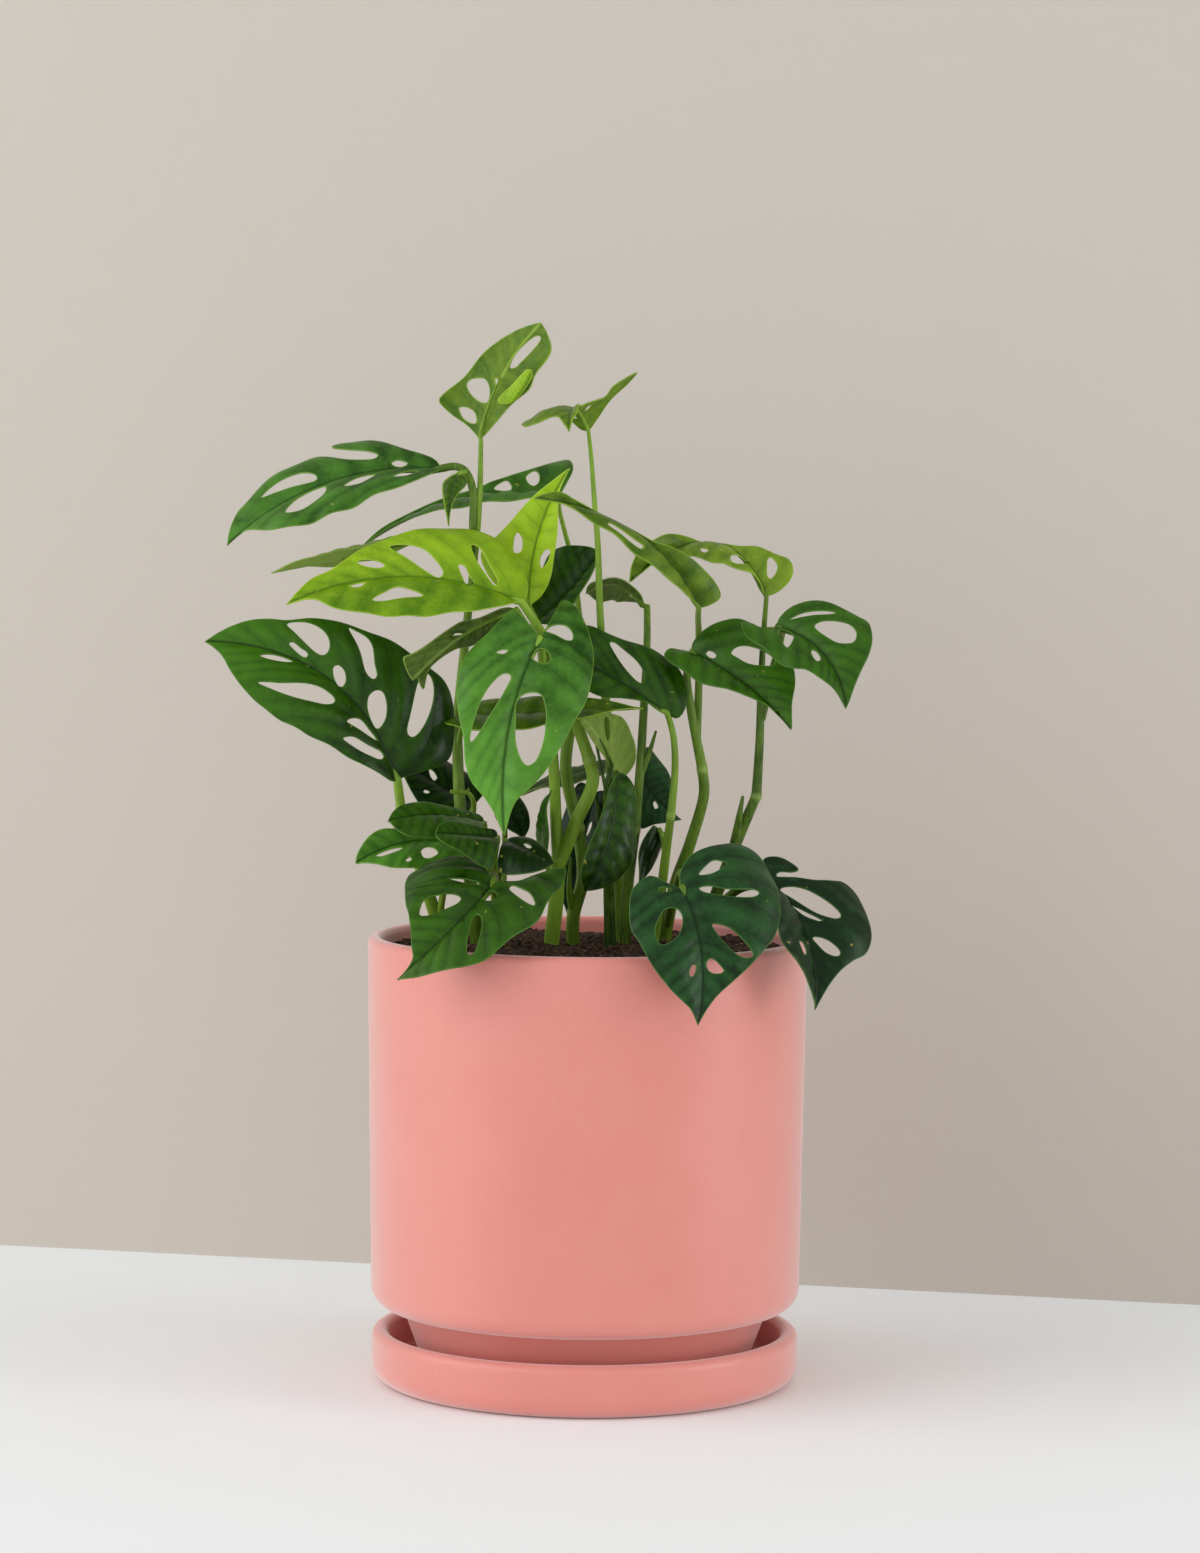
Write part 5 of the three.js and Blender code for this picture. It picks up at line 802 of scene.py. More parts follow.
                [(41.2, 167), (42.5, 169.8), (43.9, 170), (44, 168), (43, 165.5), (41.8, 165)],
            ],
        ),
        left=dict(
            edge=(78, 190, -72), at=0.3,
            margin=[
                (37.3, 205), (38, 209), (40.3, 212.8), (43.5, 215.7), (48, 217.7), (54, 219), (60, 219.3),
                (65, 217.3), (70, 213.3), (74, 208), (76.3, 203), (77.6, 196.5), (78.4, 190.5),
                (77.3, 184.5), (75, 180), (70, 174), (65, 168.5), (59, 163), (53, 157.5), (48.5, 151.5),
            ],
            holes=[
                [
                    (45.2, 206.8), (48, 210.3), (51, 212.6), (54, 212.4), (56.5, 211.3), (54, 209.2),
                    (50, 207.2),
                ],
                [
                    (45.3, 201.3), (49, 202.2), (56, 201), (63, 200.6), (68, 200.4), (69.5, 199),
                    (67, 197.5), (60, 197.6), (52, 198.7), (47, 199.8),
                ],
                [
                    (50.6, 186), (53, 186.6), (58, 184.8), (63, 180.3), (66.7, 175.5), (67, 173.4),
                    (64, 172.8), (60, 174.7), (55, 179.7),
                ],
                [
                    (48.4, 170.5), (49.7, 172.5), (52, 171.6), (55.4, 167.5), (54.3, 166.5), (51, 166.5),
                    (49, 168),
                ],
            ],
        ),
    ),
    "leaf_rim_far_right": dict(
        green="blue", shade=(-0.08, 0.05),
        rib=[(74.5, 204, -40), (89.5, 181, -54), (93, 151.5, -64)],
        right=dict(
            edge=(79.5, 180, -72), at=0.42,
            margin=[
                (74.5, 197), (76, 189), (79, 181.2), (82, 175.7), (85.3, 170.7), (88.5, 165.5),
                (91, 159.5),
            ],
            holes=[
                [(86.2, 179.5), (87.7, 179), (89, 176), (88.7, 174), (87.7, 175)],
            ],
        ),
        left=dict(
            edge=(115, 181, -46), at=0.42,
            margin=[
                (71.5, 207.5), (71.5, 213), (76.5, 214.1), (81.5, 212.5), (85.8, 209), (83, 207.8),
                (78, 207.9), (77, 206), (85, 205.6), (92, 204.5), (99, 204.1), (104, 203.3), (109, 199.5),
                (112, 194.3), (114, 188), (115.3, 180.5), (113.3, 174.7), (108, 171.5), (103, 167.5),
                (99, 162.5), (95.7, 157),
            ],
            holes=[
                [
                    (78.5, 200.6), (82, 201.9), (88, 201), (94, 198.2), (100, 194.2), (102.8, 191),
                    (102.6, 189.2), (99.5, 189), (93, 191.2), (86, 195.4),
                ],
                [(81, 194.2), (84.5, 193.7), (90, 190.9), (95.5, 188), (94, 187.8), (88, 190.2)],
                [
                    (91.6, 180.8), (94, 181.2), (98, 179.8), (101.8, 176.8), (102.9, 174.9), (102, 173.6),
                    (99.5, 173.8), (96, 175.8),
                ],
            ],
        ),
    ),
    "leaf_dark_right_back": dict(
        green="blue", shade=(0.3, 0.3),
        rib=[(21, 247, 28), (28, 238, 26), (38, 229.5, 22)],
        right=dict(
            edge=(24, 228, 22),
            margin=[(20.3, 240), (20.5, 232), (21.5, 225.8), (27, 227.3), (33, 228.2)],
            holes=[
                [(26.5, 236), (27.2, 237), (28.2, 235.8), (28.5, 234), (27.3, 233.6)],
            ],
        ),
        left=dict(
            edge=(34, 246, 32),
            margin=[
                (21.8, 255), (24.2, 258.8), (28, 255), (32, 249.5), (34.2, 243), (34, 237), (35.3, 232.5),
            ],
        ),
    ),
    "leaf_pale_under": dict(
        green="pale", shade=(0.75, 0.75),
        rib=[(9, 250, -2), (5, 261, -8), (-5, 273, -14)],
        right=dict(
            edge=(0, 262, -14),
            margin=[(7, 254), (2.5, 260.5), (-1, 266), (-4.2, 270.5)],
        ),
        left=dict(
            edge=(17, 263, 2),
            margin=[
                (12, 249), (15.5, 247.6), (18.5, 252), (19.3, 258), (18, 264.5), (14.5, 270.5),
                (10, 272.3), (3, 273.3),
            ],
            holes=[
                [(6.3, 270.5), (8, 271), (9, 266), (8.8, 262.3), (7.8, 261.2), (6.8, 264.5)],
            ],
        ),
    ),
    "leaf_hidden_long": dict(
        green="fresh", shade=(0.1, 0.1),
        rib=[(-49, 271.3, 2), (-18, 272.5, -14), (22.5, 275, -16)],
        right=dict(edge=(-24, 266.5, -30), lobe=0.03),
        left=dict(edge=(-24, 279, -3), lobe=0.03),
    ),
    "leaf_dark_low_back": dict(
        green="dark", shade=(0, 0.1),
        rib=[(-46, 236, 26), (-61, 244, 25), (-79, 256, 22)],
        right=dict(
            edge=(-57, 253, 34), lobe=0.04,
            holes=[
                [(-64.7, 249.7), (-62.8, 249), (-61.3, 246.2), (-62.4, 245.4), (-64, 247.2)],
            ],
        ),
        left=dict(
            edge=(-68, 234, 17), lobe=0.04,
            holes=[
                [(-67, 240.6), (-66, 241.5), (-64.3, 240.6), (-65.5, 240)],
            ],
        ),
    ),
    "leaf_edge_centre": dict(
        green="pale", shade=(-0.55, -0.45),
        rib=[(8, 250, 36), (-8, 246.5, 40), (-27, 239.5, 42)],
        right=dict(edge=(-7, 249.5, 54), lobe=0.02),
        left=dict(edge=(-7, 243.5, 29), lobe=0.02),
    ),
    "leaf_dark_stems": dict(
        green="blue", shade=(0.1, 0.1),
        rib=[(3, 240, 32), (-3, 216, 34), (-8, 188, 30)],
        right=dict(
            edge=(-13, 219, 38), lobe=0.05,
            holes=[
                [(-9.8, 214.5), (-9.3, 218.5), (-7.6, 219.9), (-7.3, 217), (-8.8, 214)],
            ],
        ),
        left=dict(
            edge=(7, 221, 30), lobe=0.05,
            holes=[
                [(-1.8, 223), (-0.8, 226), (1.4, 228.7), (1.6, 226.5), (-0.2, 222.8)],
            ],
        ),
    ),
    "leaf_dark_fold_right": dict(
        green="dark", shade=(0.05, 0.05),
        rib=[(29.2, 225.5, 12), (24.5, 215, 9), (21, 202.5, 4)],
        right=dict(edge=(19.5, 214, 6), lobe=0, full=0),
        left=dict(edge=(27.5, 213, 15), lobe=0, full=0),
    ),
    "leaf_dark_round": dict(
        green="dark", shade=(0, 0),
        rib=[(-34, 239, 12), (-29, 230, 10), (-26, 221, 6)],
        right=dict(edge=(-37, 229, 8), lobe=0.06),
        left=dict(edge=(-23.7, 231, 14), lobe=0.06),
    ),
    "leaf_strip_centre": dict(
        green="dark", shade=(0.4, 0.4),
        rib=[(-18, 214, 6), (-18.3, 228, 2), (-15.2, 241.5, -2)],
        right=dict(edge=(-16, 226, -4), lobe=0, full=0),
        left=dict(edge=(-20, 226, 12), lobe=0, full=0),
    ),
}

# How much lighter each shoot's stems are than the usual one
STEM_SHADES = {
    "shoot_left": 0.25,
    "shoot_tall_left": -0.05,
    "shoot_rim_left": 0.05,
    "shoot_front": 0.45,
    "shoot_back": 0.15,
    # Painted shade: the stems of shoot_centre stand in shadow and are darkened for it
    "shoot_centre": -0.35,
    "shoot_tall_centre": 0.15,
    "shoot_middle": -0.12,
    "shoot_right_middle": 0.12,
    "shoot_right": -0.05,
    "shoot_far_right": -0.25,
}

# The lower right edge of the crown leaf is folded forward and shows its bright young upper face
CROWN_FOLD = dict(
    green="bright", shade=(0.55, 0.7),
    rib=[(-30.6, 398.4, -11.5), (-26.3, 403.4, -14.5), (-22.4, 411.2, -16)],
    right=dict(
        edge=(-25.8, 403, -14.2), arch=0,
        margin=[(-30, 398.6), (-25.9, 402.9), (-22.1, 409.6)],
    ),
    left=dict(
        edge=(-31.5, 405, -10.5), arch=0.05,
        margin=[(-33, 397.8), (-36.3, 398.4), (-36, 400.5), (-32.2, 404.1), (-28, 408.3), (-24.6, 411.8)],
    ),
)

# The shoots. Each stem has a path of drawn places, and its radius at both ends. joints are the places on
# the path that have a ring, and shade makes one stem lighter than its shoot. One with soil stands in the
# soil, and one with a leaf ends at that leaf's base.
SHOOTS = {
    "shoot_left": [
        dict(
            soil=True, leaf="leaf_left_large", start=3.2, end=1.8, joints=(3,),
            path=[(-58, 178, 16), (-64, 196, 10), (-70, 215, 2), (-76, 233, -6)],
        ),
        dict(
            leaf="leaf_low_left", start=1.6, end=1.2,
            path=[(-61, 186, 13), (-58, 203, 4), (-52, 215, -3)],
        ),
    ],
    "shoot_tall_left": [
        dict(
            soil=True, leaf="leaf_crown", start=3.2, end=0.95, joints=(3,),
            path=[
                (-45, 178, 18), (-48, 205, 13), (-52, 235, 9), (-53.3, 268, 10), (-49, 310, 4),
                (-45, 345, -6), (-43.8, 362, -7),
            ],
        ),
        dict(
            shade=-0.3, leaf="leaf_upper_left", start=1.6, end=1.6,
            path=[
                (-47, 330, -2), (-46.6, 350, -8), (-46.4, 361, -8), (-48, 368, -7), (-50.4, 371.5, -6),
                (-54.4, 372.7, -5),
            ],
        ),
        dict(
            leaf="leaf_small_hanging", start=1.2, end=1,
            path=[(-49.2, 369.8, -6.5), (-50.6, 370.4, -8.6)],
        ),
        dict(
            leaf="leaf_far_left", start=1.4, end=1,
            path=[(-46.4, 333, -2.6), (-48.5, 338.5, 1), (-53, 343.5, 6), (-61, 344.5, 10)],
        ),
        dict(leaf="leaf_hidden_long", start=1.3, end=1.1, path=[(-53, 256, 9.8), (-51.5, 266, 6)]),
        dict(leaf="leaf_dark_low_back", start=1.3, end=1, path=[(-51, 228, 9), (-47.5, 233, 20)]),
        dict(start=1.3, end=0.8, path=[(-51, 226, 9), (-46.5, 233, 0), (-48.5, 240, -6), (-56, 240.8, -8)]),
    ],
    "shoot_rim_left": [
        dict(
            soil=True, leaf="leaf_rim_left", start=2.6, end=1.5,
            path=[(-36, 178, 14), (-37, 192, 4), (-38, 203, -20), (-38.5, 207, -40)],
        ),
        dict(leaf="leaf_low_centre", start=1.4, end=1, path=[(-37.5, 199, -9), (-35.5, 212, -22)]),
        dict(leaf="leaf_low_round", start=1.4, end=1, path=[(-37.8, 201, -14), (-38, 213, -28)]),
        dict(leaf="leaf_low_left_top", start=1.4, end=1, path=[(-37, 192, 4), (-41, 213, -4)]),
        dict(leaf="leaf_dark_round", start=1.4, end=1, path=[(-36.3, 184, 11), (-34, 210, 16)]),
    ],
    "shoot_front": [
        dict(
            soil=True, start=3.3, end=3.1, joints=(2,),
            path=[(-15, 178, 22), (-13, 196, 17), (-12, 214, 14)],
        ),
        dict(
            leaf="leaf_bright_left", start=3.1, end=1.7, joints=(3,),
            path=[
                (-12, 211, 14.5), (-5, 228, 12), (2, 245, 11), (0.5, 254, 10), (-5, 270, 6), (-9, 281, -5),
                (-12.5, 290, -12), (-17.5, 303, -18),
            ],
        ),
        dict(
            leaf="leaf_front_main", start=2.6, end=1.6,
            path=[(-12, 211, 14.5), (-13, 228, 13), (-14, 252, 8), (-16.5, 278, 4), (-18.5, 294, -14)],
        ),
        dict(leaf="leaf_strip_centre", start=1.4, end=1, path=[(-13, 203, 15.5), (-16, 209, 11)]),
    ],
    "shoot_back": [
        dict(
            soil=True, start=2.9, end=2.4, joints=(3,),
            path=[(-6, 178, 28), (-6, 190, 27), (-2, 206, 24), (-4, 226, 22), (-9, 250, 18), (-7, 269, 16)],
        ),
        dict(leaf="leaf_bright_upright", start=1.9, end=1.4, path=[(-7, 266, 16), (-13, 292, 12)]),
        dict(leaf="leaf_behind_middle", start=1.6, end=1.2, path=[(-7, 266, 16), (-13, 292, 18)]),
        dict(leaf="leaf_left_folded", start=1.5, end=1.1, path=[(-11, 284, 13), (-21, 302, 5)]),
        dict(
            leaf="leaf_back_left", start=1.7, end=0.85,
            path=[(-7.5, 270, 17), (-3, 300, 32), (-6.6, 335, 33), (-9.6, 347, 30), (-11.4, 354.6, 25)],
        ),
        dict(start=1.9, end=0.5, path=[(-6, 191, 27), (-7.6, 201, 22), (-7, 214, 20)]),
    ],
    "shoot_centre": [
        dict(soil=True, start=2.6, end=1.9, path=[(9, 179, 20), (8.5, 200, 17), (8, 225, 9), (8, 241, 1)]),
        dict(leaf="leaf_pale_under", start=1.5, end=1.2, path=[(8, 237, 3), (8.3, 245, -1)]),
        dict(leaf="leaf_hanging_dark", start=1.5, end=1.1, path=[(8, 237, 3), (9.5, 245, -5)]),
        dict(leaf="leaf_dark_stems", start=1.5, end=1, path=[(8.5, 200, 17), (5, 220, 24), (4, 234, 30)]),
        dict(start=0.9, end=0.5, path=[(8, 238, 2), (5.5, 250, 4), (3, 262, 4)]),
    ],
    "shoot_tall_centre": [
        dict(
            soil=True, leaf="leaf_crown_edge", start=2.9, end=0.8,
            path=[
                (14, 179, 32), (13, 200, 30), (10, 240, 22), (6.4, 290, 11), (5, 312, 8), (3.9, 343, 4),
                (2.6, 359.4, 4), (1.4, 375.6, 7),
            ],
        ),
        dict(leaf="leaf_edge_centre", start=1.3, end=1, path=[(10.4, 234, 23), (10, 244, 31)]),
    ],
    "shoot_middle": [
        dict(
            soil=True, leaf="leaf_under_grey", start=2.5, end=1.4, joints=(2,),
            path=[
                (15.2, 178, 22), (16.2, 200, 19), (19.2, 225, 15), (21.2, 250, 12), (22.7, 275, 14),
                (24, 302, 24),
            ],
        ),
        dict(leaf="leaf_dark_right_back", start=1.3, end=1, path=[(20.2, 238, 13.5), (20.6, 244, 21)]),
        dict(start=1.7, end=0.5, path=[(21, 247, 12.5), (24.7, 256, 11), (27.7, 265.5, 10)]),
    ],
    "shoot_right_middle": [
        dict(
            soil=True, leaf="leaf_dark_centre", start=2.5, end=1.2, joints=(3,),
            path=[
                (26.8, 180, 18), (29.8, 200, 11), (32.3, 220, 4), (33.8, 231, 1), (35.4, 250, -1),
                (34.9, 262, -3), (33.4, 269, -5),
            ],
        ),
        dict(leaf="leaf_dark_fold_right", start=1.3, end=1, path=[(31.3, 212, 7), (30.8, 220, 11)]),
    ],
    "shoot_right": [
        dict(
            soil=True, leaf="leaf_right_middle", start=3.2, end=1.5, joints=(4,),
            path=[
                (30.7, 179, 30), (35.7, 203, 22), (41.7, 220, 16), (47.2, 240, 10), (46.5, 250, 8),
                (41.7, 275, 3), (40.2, 288, 0),
            ],
        ),
        dict(
            leaf="leaf_centre_right", start=1.8, end=1.1,
            path=[(44.2, 262, 5.5), (45, 285, 9), (45, 304, 8), (44.7, 312, -6)],
        ),
        dict(
            leaf="leaf_rim_right", start=2, end=1.5,
            path=[(32.2, 186, 28), (35.2, 198, 8), (37.5, 207, -20), (38.6, 206.5, -48), (38.6, 205, -66)],
        ),
    ],
    "shoot_far_right": [
        dict(
            soil=True, leaf="leaf_pale_right", start=3.2, end=0.95, joints=(3,),
            path=[
                (45, 178, 32), (52, 198, 26), (60, 219, 19), (68.5, 239, 14), (69.8, 262, 11),
                (70.2, 280, 10), (71, 300, 8),
            ],
        ),
        dict(
            leaf="leaf_right_front", start=1.7, end=1.3,
            path=[(70.5, 270, 10.5), (75, 290, 12), (78.5, 304, 4), (78.5, 308.5, -8)],
        ),
        dict(
            leaf="leaf_rim_far_right", start=2, end=1.4,
            path=[(49, 189, 28.5), (60, 200, 10), (70, 203, -12), (75, 204.5, -30)],
        ),
        dict(start=2.6, end=0.6, path=[(60, 219, 19), (61.5, 230, 14), (63, 239, 13)]),
    ],
}


def linked(name, data):
    """A new object in the scene that shows data."""
    made = bpy.data.objects.new(name, data)
    bpy.context.scene.collection.objects.link(made)
    return made


# Camera, made first

def studio_camera():
    data = bpy.data.cameras.new("camera")
    data.lens = LENS
    data.sensor_width = SENSOR
    data.sensor_height = SENSOR
    data.sensor_fit = "AUTO"
    data.clip_end = CLIP_END
    camera = linked("camera", data)
    forward = Vector((0, math.cos(CAMERA_PITCH), -math.sin(CAMERA_PITCH)))
    level = Vector((1, 0, 0))
    raised = level.cross(forward)
    right = level * math.cos(SHEET_LEAN) + raised * math.sin(SHEET_LEAN)
    up = raised * math.cos(SHEET_LEAN) - level * math.sin(SHEET_LEAN)
    turn = Matrix((right, up, -forward)).transposed()
    camera.matrix_world = Matrix.Translation(Vector(EYE) * MM) @ turn.to_4x4()
    bpy.context.scene.camera = camera


studio_camera()
bpy.context.scene.view_settings.view_transform = "Standard"


# Nodes and colours

def add_node(tree, kind, inputs=None, **settings):
    """A node with its settings; each input is given a value, or the output that feeds it."""
    made = tree.nodes.new(kind)
    for name, value in settings.items():
        setattr(made, name, value)
    for socket, value in (inputs or {}).items():
        if isinstance(value, bpy.types.NodeSocket):
            tree.links.new(value, made.inputs[socket])
        else:
            made.inputs[socket].default_value = value
    return made


def linear(code):
    """An sRGB hex value as a linear colour."""
    channels = [int(code[i:i + 2], 16) / 255 for i in (1, 3, 5)]
    return (*[c / 12.92 if c <= 0.04045 else ((c + 0.055) / 1.055) ** 2.4 for c in channels], 1.0)


def new_material(name, sockets):
    """A material, its nodes and its shader, with the shader's plain values set."""
    material = bpy.data.materials.new(name)
    material.use_nodes = True
    tree = material.node_tree
    tree.nodes.clear()
    shader = add_node(tree, "ShaderNodeBsdfPrincipled", sockets)
    add_node(tree, "ShaderNodeOutputMaterial", {"Surface": shader.outputs[0]})
    return material, tree, shader


def colour_and_relief(tree, shader, base, height, strength, depth):
    """Links a shader's colour, and its relief, which is depth metres deep."""
    tree.links.new(base, shader.inputs["Base Color"])
    bump = add_node(tree, "ShaderNodeBump", {"Strength": strength, "Distance": depth, "Height": height})
    tree.links.new(bump.outputs[0], shader.inputs["Normal"])


def ramp(tree, value, low, high, start=0.0, end=1.0, smooth=True):
    """value from low to high, turned into start to end."""
    kind = "SMOOTHSTEP" if smooth else "LINEAR"
    sockets = {0: value, 1: low, 2: high, 3: start, 4: end}
    return add_node(tree, "ShaderNodeMapRange", sockets, interpolation_type=kind).outputs[0]


def maths(tree, operation, *values):
    return add_node(tree, "ShaderNodeMath", dict(enumerate(values)), operation=operation).outputs[0]


def mixed(tree, share, first, second):
    sockets = {0: share, 6: first, 7: second}
    return add_node(tree, "ShaderNodeMix", sockets, data_type="RGBA").outputs[2]


def speckle(tree, scale, detail=2.0, roughness=0.5):
    """Noise on object coordinates, with scale in patches for each metre."""
    where = add_node(tree, "ShaderNodeTexCoord").outputs["Object"]
    sockets = {"Vector": where, "Scale": scale, "Detail": detail, "Roughness": roughness}
    return add_node(tree, "ShaderNodeTexNoise", sockets).outputs[0]


# Leaf blade: a thin waxy skin over soft green tissue. The wax gives broad, slightly blue lights. The midrib
# and the lateral veins lie in fine grooves that are painted darker on the upper face, as painted shade,
# and they stand out paler below, and the margin has a pale hem. The attribute "veins" holds the vein's
# number, the distance from the midrib and the spacing of the veins, and "edges" the distance from the
# margin and the leaf's own shade. Distances are in mm. A relief is its strength and its depth in metres.
LEAF_TISSUE = {
    "IOR": 1.45, "Specular IOR Level": 0.22, "Subsurface Weight": 0.06,
    "Subsurface Radius": (0.3, 0.9, 0.15), "Subsurface Scale": 1.5 * MM,
}
LEAF_RELIEF = (0.5, 0.22 * MM)

# Its patterns: patches for each metre, detail and roughness of the noise, how much they change the shade,
# and between which values they are used
MOTTLE = (90.0, 3.0, 0.6)
MOTTLE_DEPTH = 0.9
MOTTLE_BAND = (0.3, 0.7)
GRAIN = (520.0, 2.0, 0.55)
GRAIN_DEPTH = 0.35
GRAIN_LIFT = 0.25
FRECKLE = (420.0, 0.0)
FRECKLE_BAND = (0.82, 0.88, 0.0, 0.6)
FRECKLE_COLOUR = "#a8a048"

# Where a vein, the midrib and the hem begin and end, in mm from their middle or the margin, and how strong
# they are there. Lateral veins fade where they crowd. The fields between them are painted lighter in their
# middles and darker towards the veins, as painted light and shade of their swell.
LATERAL_FADE = (0.1, 0.5, 1.0, 0.0)
LATERAL_END = (0.6, 3.5)
LATERAL_CROWDED = (1.2, 4.0)
LATERAL_ABOVE = 0.42
LATERAL_BELOW = 0.3
MIDRIB_FADE = (0.3, 0.95, 1.0, 0.0)
# How strongly the veins' tint is mixed in: on the upper face it is painted shade in their grooves, below it
# is their paler colour
VEIN_TINT_AND_SHADE = 0.62
HEM_FADE = (0.08, 0.45, 0.6, 0.0)
SWELL_LIGHT_AND_SHADE = (0.0, 0.5, -0.1, 0.08)


def split(tree, attribute):
    """The three numbers that a mesh attribute holds."""
    where = add_node(tree, "ShaderNodeAttribute", attribute_name=attribute).outputs["Vector"]
    return add_node(tree, "ShaderNodeSeparateXYZ", {0: where}).outputs


def blade_skin(name, deep, light, vein_tint_and_shade, hem, roughness, upper=True):
    material, tree, shader = new_material(name, LEAF_TISSUE)
    number, out, spacing = split(tree, "veins")
    rim, shade = split(tree, "edges")[:2]
    nearest = maths(tree, "FRACT", maths(tree, "ADD", number, 0.5))
    off = maths(tree, "ABSOLUTE", maths(tree, "SUBTRACT", nearest, 0.5))
    distance = maths(tree, "MULTIPLY", off, spacing)
    lateral = maths(tree, "MULTIPLY", ramp(tree, distance, *LATERAL_FADE), ramp(tree, rim, *LATERAL_END))
    lateral = maths(tree, "MULTIPLY", lateral, ramp(tree, spacing, *LATERAL_CROWDED))
    lateral = maths(tree, "MULTIPLY", lateral, LATERAL_ABOVE if upper else LATERAL_BELOW)
    groove = maths(tree, "MAXIMUM", lateral, ramp(tree, out, *MIDRIB_FADE))
    mottle = speckle(tree, *MOTTLE)
    grain = speckle(tree, *GRAIN)
    patches = maths(tree, "MULTIPLY", maths(tree, "SUBTRACT", mottle, 0.5), MOTTLE_DEPTH)
    grains = maths(tree, "MULTIPLY", maths(tree, "SUBTRACT", grain, 0.5), GRAIN_DEPTH)
    # Painted light and shade of the swell between the veins, with the random grain added to it
    swell_light_shade_and_grain = maths(tree, "ADD", ramp(tree, off, *SWELL_LIGHT_AND_SHADE), grains)
    tone = maths(tree, "ADD", maths(tree, "ADD", shade, patches), swell_light_shade_and_grain)
    base = mixed(tree, ramp(tree, tone, 0.0, 1.0, smooth=False), linear(deep), linear(light))
    # Painted shade in the vein grooves on the upper face; paler veins on the underside
    base = mixed(tree, maths(tree, "MULTIPLY", groove, VEIN_TINT_AND_SHADE), base, linear(vein_tint_and_shade))
    base = mixed(tree, ramp(tree, rim, *HEM_FADE), base, linear(hem))
    freckle = ramp(tree, speckle(tree, *FRECKLE), *FRECKLE_BAND)
    base = mixed(tree, freckle, base, linear(FRECKLE_COLOUR))
    lifted = maths(tree, "MULTIPLY", groove, -1.0 if upper else 1.0)
    height = maths(tree, "MULTIPLY_ADD", grain, GRAIN_LIFT, lifted)
    colour_and_relief(tree, shader, base, height, *LEAF_RELIEF)
    gloss = ramp(tree, mottle, *MOTTLE_BAND, roughness - GLOSSIER, roughness + DULLER)
    tree.links.new(gloss, shader.inputs["Roughness"])
    return material


# Each green: the deep and the light colour of the upper face, the painted shade of its vein grooves and its
# hem, and the same four below, where the veins are paler
GREENS = {
    "bright": (
        ("#4a7400", "#9cc01e", "#3c6600", "#b5cf48"), ("#4c700c", "#94b42a", "#94b63e", "#b5cf48"),
    ),
    "fresh": (
        ("#345600", "#86a22a", "#284800", "#96b43c"), ("#3a5c08", "#88a42e", "#90ae40", "#98b640"),
    ),
    "mid": (
        ("#1c4200", "#5f9a32", "#123600", "#7ca43c"), ("#2c4c0e", "#6a943a", "#769a46", "#7ca43c"),
    ),
    "dark": (
        ("#0a2400", "#3f700e", "#061a00", "#56822a"), ("#1e3c08", "#4f7828", "#5c843a", "#56822a"),
    ),
    "blue": (
        ("#0a2608", "#346a30", "#061a04", "#548036"), ("#1c3a16", "#4a6c38", "#567c42", "#548036"),
    ),
    "pale": (
        ("#2a4208", "#86a240", "#203804", "#92ac50"), ("#344a10", "#86a044", "#8ea854", "#92ac50"),
    ),
}
BLADE_ROUGHNESS = {"bright": 0.4, "fresh": 0.38, "mid": 0.34, "dark": 0.32, "blue": 0.34, "pale": 0.48}
UNDERSIDE_ROUGHER = 0.14
GLOSSIER = 0.05
DULLER = 0.07
BLADE_NAMES = {
    "bright": "young yellow-green blade", "fresh": "fresh green blade", "mid": "full green blade",
    "dark": "deep green blade", "blue": "old blue-green blade", "pale": "grey-green blade",
}


def blade_skins():
    skins = {}
    for green, (above, below) in GREENS.items():
        name, roughness = BLADE_NAMES[green], BLADE_ROUGHNESS[green]
        upper = blade_skin(name + ", upper face", *above, roughness)
        under = blade_skin(name + ", underside", *below, roughness + UNDERSIDE_ROUGHER, upper=False)
        skins[green] = (upper, under)
    return skins


# Stem: a juicy green skin, smooth and slightly waxy, paler along its joints and darker near the soil, with
# fine lengthwise streaks about 1 mm wide
STEM_TISSUE = {
    "Roughness": 0.42, "IOR": 1.45, "Specular IOR Level": 0.3, "Subsurface Weight": 0.08,
    "Subsurface Radius": (0.3, 0.9, 0.15), "Subsurface Scale": 2.0 * MM,
}
STEM_RELIEF = (0.35, 0.2 * MM)
STEM_DEEP = "#1e3a00"
STEM_LIGHT = "#86aa34"
JOINT_COLOUR = "#9ab45e"
JOINT_DEPTH = 0.6
STREAK_SCALE = 900.0
STREAK_STRETCH = (1.0, 1.0, 0.12)
STREAK_DEPTH = 0.6
STEM_PATCH_SCALE = 60.0
STEM_PATCH_DEPTH = 0.5
STEM_RISE = (0.15, 0.45, 0.2, 0.5)
STEM_BAND = (0.05, 1.0)


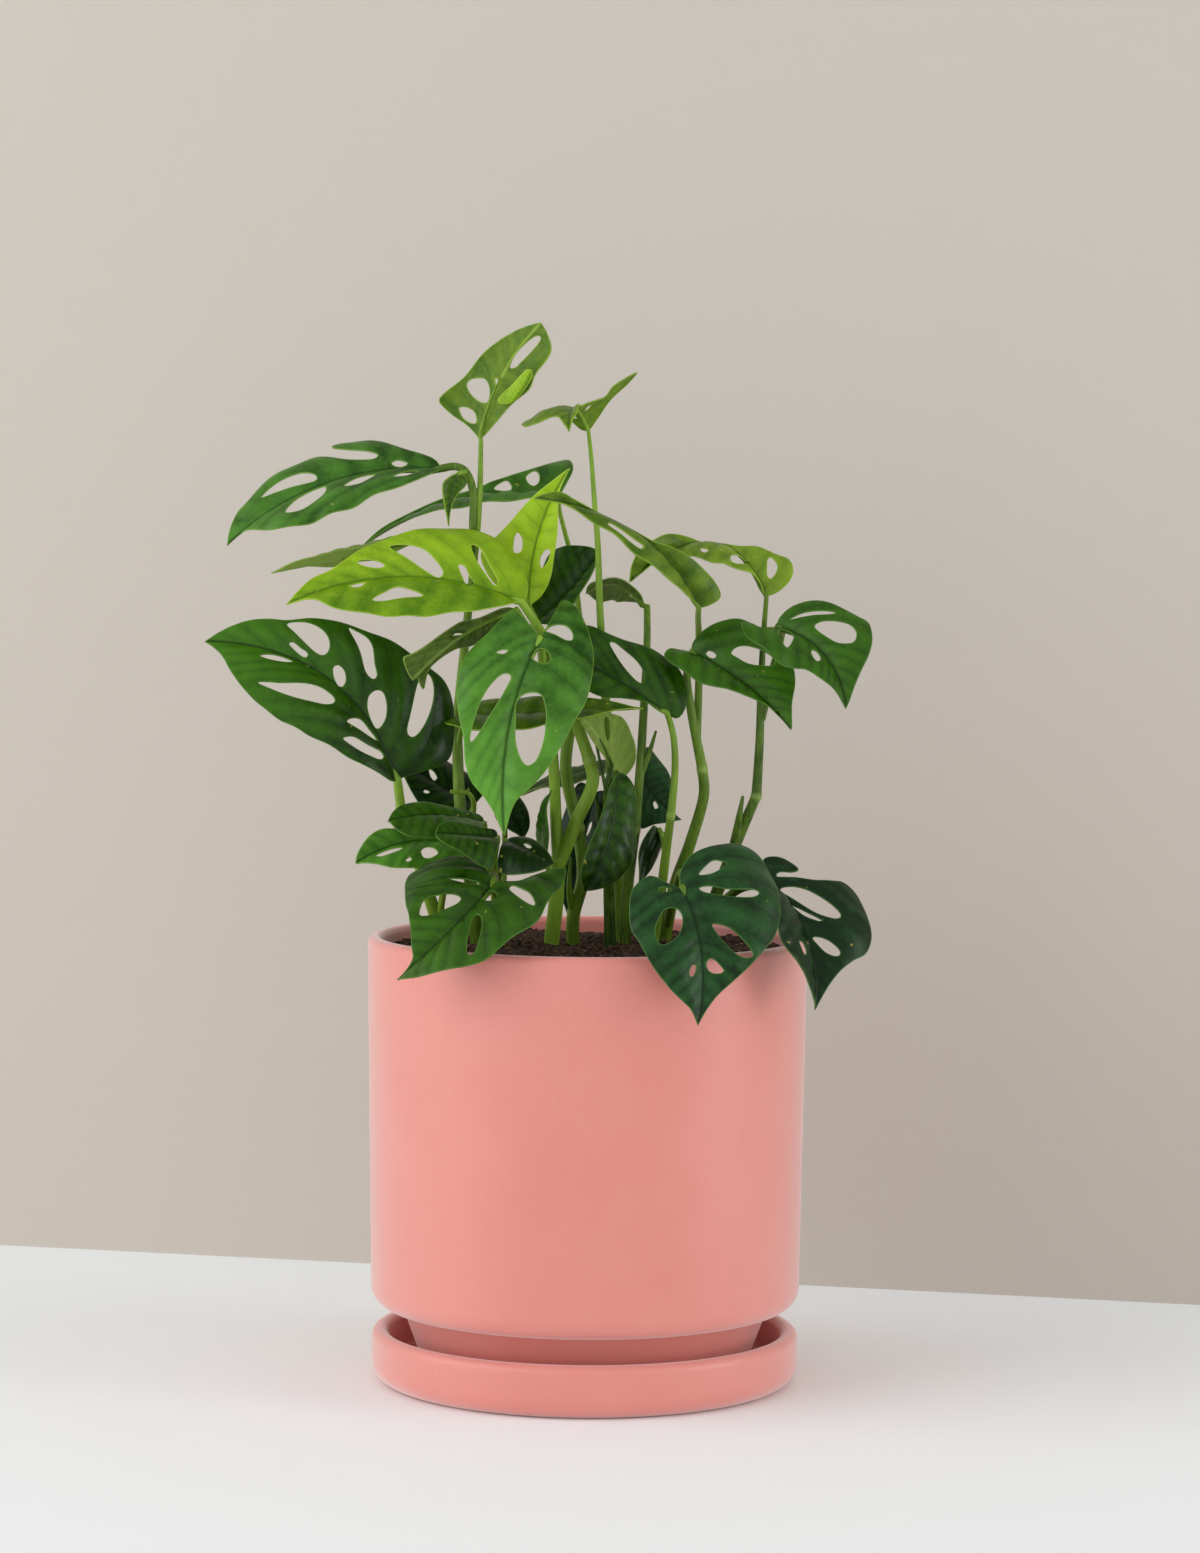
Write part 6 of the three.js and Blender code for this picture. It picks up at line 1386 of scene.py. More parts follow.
def stem_skin():
    material, tree, shader = new_material("green stem skin", STEM_TISSUE)
    where = add_node(tree, "ShaderNodeTexCoord").outputs["Object"]
    stretched = add_node(tree, "ShaderNodeMapping", {"Vector": where, "Scale": STREAK_STRETCH}).outputs[0]
    sockets = {"Vector": stretched, "Scale": STREAK_SCALE, "Detail": 2.0}
    streak = add_node(tree, "ShaderNodeTexNoise", sockets).outputs[0]
    patch = maths(tree, "MULTIPLY", speckle(tree, STEM_PATCH_SCALE), STEM_PATCH_DEPTH)
    height = add_node(tree, "ShaderNodeSeparateXYZ", {0: where}).outputs[2]
    joint = add_node(tree, "ShaderNodeAttribute", attribute_name="joint").outputs["Fac"]
    shade = add_node(tree, "ShaderNodeAttribute", attribute_name="shade").outputs["Fac"]
    tone = maths(tree, "ADD", ramp(tree, height, *STEM_RISE), patch)
    tone = maths(tree, "MULTIPLY_ADD", maths(tree, "SUBTRACT", streak, 0.5), STREAK_DEPTH, tone)
    tone = ramp(tree, maths(tree, "ADD", shade, tone), *STEM_BAND, smooth=False)
    base = mixed(tree, tone, linear(STEM_DEEP), linear(STEM_LIGHT))
    base = mixed(tree, maths(tree, "MULTIPLY", joint, JOINT_DEPTH), base, linear(JOINT_COLOUR))
    colour_and_relief(tree, shader, base, streak, *STEM_RELIEF)
    return material


# Pot and saucer: stoneware under a pink satin glaze, sprayed and fired, which leaves a fine orange peel
# about 1 mm across and a faint speckle
SATIN_GLAZE = {
    "IOR": 1.55, "Sheen Weight": 0.75, "Sheen Roughness": 0.45, "Subsurface Weight": 0.04,
    "Subsurface Radius": (1.0, 0.5, 0.4), "Subsurface Scale": 2.0 * MM,
}
GLAZE_RELIEF = (0.22, 0.25 * MM)
GLAZE_DEEP = "#da8277"
GLAZE_LIGHT = "#dc867b"
CLOUD = (25.0,)
CLOUD_BAND = (0.3, 0.7)
PEEL = (900.0, 1.0)
PEEL_GLOSS = (0.3, 0.7, 0.36, 0.46)
SPECK = (2600.0, 1.0)
SPECK_BAND = (0.58, 0.75, 0.0, 0.3)
SPECK_COLOUR = "#f0ab9f"


def satin_glaze():
    material, tree, shader = new_material("pink satin glaze on stoneware", SATIN_GLAZE)
    cloud = ramp(tree, speckle(tree, *CLOUD), *CLOUD_BAND)
    peel = speckle(tree, *PEEL)
    speck = ramp(tree, speckle(tree, *SPECK), *SPECK_BAND)
    base = mixed(tree, cloud, linear(GLAZE_DEEP), linear(GLAZE_LIGHT))
    base = mixed(tree, speck, base, linear(SPECK_COLOUR))
    colour_and_relief(tree, shader, base, peel, *GLAZE_RELIEF)
    tree.links.new(ramp(tree, peel, *PEEL_GLOSS), shader.inputs["Roughness"])
    return material


# Potting soil: damp peat and bark, matte and dark, its crumbs from black-brown to reddish
DAMP_MATTE = {"Roughness": 0.92, "IOR": 1.4}
PEAT_RELIEF = (0.6, 0.4 * MM)
PEAT_GRAIN = (3.0, 0.65)
PEAT_BAND = (0.35, 0.7)
PEAT_GRIT = (2200.0, 2.0)


def peat(name, dark, light, scale):
    material, tree, shader = new_material(name, DAMP_MATTE)
    grains = ramp(tree, speckle(tree, scale, *PEAT_GRAIN), *PEAT_BAND)
    base = mixed(tree, grains, linear(dark), linear(light))
    colour_and_relief(tree, shader, base, speckle(tree, *PEAT_GRIT), *PEAT_RELIEF)
    return material


# Drawing: from [across, up, depth] to a place in space, and back. Places are rows of an array, in mm.

def placed(drawn):
    across, up, depth = np.atleast_2d(np.array(drawn, float)).T
    u, v = across - SHEET_MIDDLE[0], up - SHEET_MIDDLE[1]
    k = 1 - depth / EYE[1]
    x = EYE[0] + (u - SHEET_LEAN * v) * k
    z = EYE[2] + (SHEET_MIDDLE[1] + v + SHEET_LEAN * u - EYE[2]) * k
    return np.column_stack([x, depth, z])


def seen(places):
    x, y, z = places.T
    k = 1 - y / EYE[1]
    u, v = (x - EYE[0]) / k, EYE[2] - SHEET_MIDDLE[1] + (z - EYE[2]) / k
    return np.column_stack([SHEET_MIDDLE[0] + u + SHEET_LEAN * v, SHEET_MIDDLE[1] + v - SHEET_LEAN * u])


def smooth(points, closed, step):
    """A smooth curve through flat points, cut about every step."""
    count = len(points)
    points = np.array(points, float)
    curve = []
    for i in range(count if closed else count - 1):
        picks = [i - 1, i, i + 1, i + 2]
        picks = [j % count if closed else min(max(j, 0), count - 1) for j in picks]
        a, b, c, d = points[picks]
        cuts = max(1, round(math.dist(b, c) / step))
        for t in np.arange(cuts) / cuts:
            bend = 2 * a - 5 * b + 4 * c - d + t * (3 * (b - c) + d - a)
            curve.append(b + 0.5 * t * (c - a + t * bend))
    if not closed:
        curve.append(points[-1])
    return np.array(curve)


def unit(rows):
    return rows / np.linalg.norm(rows, axis=-1, keepdims=True)


def dots(a, b):
    return np.sum(a * b, axis=-1, keepdims=True)


# A leaf blade: two halves that leave the midrib, each with its own lean, arch and turn

class Half:
    def __init__(self, edge, at=0.38, arch=0.1, turn=0, margin=None, holes=(), lobe=0.1, full=0.12):
        self.edge, self.at, self.arch, self.turn = edge, at, arch, math.radians(turn)
        self.drawn_margin, self.drawn_holes = margin, holes
        self.lobe, self.full = lobe, full


class Leaf:
    def __init__(self, rib, right, left, **_):
        base, middle, tip = placed(rib)
        near, far = math.dist(base, middle), math.dist(middle, tip)
        m = near / (near + far)
        handle = (middle - base * (1 - m) ** 2 - tip * m**2) / (2 * m * (1 - m))
        self.ends = seen(np.array([base, tip]))
        self.curve = base, handle, tip
        self.cuts = np.linspace(0, 1, RIB_CUTS + 1)
        steps = np.linalg.norm(np.diff(self.at(self.cuts), axis=0), axis=1)
        self.lengths = np.concatenate([[0], np.cumsum(steps)])
        self.length = self.lengths[-1]
        self.halves = [self.half(Half(**right), 1), self.half(Half(**left), -1)]

    def at(self, t):
        t = np.reshape(t, (-1, 1))
        base, handle, tip = self.curve
        return base * (1 - t) ** 2 + handle * 2 * t * (1 - t) + tip * t**2

    def below(self, share, drop):
        """A place under the midrib at a share of its length, drop mm below the sheet's middle."""
        start, tangent = self.walk(share)
        facing = sum(unit(np.cross(half.lean, tangent)) * half.sign for half in self.halves)
        return (start - unit(facing) * drop)[0]

    def walk(self, share):
        """Place and direction of the midrib at a share of its length."""
        t = np.interp(np.ravel(share) * self.length, self.lengths, self.cuts)
        base, handle, tip = self.curve
        direction = np.outer(1 - t, handle - base) + np.outer(t, tip - handle)
        return self.at(t), unit(direction)

    def half(self, half, sign):
        start, along = self.walk(half.at)
        lean = placed(half.edge) - start
        lean -= along * dots(lean, along)
        half.sign = sign
        half.width = float(np.linalg.norm(lean))
        half.arch *= half.width
        half.lean = unit(lean)
        if half.drawn_margin:
            margin = self.flat(half, half.drawn_margin)
        else:
            margin = general_margin(self.length, half)
        half.margin = smooth([(0, 0), *margin, (self.length, 0)], False, MARGIN_STEP)
        half.holes = [smooth(self.flat(half, hole), True, HOLE_STEP) for hole in half.drawn_holes]
        return half

    def place(self, half, flat, rise=0.0):
        """The places of flat points [along the rib, out from it], raised off the blade by rise."""
        along, out = flat.T
        share = np.clip(along / self.length, 0, 1)
        start, tangent = self.walk(share)
        lean = unit(half.lean - tangent * dots(half.lean, tangent))
        angle = (half.turn * (share - half.at))[:, None]
        lean = lean * np.cos(angle) + np.cross(tangent, lean) * np.sin(angle)
        normal = np.cross(lean, tangent) * half.sign
        back = np.minimum(along, 0) / LOBE_CURL
        beyond = np.maximum(along - self.length, 0)
        t = out / half.width
        arched = 4 * half.arch * t * (1 - t) - LOBE_CURL * (1 - np.cos(back)) + rise
        ahead = (LOBE_CURL * np.sin(back) + beyond)[:, None]
        return start + tangent * ahead + lean * out[:, None] + normal * arched[:, None]

    def flat(self, half, drawn):
        """The flat points that are seen at [across, up]: damped steps towards them on the drawing.

        Where a fold shows two places there, a third number is the share of the midrib at which
        the steps start.
        """
        told = np.array([len(point) > 2 for point in drawn])
        share = np.array([point[2] if len(point) > 2 else 0 for point in drawn], float)
        drawn = np.array([point[:2] for point in drawn], float)
        axis = self.ends[1] - self.ends[0]
        along = np.where(told, share, (drawn - self.ends[0]) @ axis / (axis @ axis))
        out = np.where(told, FOLD_START, USUAL_START)
        flat = np.column_stack([along * self.length, out * half.width])
        for _ in range(SEARCH_STEPS):
            here = seen(self.place(half, flat))
            slope_a = (seen(self.place(half, flat + (PROBE, 0))) - here) / PROBE
            slope_o = (seen(self.place(half, flat + (0, PROBE))) - here) / PROBE
            missing = drawn - here
            p = np.sum(slope_a**2, axis=1) + STEP_DAMPING
            q = np.sum(slope_a * slope_o, axis=1)
            r = np.sum(slope_o**2, axis=1) + STEP_DAMPING
            s, t = np.sum(slope_a * missing, axis=1), np.sum(slope_o * missing, axis=1)
            flat[:, 0] += (r * s - q * t) / (p * r - q * q)
            flat[:, 1] += (p * t - q * s) / (p * r - q * q)
            flat[:, 1] = np.clip(flat[:, 1], OUT_LEAST, OUT_MOST * half.width)
        return flat


def general_margin(length, half):
    """A heart-shaped half: round at the base, widest at one share, drawn out to a tip.

    Its outline is told in shares of the midrib's length and of the half's width.
    """
    widest, lobe, full = half.at, half.lobe, half.full
    rest = 1 - widest
    outline = [
        (-0.6 * lobe, 0.14), (-lobe, 0.42), (-0.5 * lobe, 0.72), (0.45 * widest, 0.94), (widest, 1),
        (widest + 0.33 * rest, 0.83), (widest + 0.62 * rest, 0.42 + full),
        (widest + 0.86 * rest, 0.1 + full / 2),
    ]
    return [(along * length, out * half.width) for along, out in outline]


# Lateral veins. A vein leaves the midrib at a share of its length, leans forward and bends towards the tip.
# The veins run between the holes, so each half takes their lean and their places from its own holes.

def vein_share(leaf, half, flat, lean, more):
    along, out = flat.T
    bend = VEIN_BEND * out**2 / half.width
    return (along - out * lean - bend) / (leaf.length + out * more)


def vein_lean(leaf, half):
    """The lean that fits the long holes, held near the usual one."""
    rows, leans, weights = [(1, 0), (0, 1)], [VEIN_LEAN_BASE, VEIN_LEAN_MORE], [1.0, 1.0]
    for hole in half.holes:
        middle = hole.mean(axis=0)
        spread, axes = np.linalg.eigh(np.cov((hole - middle).T))
        longness = math.sqrt(spread[1] / max(spread[0], TINY))
        along, out = axes[:, 1] * (1 if axes[1, 1] >= 0 else -1)
        if longness < LONG_HOLE or abs(out) < OUTWARD_HOLE:
            continue
        share = vein_share(leaf, half, middle[None], VEIN_LEAN_BASE, VEIN_LEAN_MORE)[0]
        rows.append((1, min(max(share, 0), 1)))
        leans.append(along / out - 2 * VEIN_BEND * middle[1] / half.width)
        weights.append(min(longness - 1, 2.0))
    weights = np.array(weights)
    rows = np.array(rows) * weights[:, None]
    lean, more = np.linalg.lstsq(rows, np.array(leans) * weights, rcond=None)[0]
    return lean, np.clip(more, *MORE_LIMITS)


def vein_shares(leaf, half, lean, more):
    """Where the lateral veins leave the midrib: at both sides of each hole, and evenly between."""
    spans = sorted(
        (shares.min() - VEIN_CLEAR, shares.max() + VEIN_CLEAR)
        for shares in (vein_share(leaf, half, hole, lean, more) for hole in half.holes)
    )
    fields = []
    for low, high in spans:
        if fields:
            last = fields[-1]
            overlap = FIELD_OVERLAP * min(high - low, last[1] - last[0])
            if low < last[1] - overlap:
                last[1] = max(last[1], high)
                continue
        fields.append([low, high])
    for before, after in zip(fields, fields[1:]):
        if after[0] - before[1] < VEIN_PITCH / 2:
            before[1] = after[0] = (before[1] + after[0]) / 2
    shares = []
    last = FIRST_VEIN
    for low, high in [*fields, [LAST_VEIN, LAST_VEIN]]:
        even = max(1, round((low - last) / VEIN_PITCH))
        shares += [last + (low - last) * i / even for i in range(even)] if low - last > TINY else []
        shares.append(low)
        last = high
    return np.unique(np.round(shares + [field[1] for field in fields], 5))


# Meshing a half blade: its outline, holes and inner points joined by a constrained triangulation

def inside(points, loop):
    """Which points lie inside a closed loop."""
    x, y = points.T
    x1, y1 = loop.T
    x2, y2 = np.roll(loop, -1, axis=0).T
    crosses = (y1 > y[:, None]) != (y2 > y[:, None])
    with np.errstate(divide="ignore", invalid="ignore"):
        reach = (x2 - x1) * (y[:, None] - y1) / (y2 - y1) + x1
    return np.sum(crosses & (x[:, None] < reach), axis=1) % 2 == 1


def distance_to(points, starts, ends):
    """Each point's distance to the nearest of some straight stretches."""
    course = ends - starts
    from_start = points[:, None] - starts
    square = np.maximum(np.sum(course**2, axis=1), TINY_SQUARE)
    t = np.clip(np.sum(from_start * course, axis=2) / square, 0, 1)
    return np.min(np.linalg.norm(from_start - t[..., None] * course, axis=2), axis=1)


def mesh_half(leaf, half):
    """Flat points, triangles, and each point's distance from the cut edges."""
    count = max(LEAST_RIB_CUTS, round(leaf.length / MARGIN_STEP))
    rib = np.column_stack([leaf.length * (1 - np.arange(1, count) / count), np.zeros(count - 1)])
    outline = np.vstack([half.margin, rib])
    loops = [outline, *half.holes]
    open_edges = [(half.margin[:-1], half.margin[1:])] + [(h, np.roll(h, -1, axis=0)) for h in half.holes]
    starts, ends = (np.vstack(parts) for parts in zip(*open_edges))

    low, high = outline.min(axis=0), outline.max(axis=0)
    grid = []
    for row, out in enumerate(np.arange(low[1], high[1], ROW_STEP)):
        along = np.arange(low[0] + (row % 2) * INNER_STEP / 2, high[0], INNER_STEP)
        grid.append(np.column_stack([along, np.full(len(along), out)]))
    grid = np.vstack(grid)
    band = []
    for loop in [half.margin, *half.holes]:
        course = unit(np.roll(loop, -1, axis=0) - np.roll(loop, 1, axis=0) + TINY_COURSE)
        across = np.column_stack([-course[:, 1], course[:, 0]])
        band += [loop + across * EDGE_BAND, loop - across * EDGE_BAND]
    band = np.vstack(band)

    def within(points, clear):
        keep = inside(points, outline)
        for hole in half.holes:
            keep &= ~inside(points, hole)
        points = points[keep]
        off_rib = points[:, 1] > RIB_SHARE * clear
        return points[(distance_to(points, starts, ends) > clear) & off_rib]

    inner = np.vstack([within(grid, INNER_CLEAR), within(band, BAND_CLEAR)])
    points = np.vstack([*loops, inner])
    edges, first = [], 0
    for loop in loops:
        edges += [(first + i, first + (i + 1) % len(loop)) for i in range(len(loop))]
        first += len(loop)
    made = delaunay_2d_cdt([Vector(p) for p in points], edges, [], 1, SAME_PLACE)
    flat = np.array([tuple(v) for v in made[0]])
    triangles = np.array([tuple(face) for face in made[2]])
    middles = flat[triangles].mean(axis=1)
    keep = inside(middles, outline)
    for hole in half.holes:
        keep &= ~inside(middles, hole)
    return flat, triangles[keep], distance_to(flat, starts, ends)


def blade_relief(half, flat, number, rim):
    """How far the upper face swells between its veins, sinks at the midrib and waves at its margin."""
    along, out = flat.T
    off = np.abs(number - np.round(number)) * 2
    quilt = (1 - (1 - off) ** 2) * np.clip(out / QUILT_START, 0, 1) * np.clip(rim / QUILT_END, 0, 1)
    sunk = np.exp(-((out / RIB_FLANK) ** 2))
    wave = np.sin(2 * math.pi * along / WAVE_LENGTH + half.sign) * np.clip(out / half.width, 0, 1) ** 2
    return QUILT_RISE * quilt - RIB_SINK * sunk + MARGIN_WAVE * wave * min(1, half.width / FULL_WAVE_WIDTH)


def half_surface(leaf, half, shade):
    """One half's places, its triangles, and for each point its two sets of skin values."""
    flat, triangles, rim = mesh_half(leaf, half)
    lean, more = vein_lean(leaf, half)
    shares = vein_shares(leaf, half, lean, more)
    share = np.clip(vein_share(leaf, half, flat, lean, more), shares[0], shares[-1])
    number = np.interp(share, shares, np.arange(len(shares)))
    gaps = np.diff(shares)
    spacing = gaps[np.clip(number.astype(int), 0, len(gaps) - 1)] * leaf.length
    places = leaf.place(half, flat, blade_relief(half, flat, number, rim))
    veins = np.column_stack([number, flat[:, 1], spacing])
    at_base, at_tip, on_right = (*shade, 0)[:3]
    along = np.clip(flat[:, 0] / leaf.length, 0, 1)
    beside = half.sign * np.clip(flat[:, 1] / HALF_SHADE_WIDTH, 0, 1)
    tone = at_base + (at_tip - at_base) * along + on_right * beside
    edges = np.column_stack([rim, tone, np.zeros(len(rim))])
    if half.sign > 0:
        triangles = triangles[:, ::-1]
    return flat, places, triangles, veins, edges


def make_blade(name, spec):
    """A leaf as one closed sheet: an upper face, an underside and a strip round each cut edge."""
    leaf = Leaf(**spec)
    places, triangles, veins, edges = [], [], [], []
    known, count = {}, 0
    for half in leaf.halves:
        flat, where, faces, half_veins, half_edges = half_surface(leaf, half, spec["shade"])
        ids = []
        for point, place in zip(flat, where):
            key = ("rib", round(point[0], 3)) if point[1] < ON_RIB else count + len(ids)
            if key not in known:
                known[key] = len(places)
                places.append(place)
            ids.append(known[key])
        count += len(flat)
        triangles.append(np.array(ids)[faces])
        veins.append(half_veins[faces])
        edges.append(half_edges[faces])
    places, triangles = np.array(places), np.vstack(triangles)
    veins, edges = np.vstack(veins), np.vstack(edges)

    normals = np.zeros_like(places)
    a, b, c = (places[triangles[:, i]] for i in range(3))
    facing = np.cross(b - a, c - a)
    for i in range(3):
        np.add.at(normals, triangles[:, i], facing)
    normals = unit(normals)

    total = len(places)
    upper, lower = places + normals * BLADE / 2, places - normals * BLADE / 2
    directed = {}
    for t, (p, q, r) in enumerate(triangles.tolist()):
        directed[p, q], directed[q, r], directed[r, p] = (t, 0, 1), (t, 1, 2), (t, 2, 0)
    rims = [(pair, found) for pair, found in directed.items() if pair[::-1] not in directed]
    polygons = triangles.tolist() + (triangles[:, ::-1] + total).tolist()
    polygons += [(q, p, p + total, q + total) for (p, q), _ in rims]
    strips = [(t, (j, i, i, j)) for _, (t, i, j) in rims]
    corner_veins = [veins.reshape(-1, 3), veins[:, ::-1].reshape(-1, 3)]
    corner_edges = [edges.reshape(-1, 3), edges[:, ::-1].reshape(-1, 3)]
    corner_veins += [veins[t, list(corners)] for t, corners in strips]
    corner_edges += [edges[t, list(corners)] for t, corners in strips]

    mesh = bpy.data.meshes.new(name)
    mesh.from_pydata((np.vstack([upper, lower]) * MM).tolist(), [], polygons)
    for label, values in (("veins", corner_veins), ("edges", corner_edges)):
        layer = mesh.attributes.new(label, "FLOAT_VECTOR", "CORNER")
        layer.data.foreach_set("vector", np.vstack(values).astype(np.float32).ravel())
    for skin in skins[spec["green"]]:
        mesh.materials.append(skin)
    below = [0] * len(triangles) + [1] * len(triangles) + [0] * len(rims)
    mesh.polygons.foreach_set("material_index", below)
    mesh.shade_smooth()
    mesh.validate()
    return linked(name, mesh)


# Stems: one tree turns each shoot's centre lines into round stems that swell a little at their joints

def spline(points, step):
    """A centripetal curve through places, cut about every step, with each cut's share of the way."""
    points = np.array(points, float)
    before, after = 2 * points[0] - points[1], 2 * points[-1] - points[-2]
    points = np.vstack([before, points, after])
    curve = []
    for i in range(1, len(points) - 2):
        a, b, c, d = points[i - 1:i + 3]
        ta = 0.0
        tb = ta + math.dist(a, b) ** 0.5
        tc = tb + math.dist(b, c) ** 0.5
        td = tc + math.dist(c, d) ** 0.5
        cuts = max(1, round(math.dist(b, c) / step))
        for t in tb + (tc - tb) * np.arange(cuts) / cuts:
            ab = a * (tb - t) / (tb - ta) + b * (t - ta) / (tb - ta)
            bc = b * (tc - t) / (tc - tb) + c * (t - tb) / (tc - tb)
            cd = c * (td - t) / (td - tc) + d * (t - tc) / (td - tc)
            abc = ab * (tc - t) / (tc - ta) + bc * (t - ta) / (tc - ta)
            bcd = bc * (td - t) / (td - tb) + cd * (t - tb) / (td - tb)
            curve.append(abc * (tc - t) / (tc - tb) + bcd * (t - tb) / (tc - tb))
    curve.append(points[-2])
    return np.array(curve)


def stem_line(stem):
    """A stem's centre line, its radius and its joints along it."""
    spec = LEAVES.get(stem.get("leaf"))
    drawn = stem["path"] + (spec["rib"][:1] if spec else [])
    points = placed(drawn)
    if stem.get("soil"):
        slope = (points[0, 0] - points[1, 0]) / (points[1, 2] - points[0, 2])
        foot = (points[0, 0] + 0.5 * slope * STEM_DEPTH, points[0, 1], SOIL_TOP - STEM_DEPTH)
        points = np.vstack([foot, points])
    knees = sorted({0, len(points) - 1, *(i + len(points) - len(drawn) for i in stem.get("joints", ()))})
    pieces = [spline(points[a:b + 1], TUBE_STEP) for a, b in zip(knees, knees[1:])]
    line = np.vstack([pieces[0], *(piece[1:] for piece in pieces[1:])])
    gone = np.concatenate([[0], np.cumsum(np.linalg.norm(np.diff(line, axis=0), axis=1))])
    radius = stem["start"] + (stem["end"] - stem["start"]) * gone / gone[-1]
    if spec:
        line, gone, radius = with_midrib(line, gone, radius, Leaf(**spec))
    joints = np.zeros(len(line))
    for index in stem.get("joints", ()):
        place = placed([stem["path"][index]])[0]
        at = gone[np.argmin(np.linalg.norm(line - place, axis=1))]
        joints = np.maximum(joints, np.exp(-(((gone - at) / JOINT_LENGTH) ** 2)))
    return line, radius * (1 + JOINT_SWELL * joints), joints


def with_midrib(line, gone, radius, leaf):
    """A petiole's line that goes on under its blade as a midrib, thinning as it goes."""
    count = max(LEAST_MIDRIB_CUTS, round(leaf.length * MIDRIB_REACH / (2 * TUBE_STEP)))
    shares = np.linspace(0, 1, count + 1)[1:]
    thick = radius[-1] + (MIDRIB_END - radius[-1]) * shares**MIDRIB_TAPER
    drops = (thick + RIB_SINK) * np.clip(shares * MIDRIB_DIVE, 0, 1)
    ahead = np.array([leaf.below(share * MIDRIB_REACH, drop) for share, drop in zip(shares, drops)])
    steps = np.linalg.norm(np.diff(np.vstack([line[-1:], ahead]), axis=0), axis=1)
    further = gone[-1] + np.cumsum(steps)
    return np.vstack([line, ahead]), np.concatenate([gone, further]), np.concatenate([radius, thick])


def stem_tree(skin):
    tree = bpy.data.node_groups.new("round_stems", "GeometryNodeTree")
    tree.interface.new_socket("Centre lines", in_out="INPUT", socket_type="NodeSocketGeometry")
    tree.interface.new_socket("Sides", in_out="INPUT", socket_type="NodeSocketInt")
    tree.interface.new_socket("Stems", in_out="OUTPUT", socket_type="NodeSocketGeometry")
    given = add_node(tree, "NodeGroupInput").outputs
    lines = add_node(tree, "GeometryNodeMeshToCurve", {"Mesh": given["Centre lines"]}).outputs[0]
    circle = {"Resolution": given["Sides"], "Radius": 1.0}
    ring = add_node(tree, "GeometryNodeCurvePrimitiveCircle", circle).outputs[0]
    radius = add_node(tree, "GeometryNodeInputNamedAttribute", {"Name": "radius"}).outputs[0]
    sockets = {"Curve": lines, "Profile Curve": ring, "Scale": radius, "Fill Caps": True}
    tubes = add_node(tree, "GeometryNodeCurveToMesh", sockets).outputs[0]
    smoothed = add_node(tree, "GeometryNodeSetShadeSmooth", {"Geometry": tubes}).outputs[0]
    real = add_node(tree, "GeometryNodeRealizeInstances", {"Geometry": smoothed}).outputs[0]
    dressed = add_node(tree, "GeometryNodeSetMaterial", {"Geometry": real, "Material": skin}).outputs[0]
    add_node(tree, "NodeGroupOutput", {"Stems": dressed})
    return tree


def grown(name, source, tree, **inputs):
    """The plain mesh that a tree makes of a source mesh, as a new object."""
    seed = linked(name + "_source", source)
    modifier = seed.modifiers.new("grow", "NODES")
    modifier.node_group = tree
    sockets = {s.name: s.identifier for s in tree.interface.items_tree if s.in_out == "INPUT"}
    for label, value in inputs.items():
        modifier[sockets[label]] = value
    mesh = bpy.data.meshes.new_from_object(seed.evaluated_get(bpy.context.evaluated_depsgraph_get()))
    mesh.name = name
    seed.modifiers.remove(modifier)
    bpy.data.objects.remove(seed)
    return linked(name, mesh)


def make_shoot(name, stems, tree, shade):
    lines = [stem_line(stem) for stem in stems]
    edges, shades, first = [], [], 0
    for stem, (line, _, _) in zip(stems, lines):
        edges += [(first + i, first + i + 1) for i in range(len(line) - 1)]
        shades.append(np.full(len(line), shade + stem.get("shade", 0.0)))
        first += len(line)
    places, radii, joints = (np.concatenate(parts) for parts in zip(*lines))
    mesh = bpy.data.meshes.new(name + "_lines")
    mesh.from_pydata((places * MM).tolist(), edges, [])
    for label, values in (("radius", radii * MM), ("joint", joints), ("shade", np.concatenate(shades))):
        mesh.attributes.new(label, "FLOAT", "POINT").data.foreach_set("value", values)
    return grown(name, mesh, tree, Sides=TUBE_SIDES)


# Pot, saucer and soil: profiles of (radius, height) in mm turned round the axis

def arc(centre, radius, start, end, steps):
    """Points on an arc from one angle to another, in degrees."""
    angles = np.radians(np.linspace(start, end, steps + 1))
    return [(centre[0] + radius * math.cos(a), centre[1] + radius * math.sin(a)) for a in angles]


def shaped(name, places, polygons, material):
    """A smooth mesh of one material."""
    mesh = bpy.data.meshes.new(name)
    mesh.from_pydata(places, [], polygons)
    mesh.materials.append(material)
    mesh.shade_smooth()
    return linked(name, mesh)


def turned(name, profile, material):
    """A closed profile turned round the axis. A profile point on the axis becomes one pole."""
    places, rings = [], []
    for radius, height in profile:
        sides = ROUND_SIDES if radius > TINY else 1
        angles = 2 * math.pi * np.arange(sides) / sides
        rings.append([len(places) + i for i in range(sides)])
        places += [(radius * math.cos(a) * MM, radius * math.sin(a) * MM, height * MM) for a in angles]
    polygons = []
    for below, above in zip(rings, rings[1:] + rings[:1]):
        for i in range(ROUND_SIDES):
            j = (i + 1) % ROUND_SIDES
            corners = [below[k % len(below)] for k in (i, j)] + [above[k % len(above)] for k in (j, i)]
            corners = list(dict.fromkeys(corners))
            if len(corners) > 2:
                polygons.append(corners)
    return shaped(name, places, polygons, material)


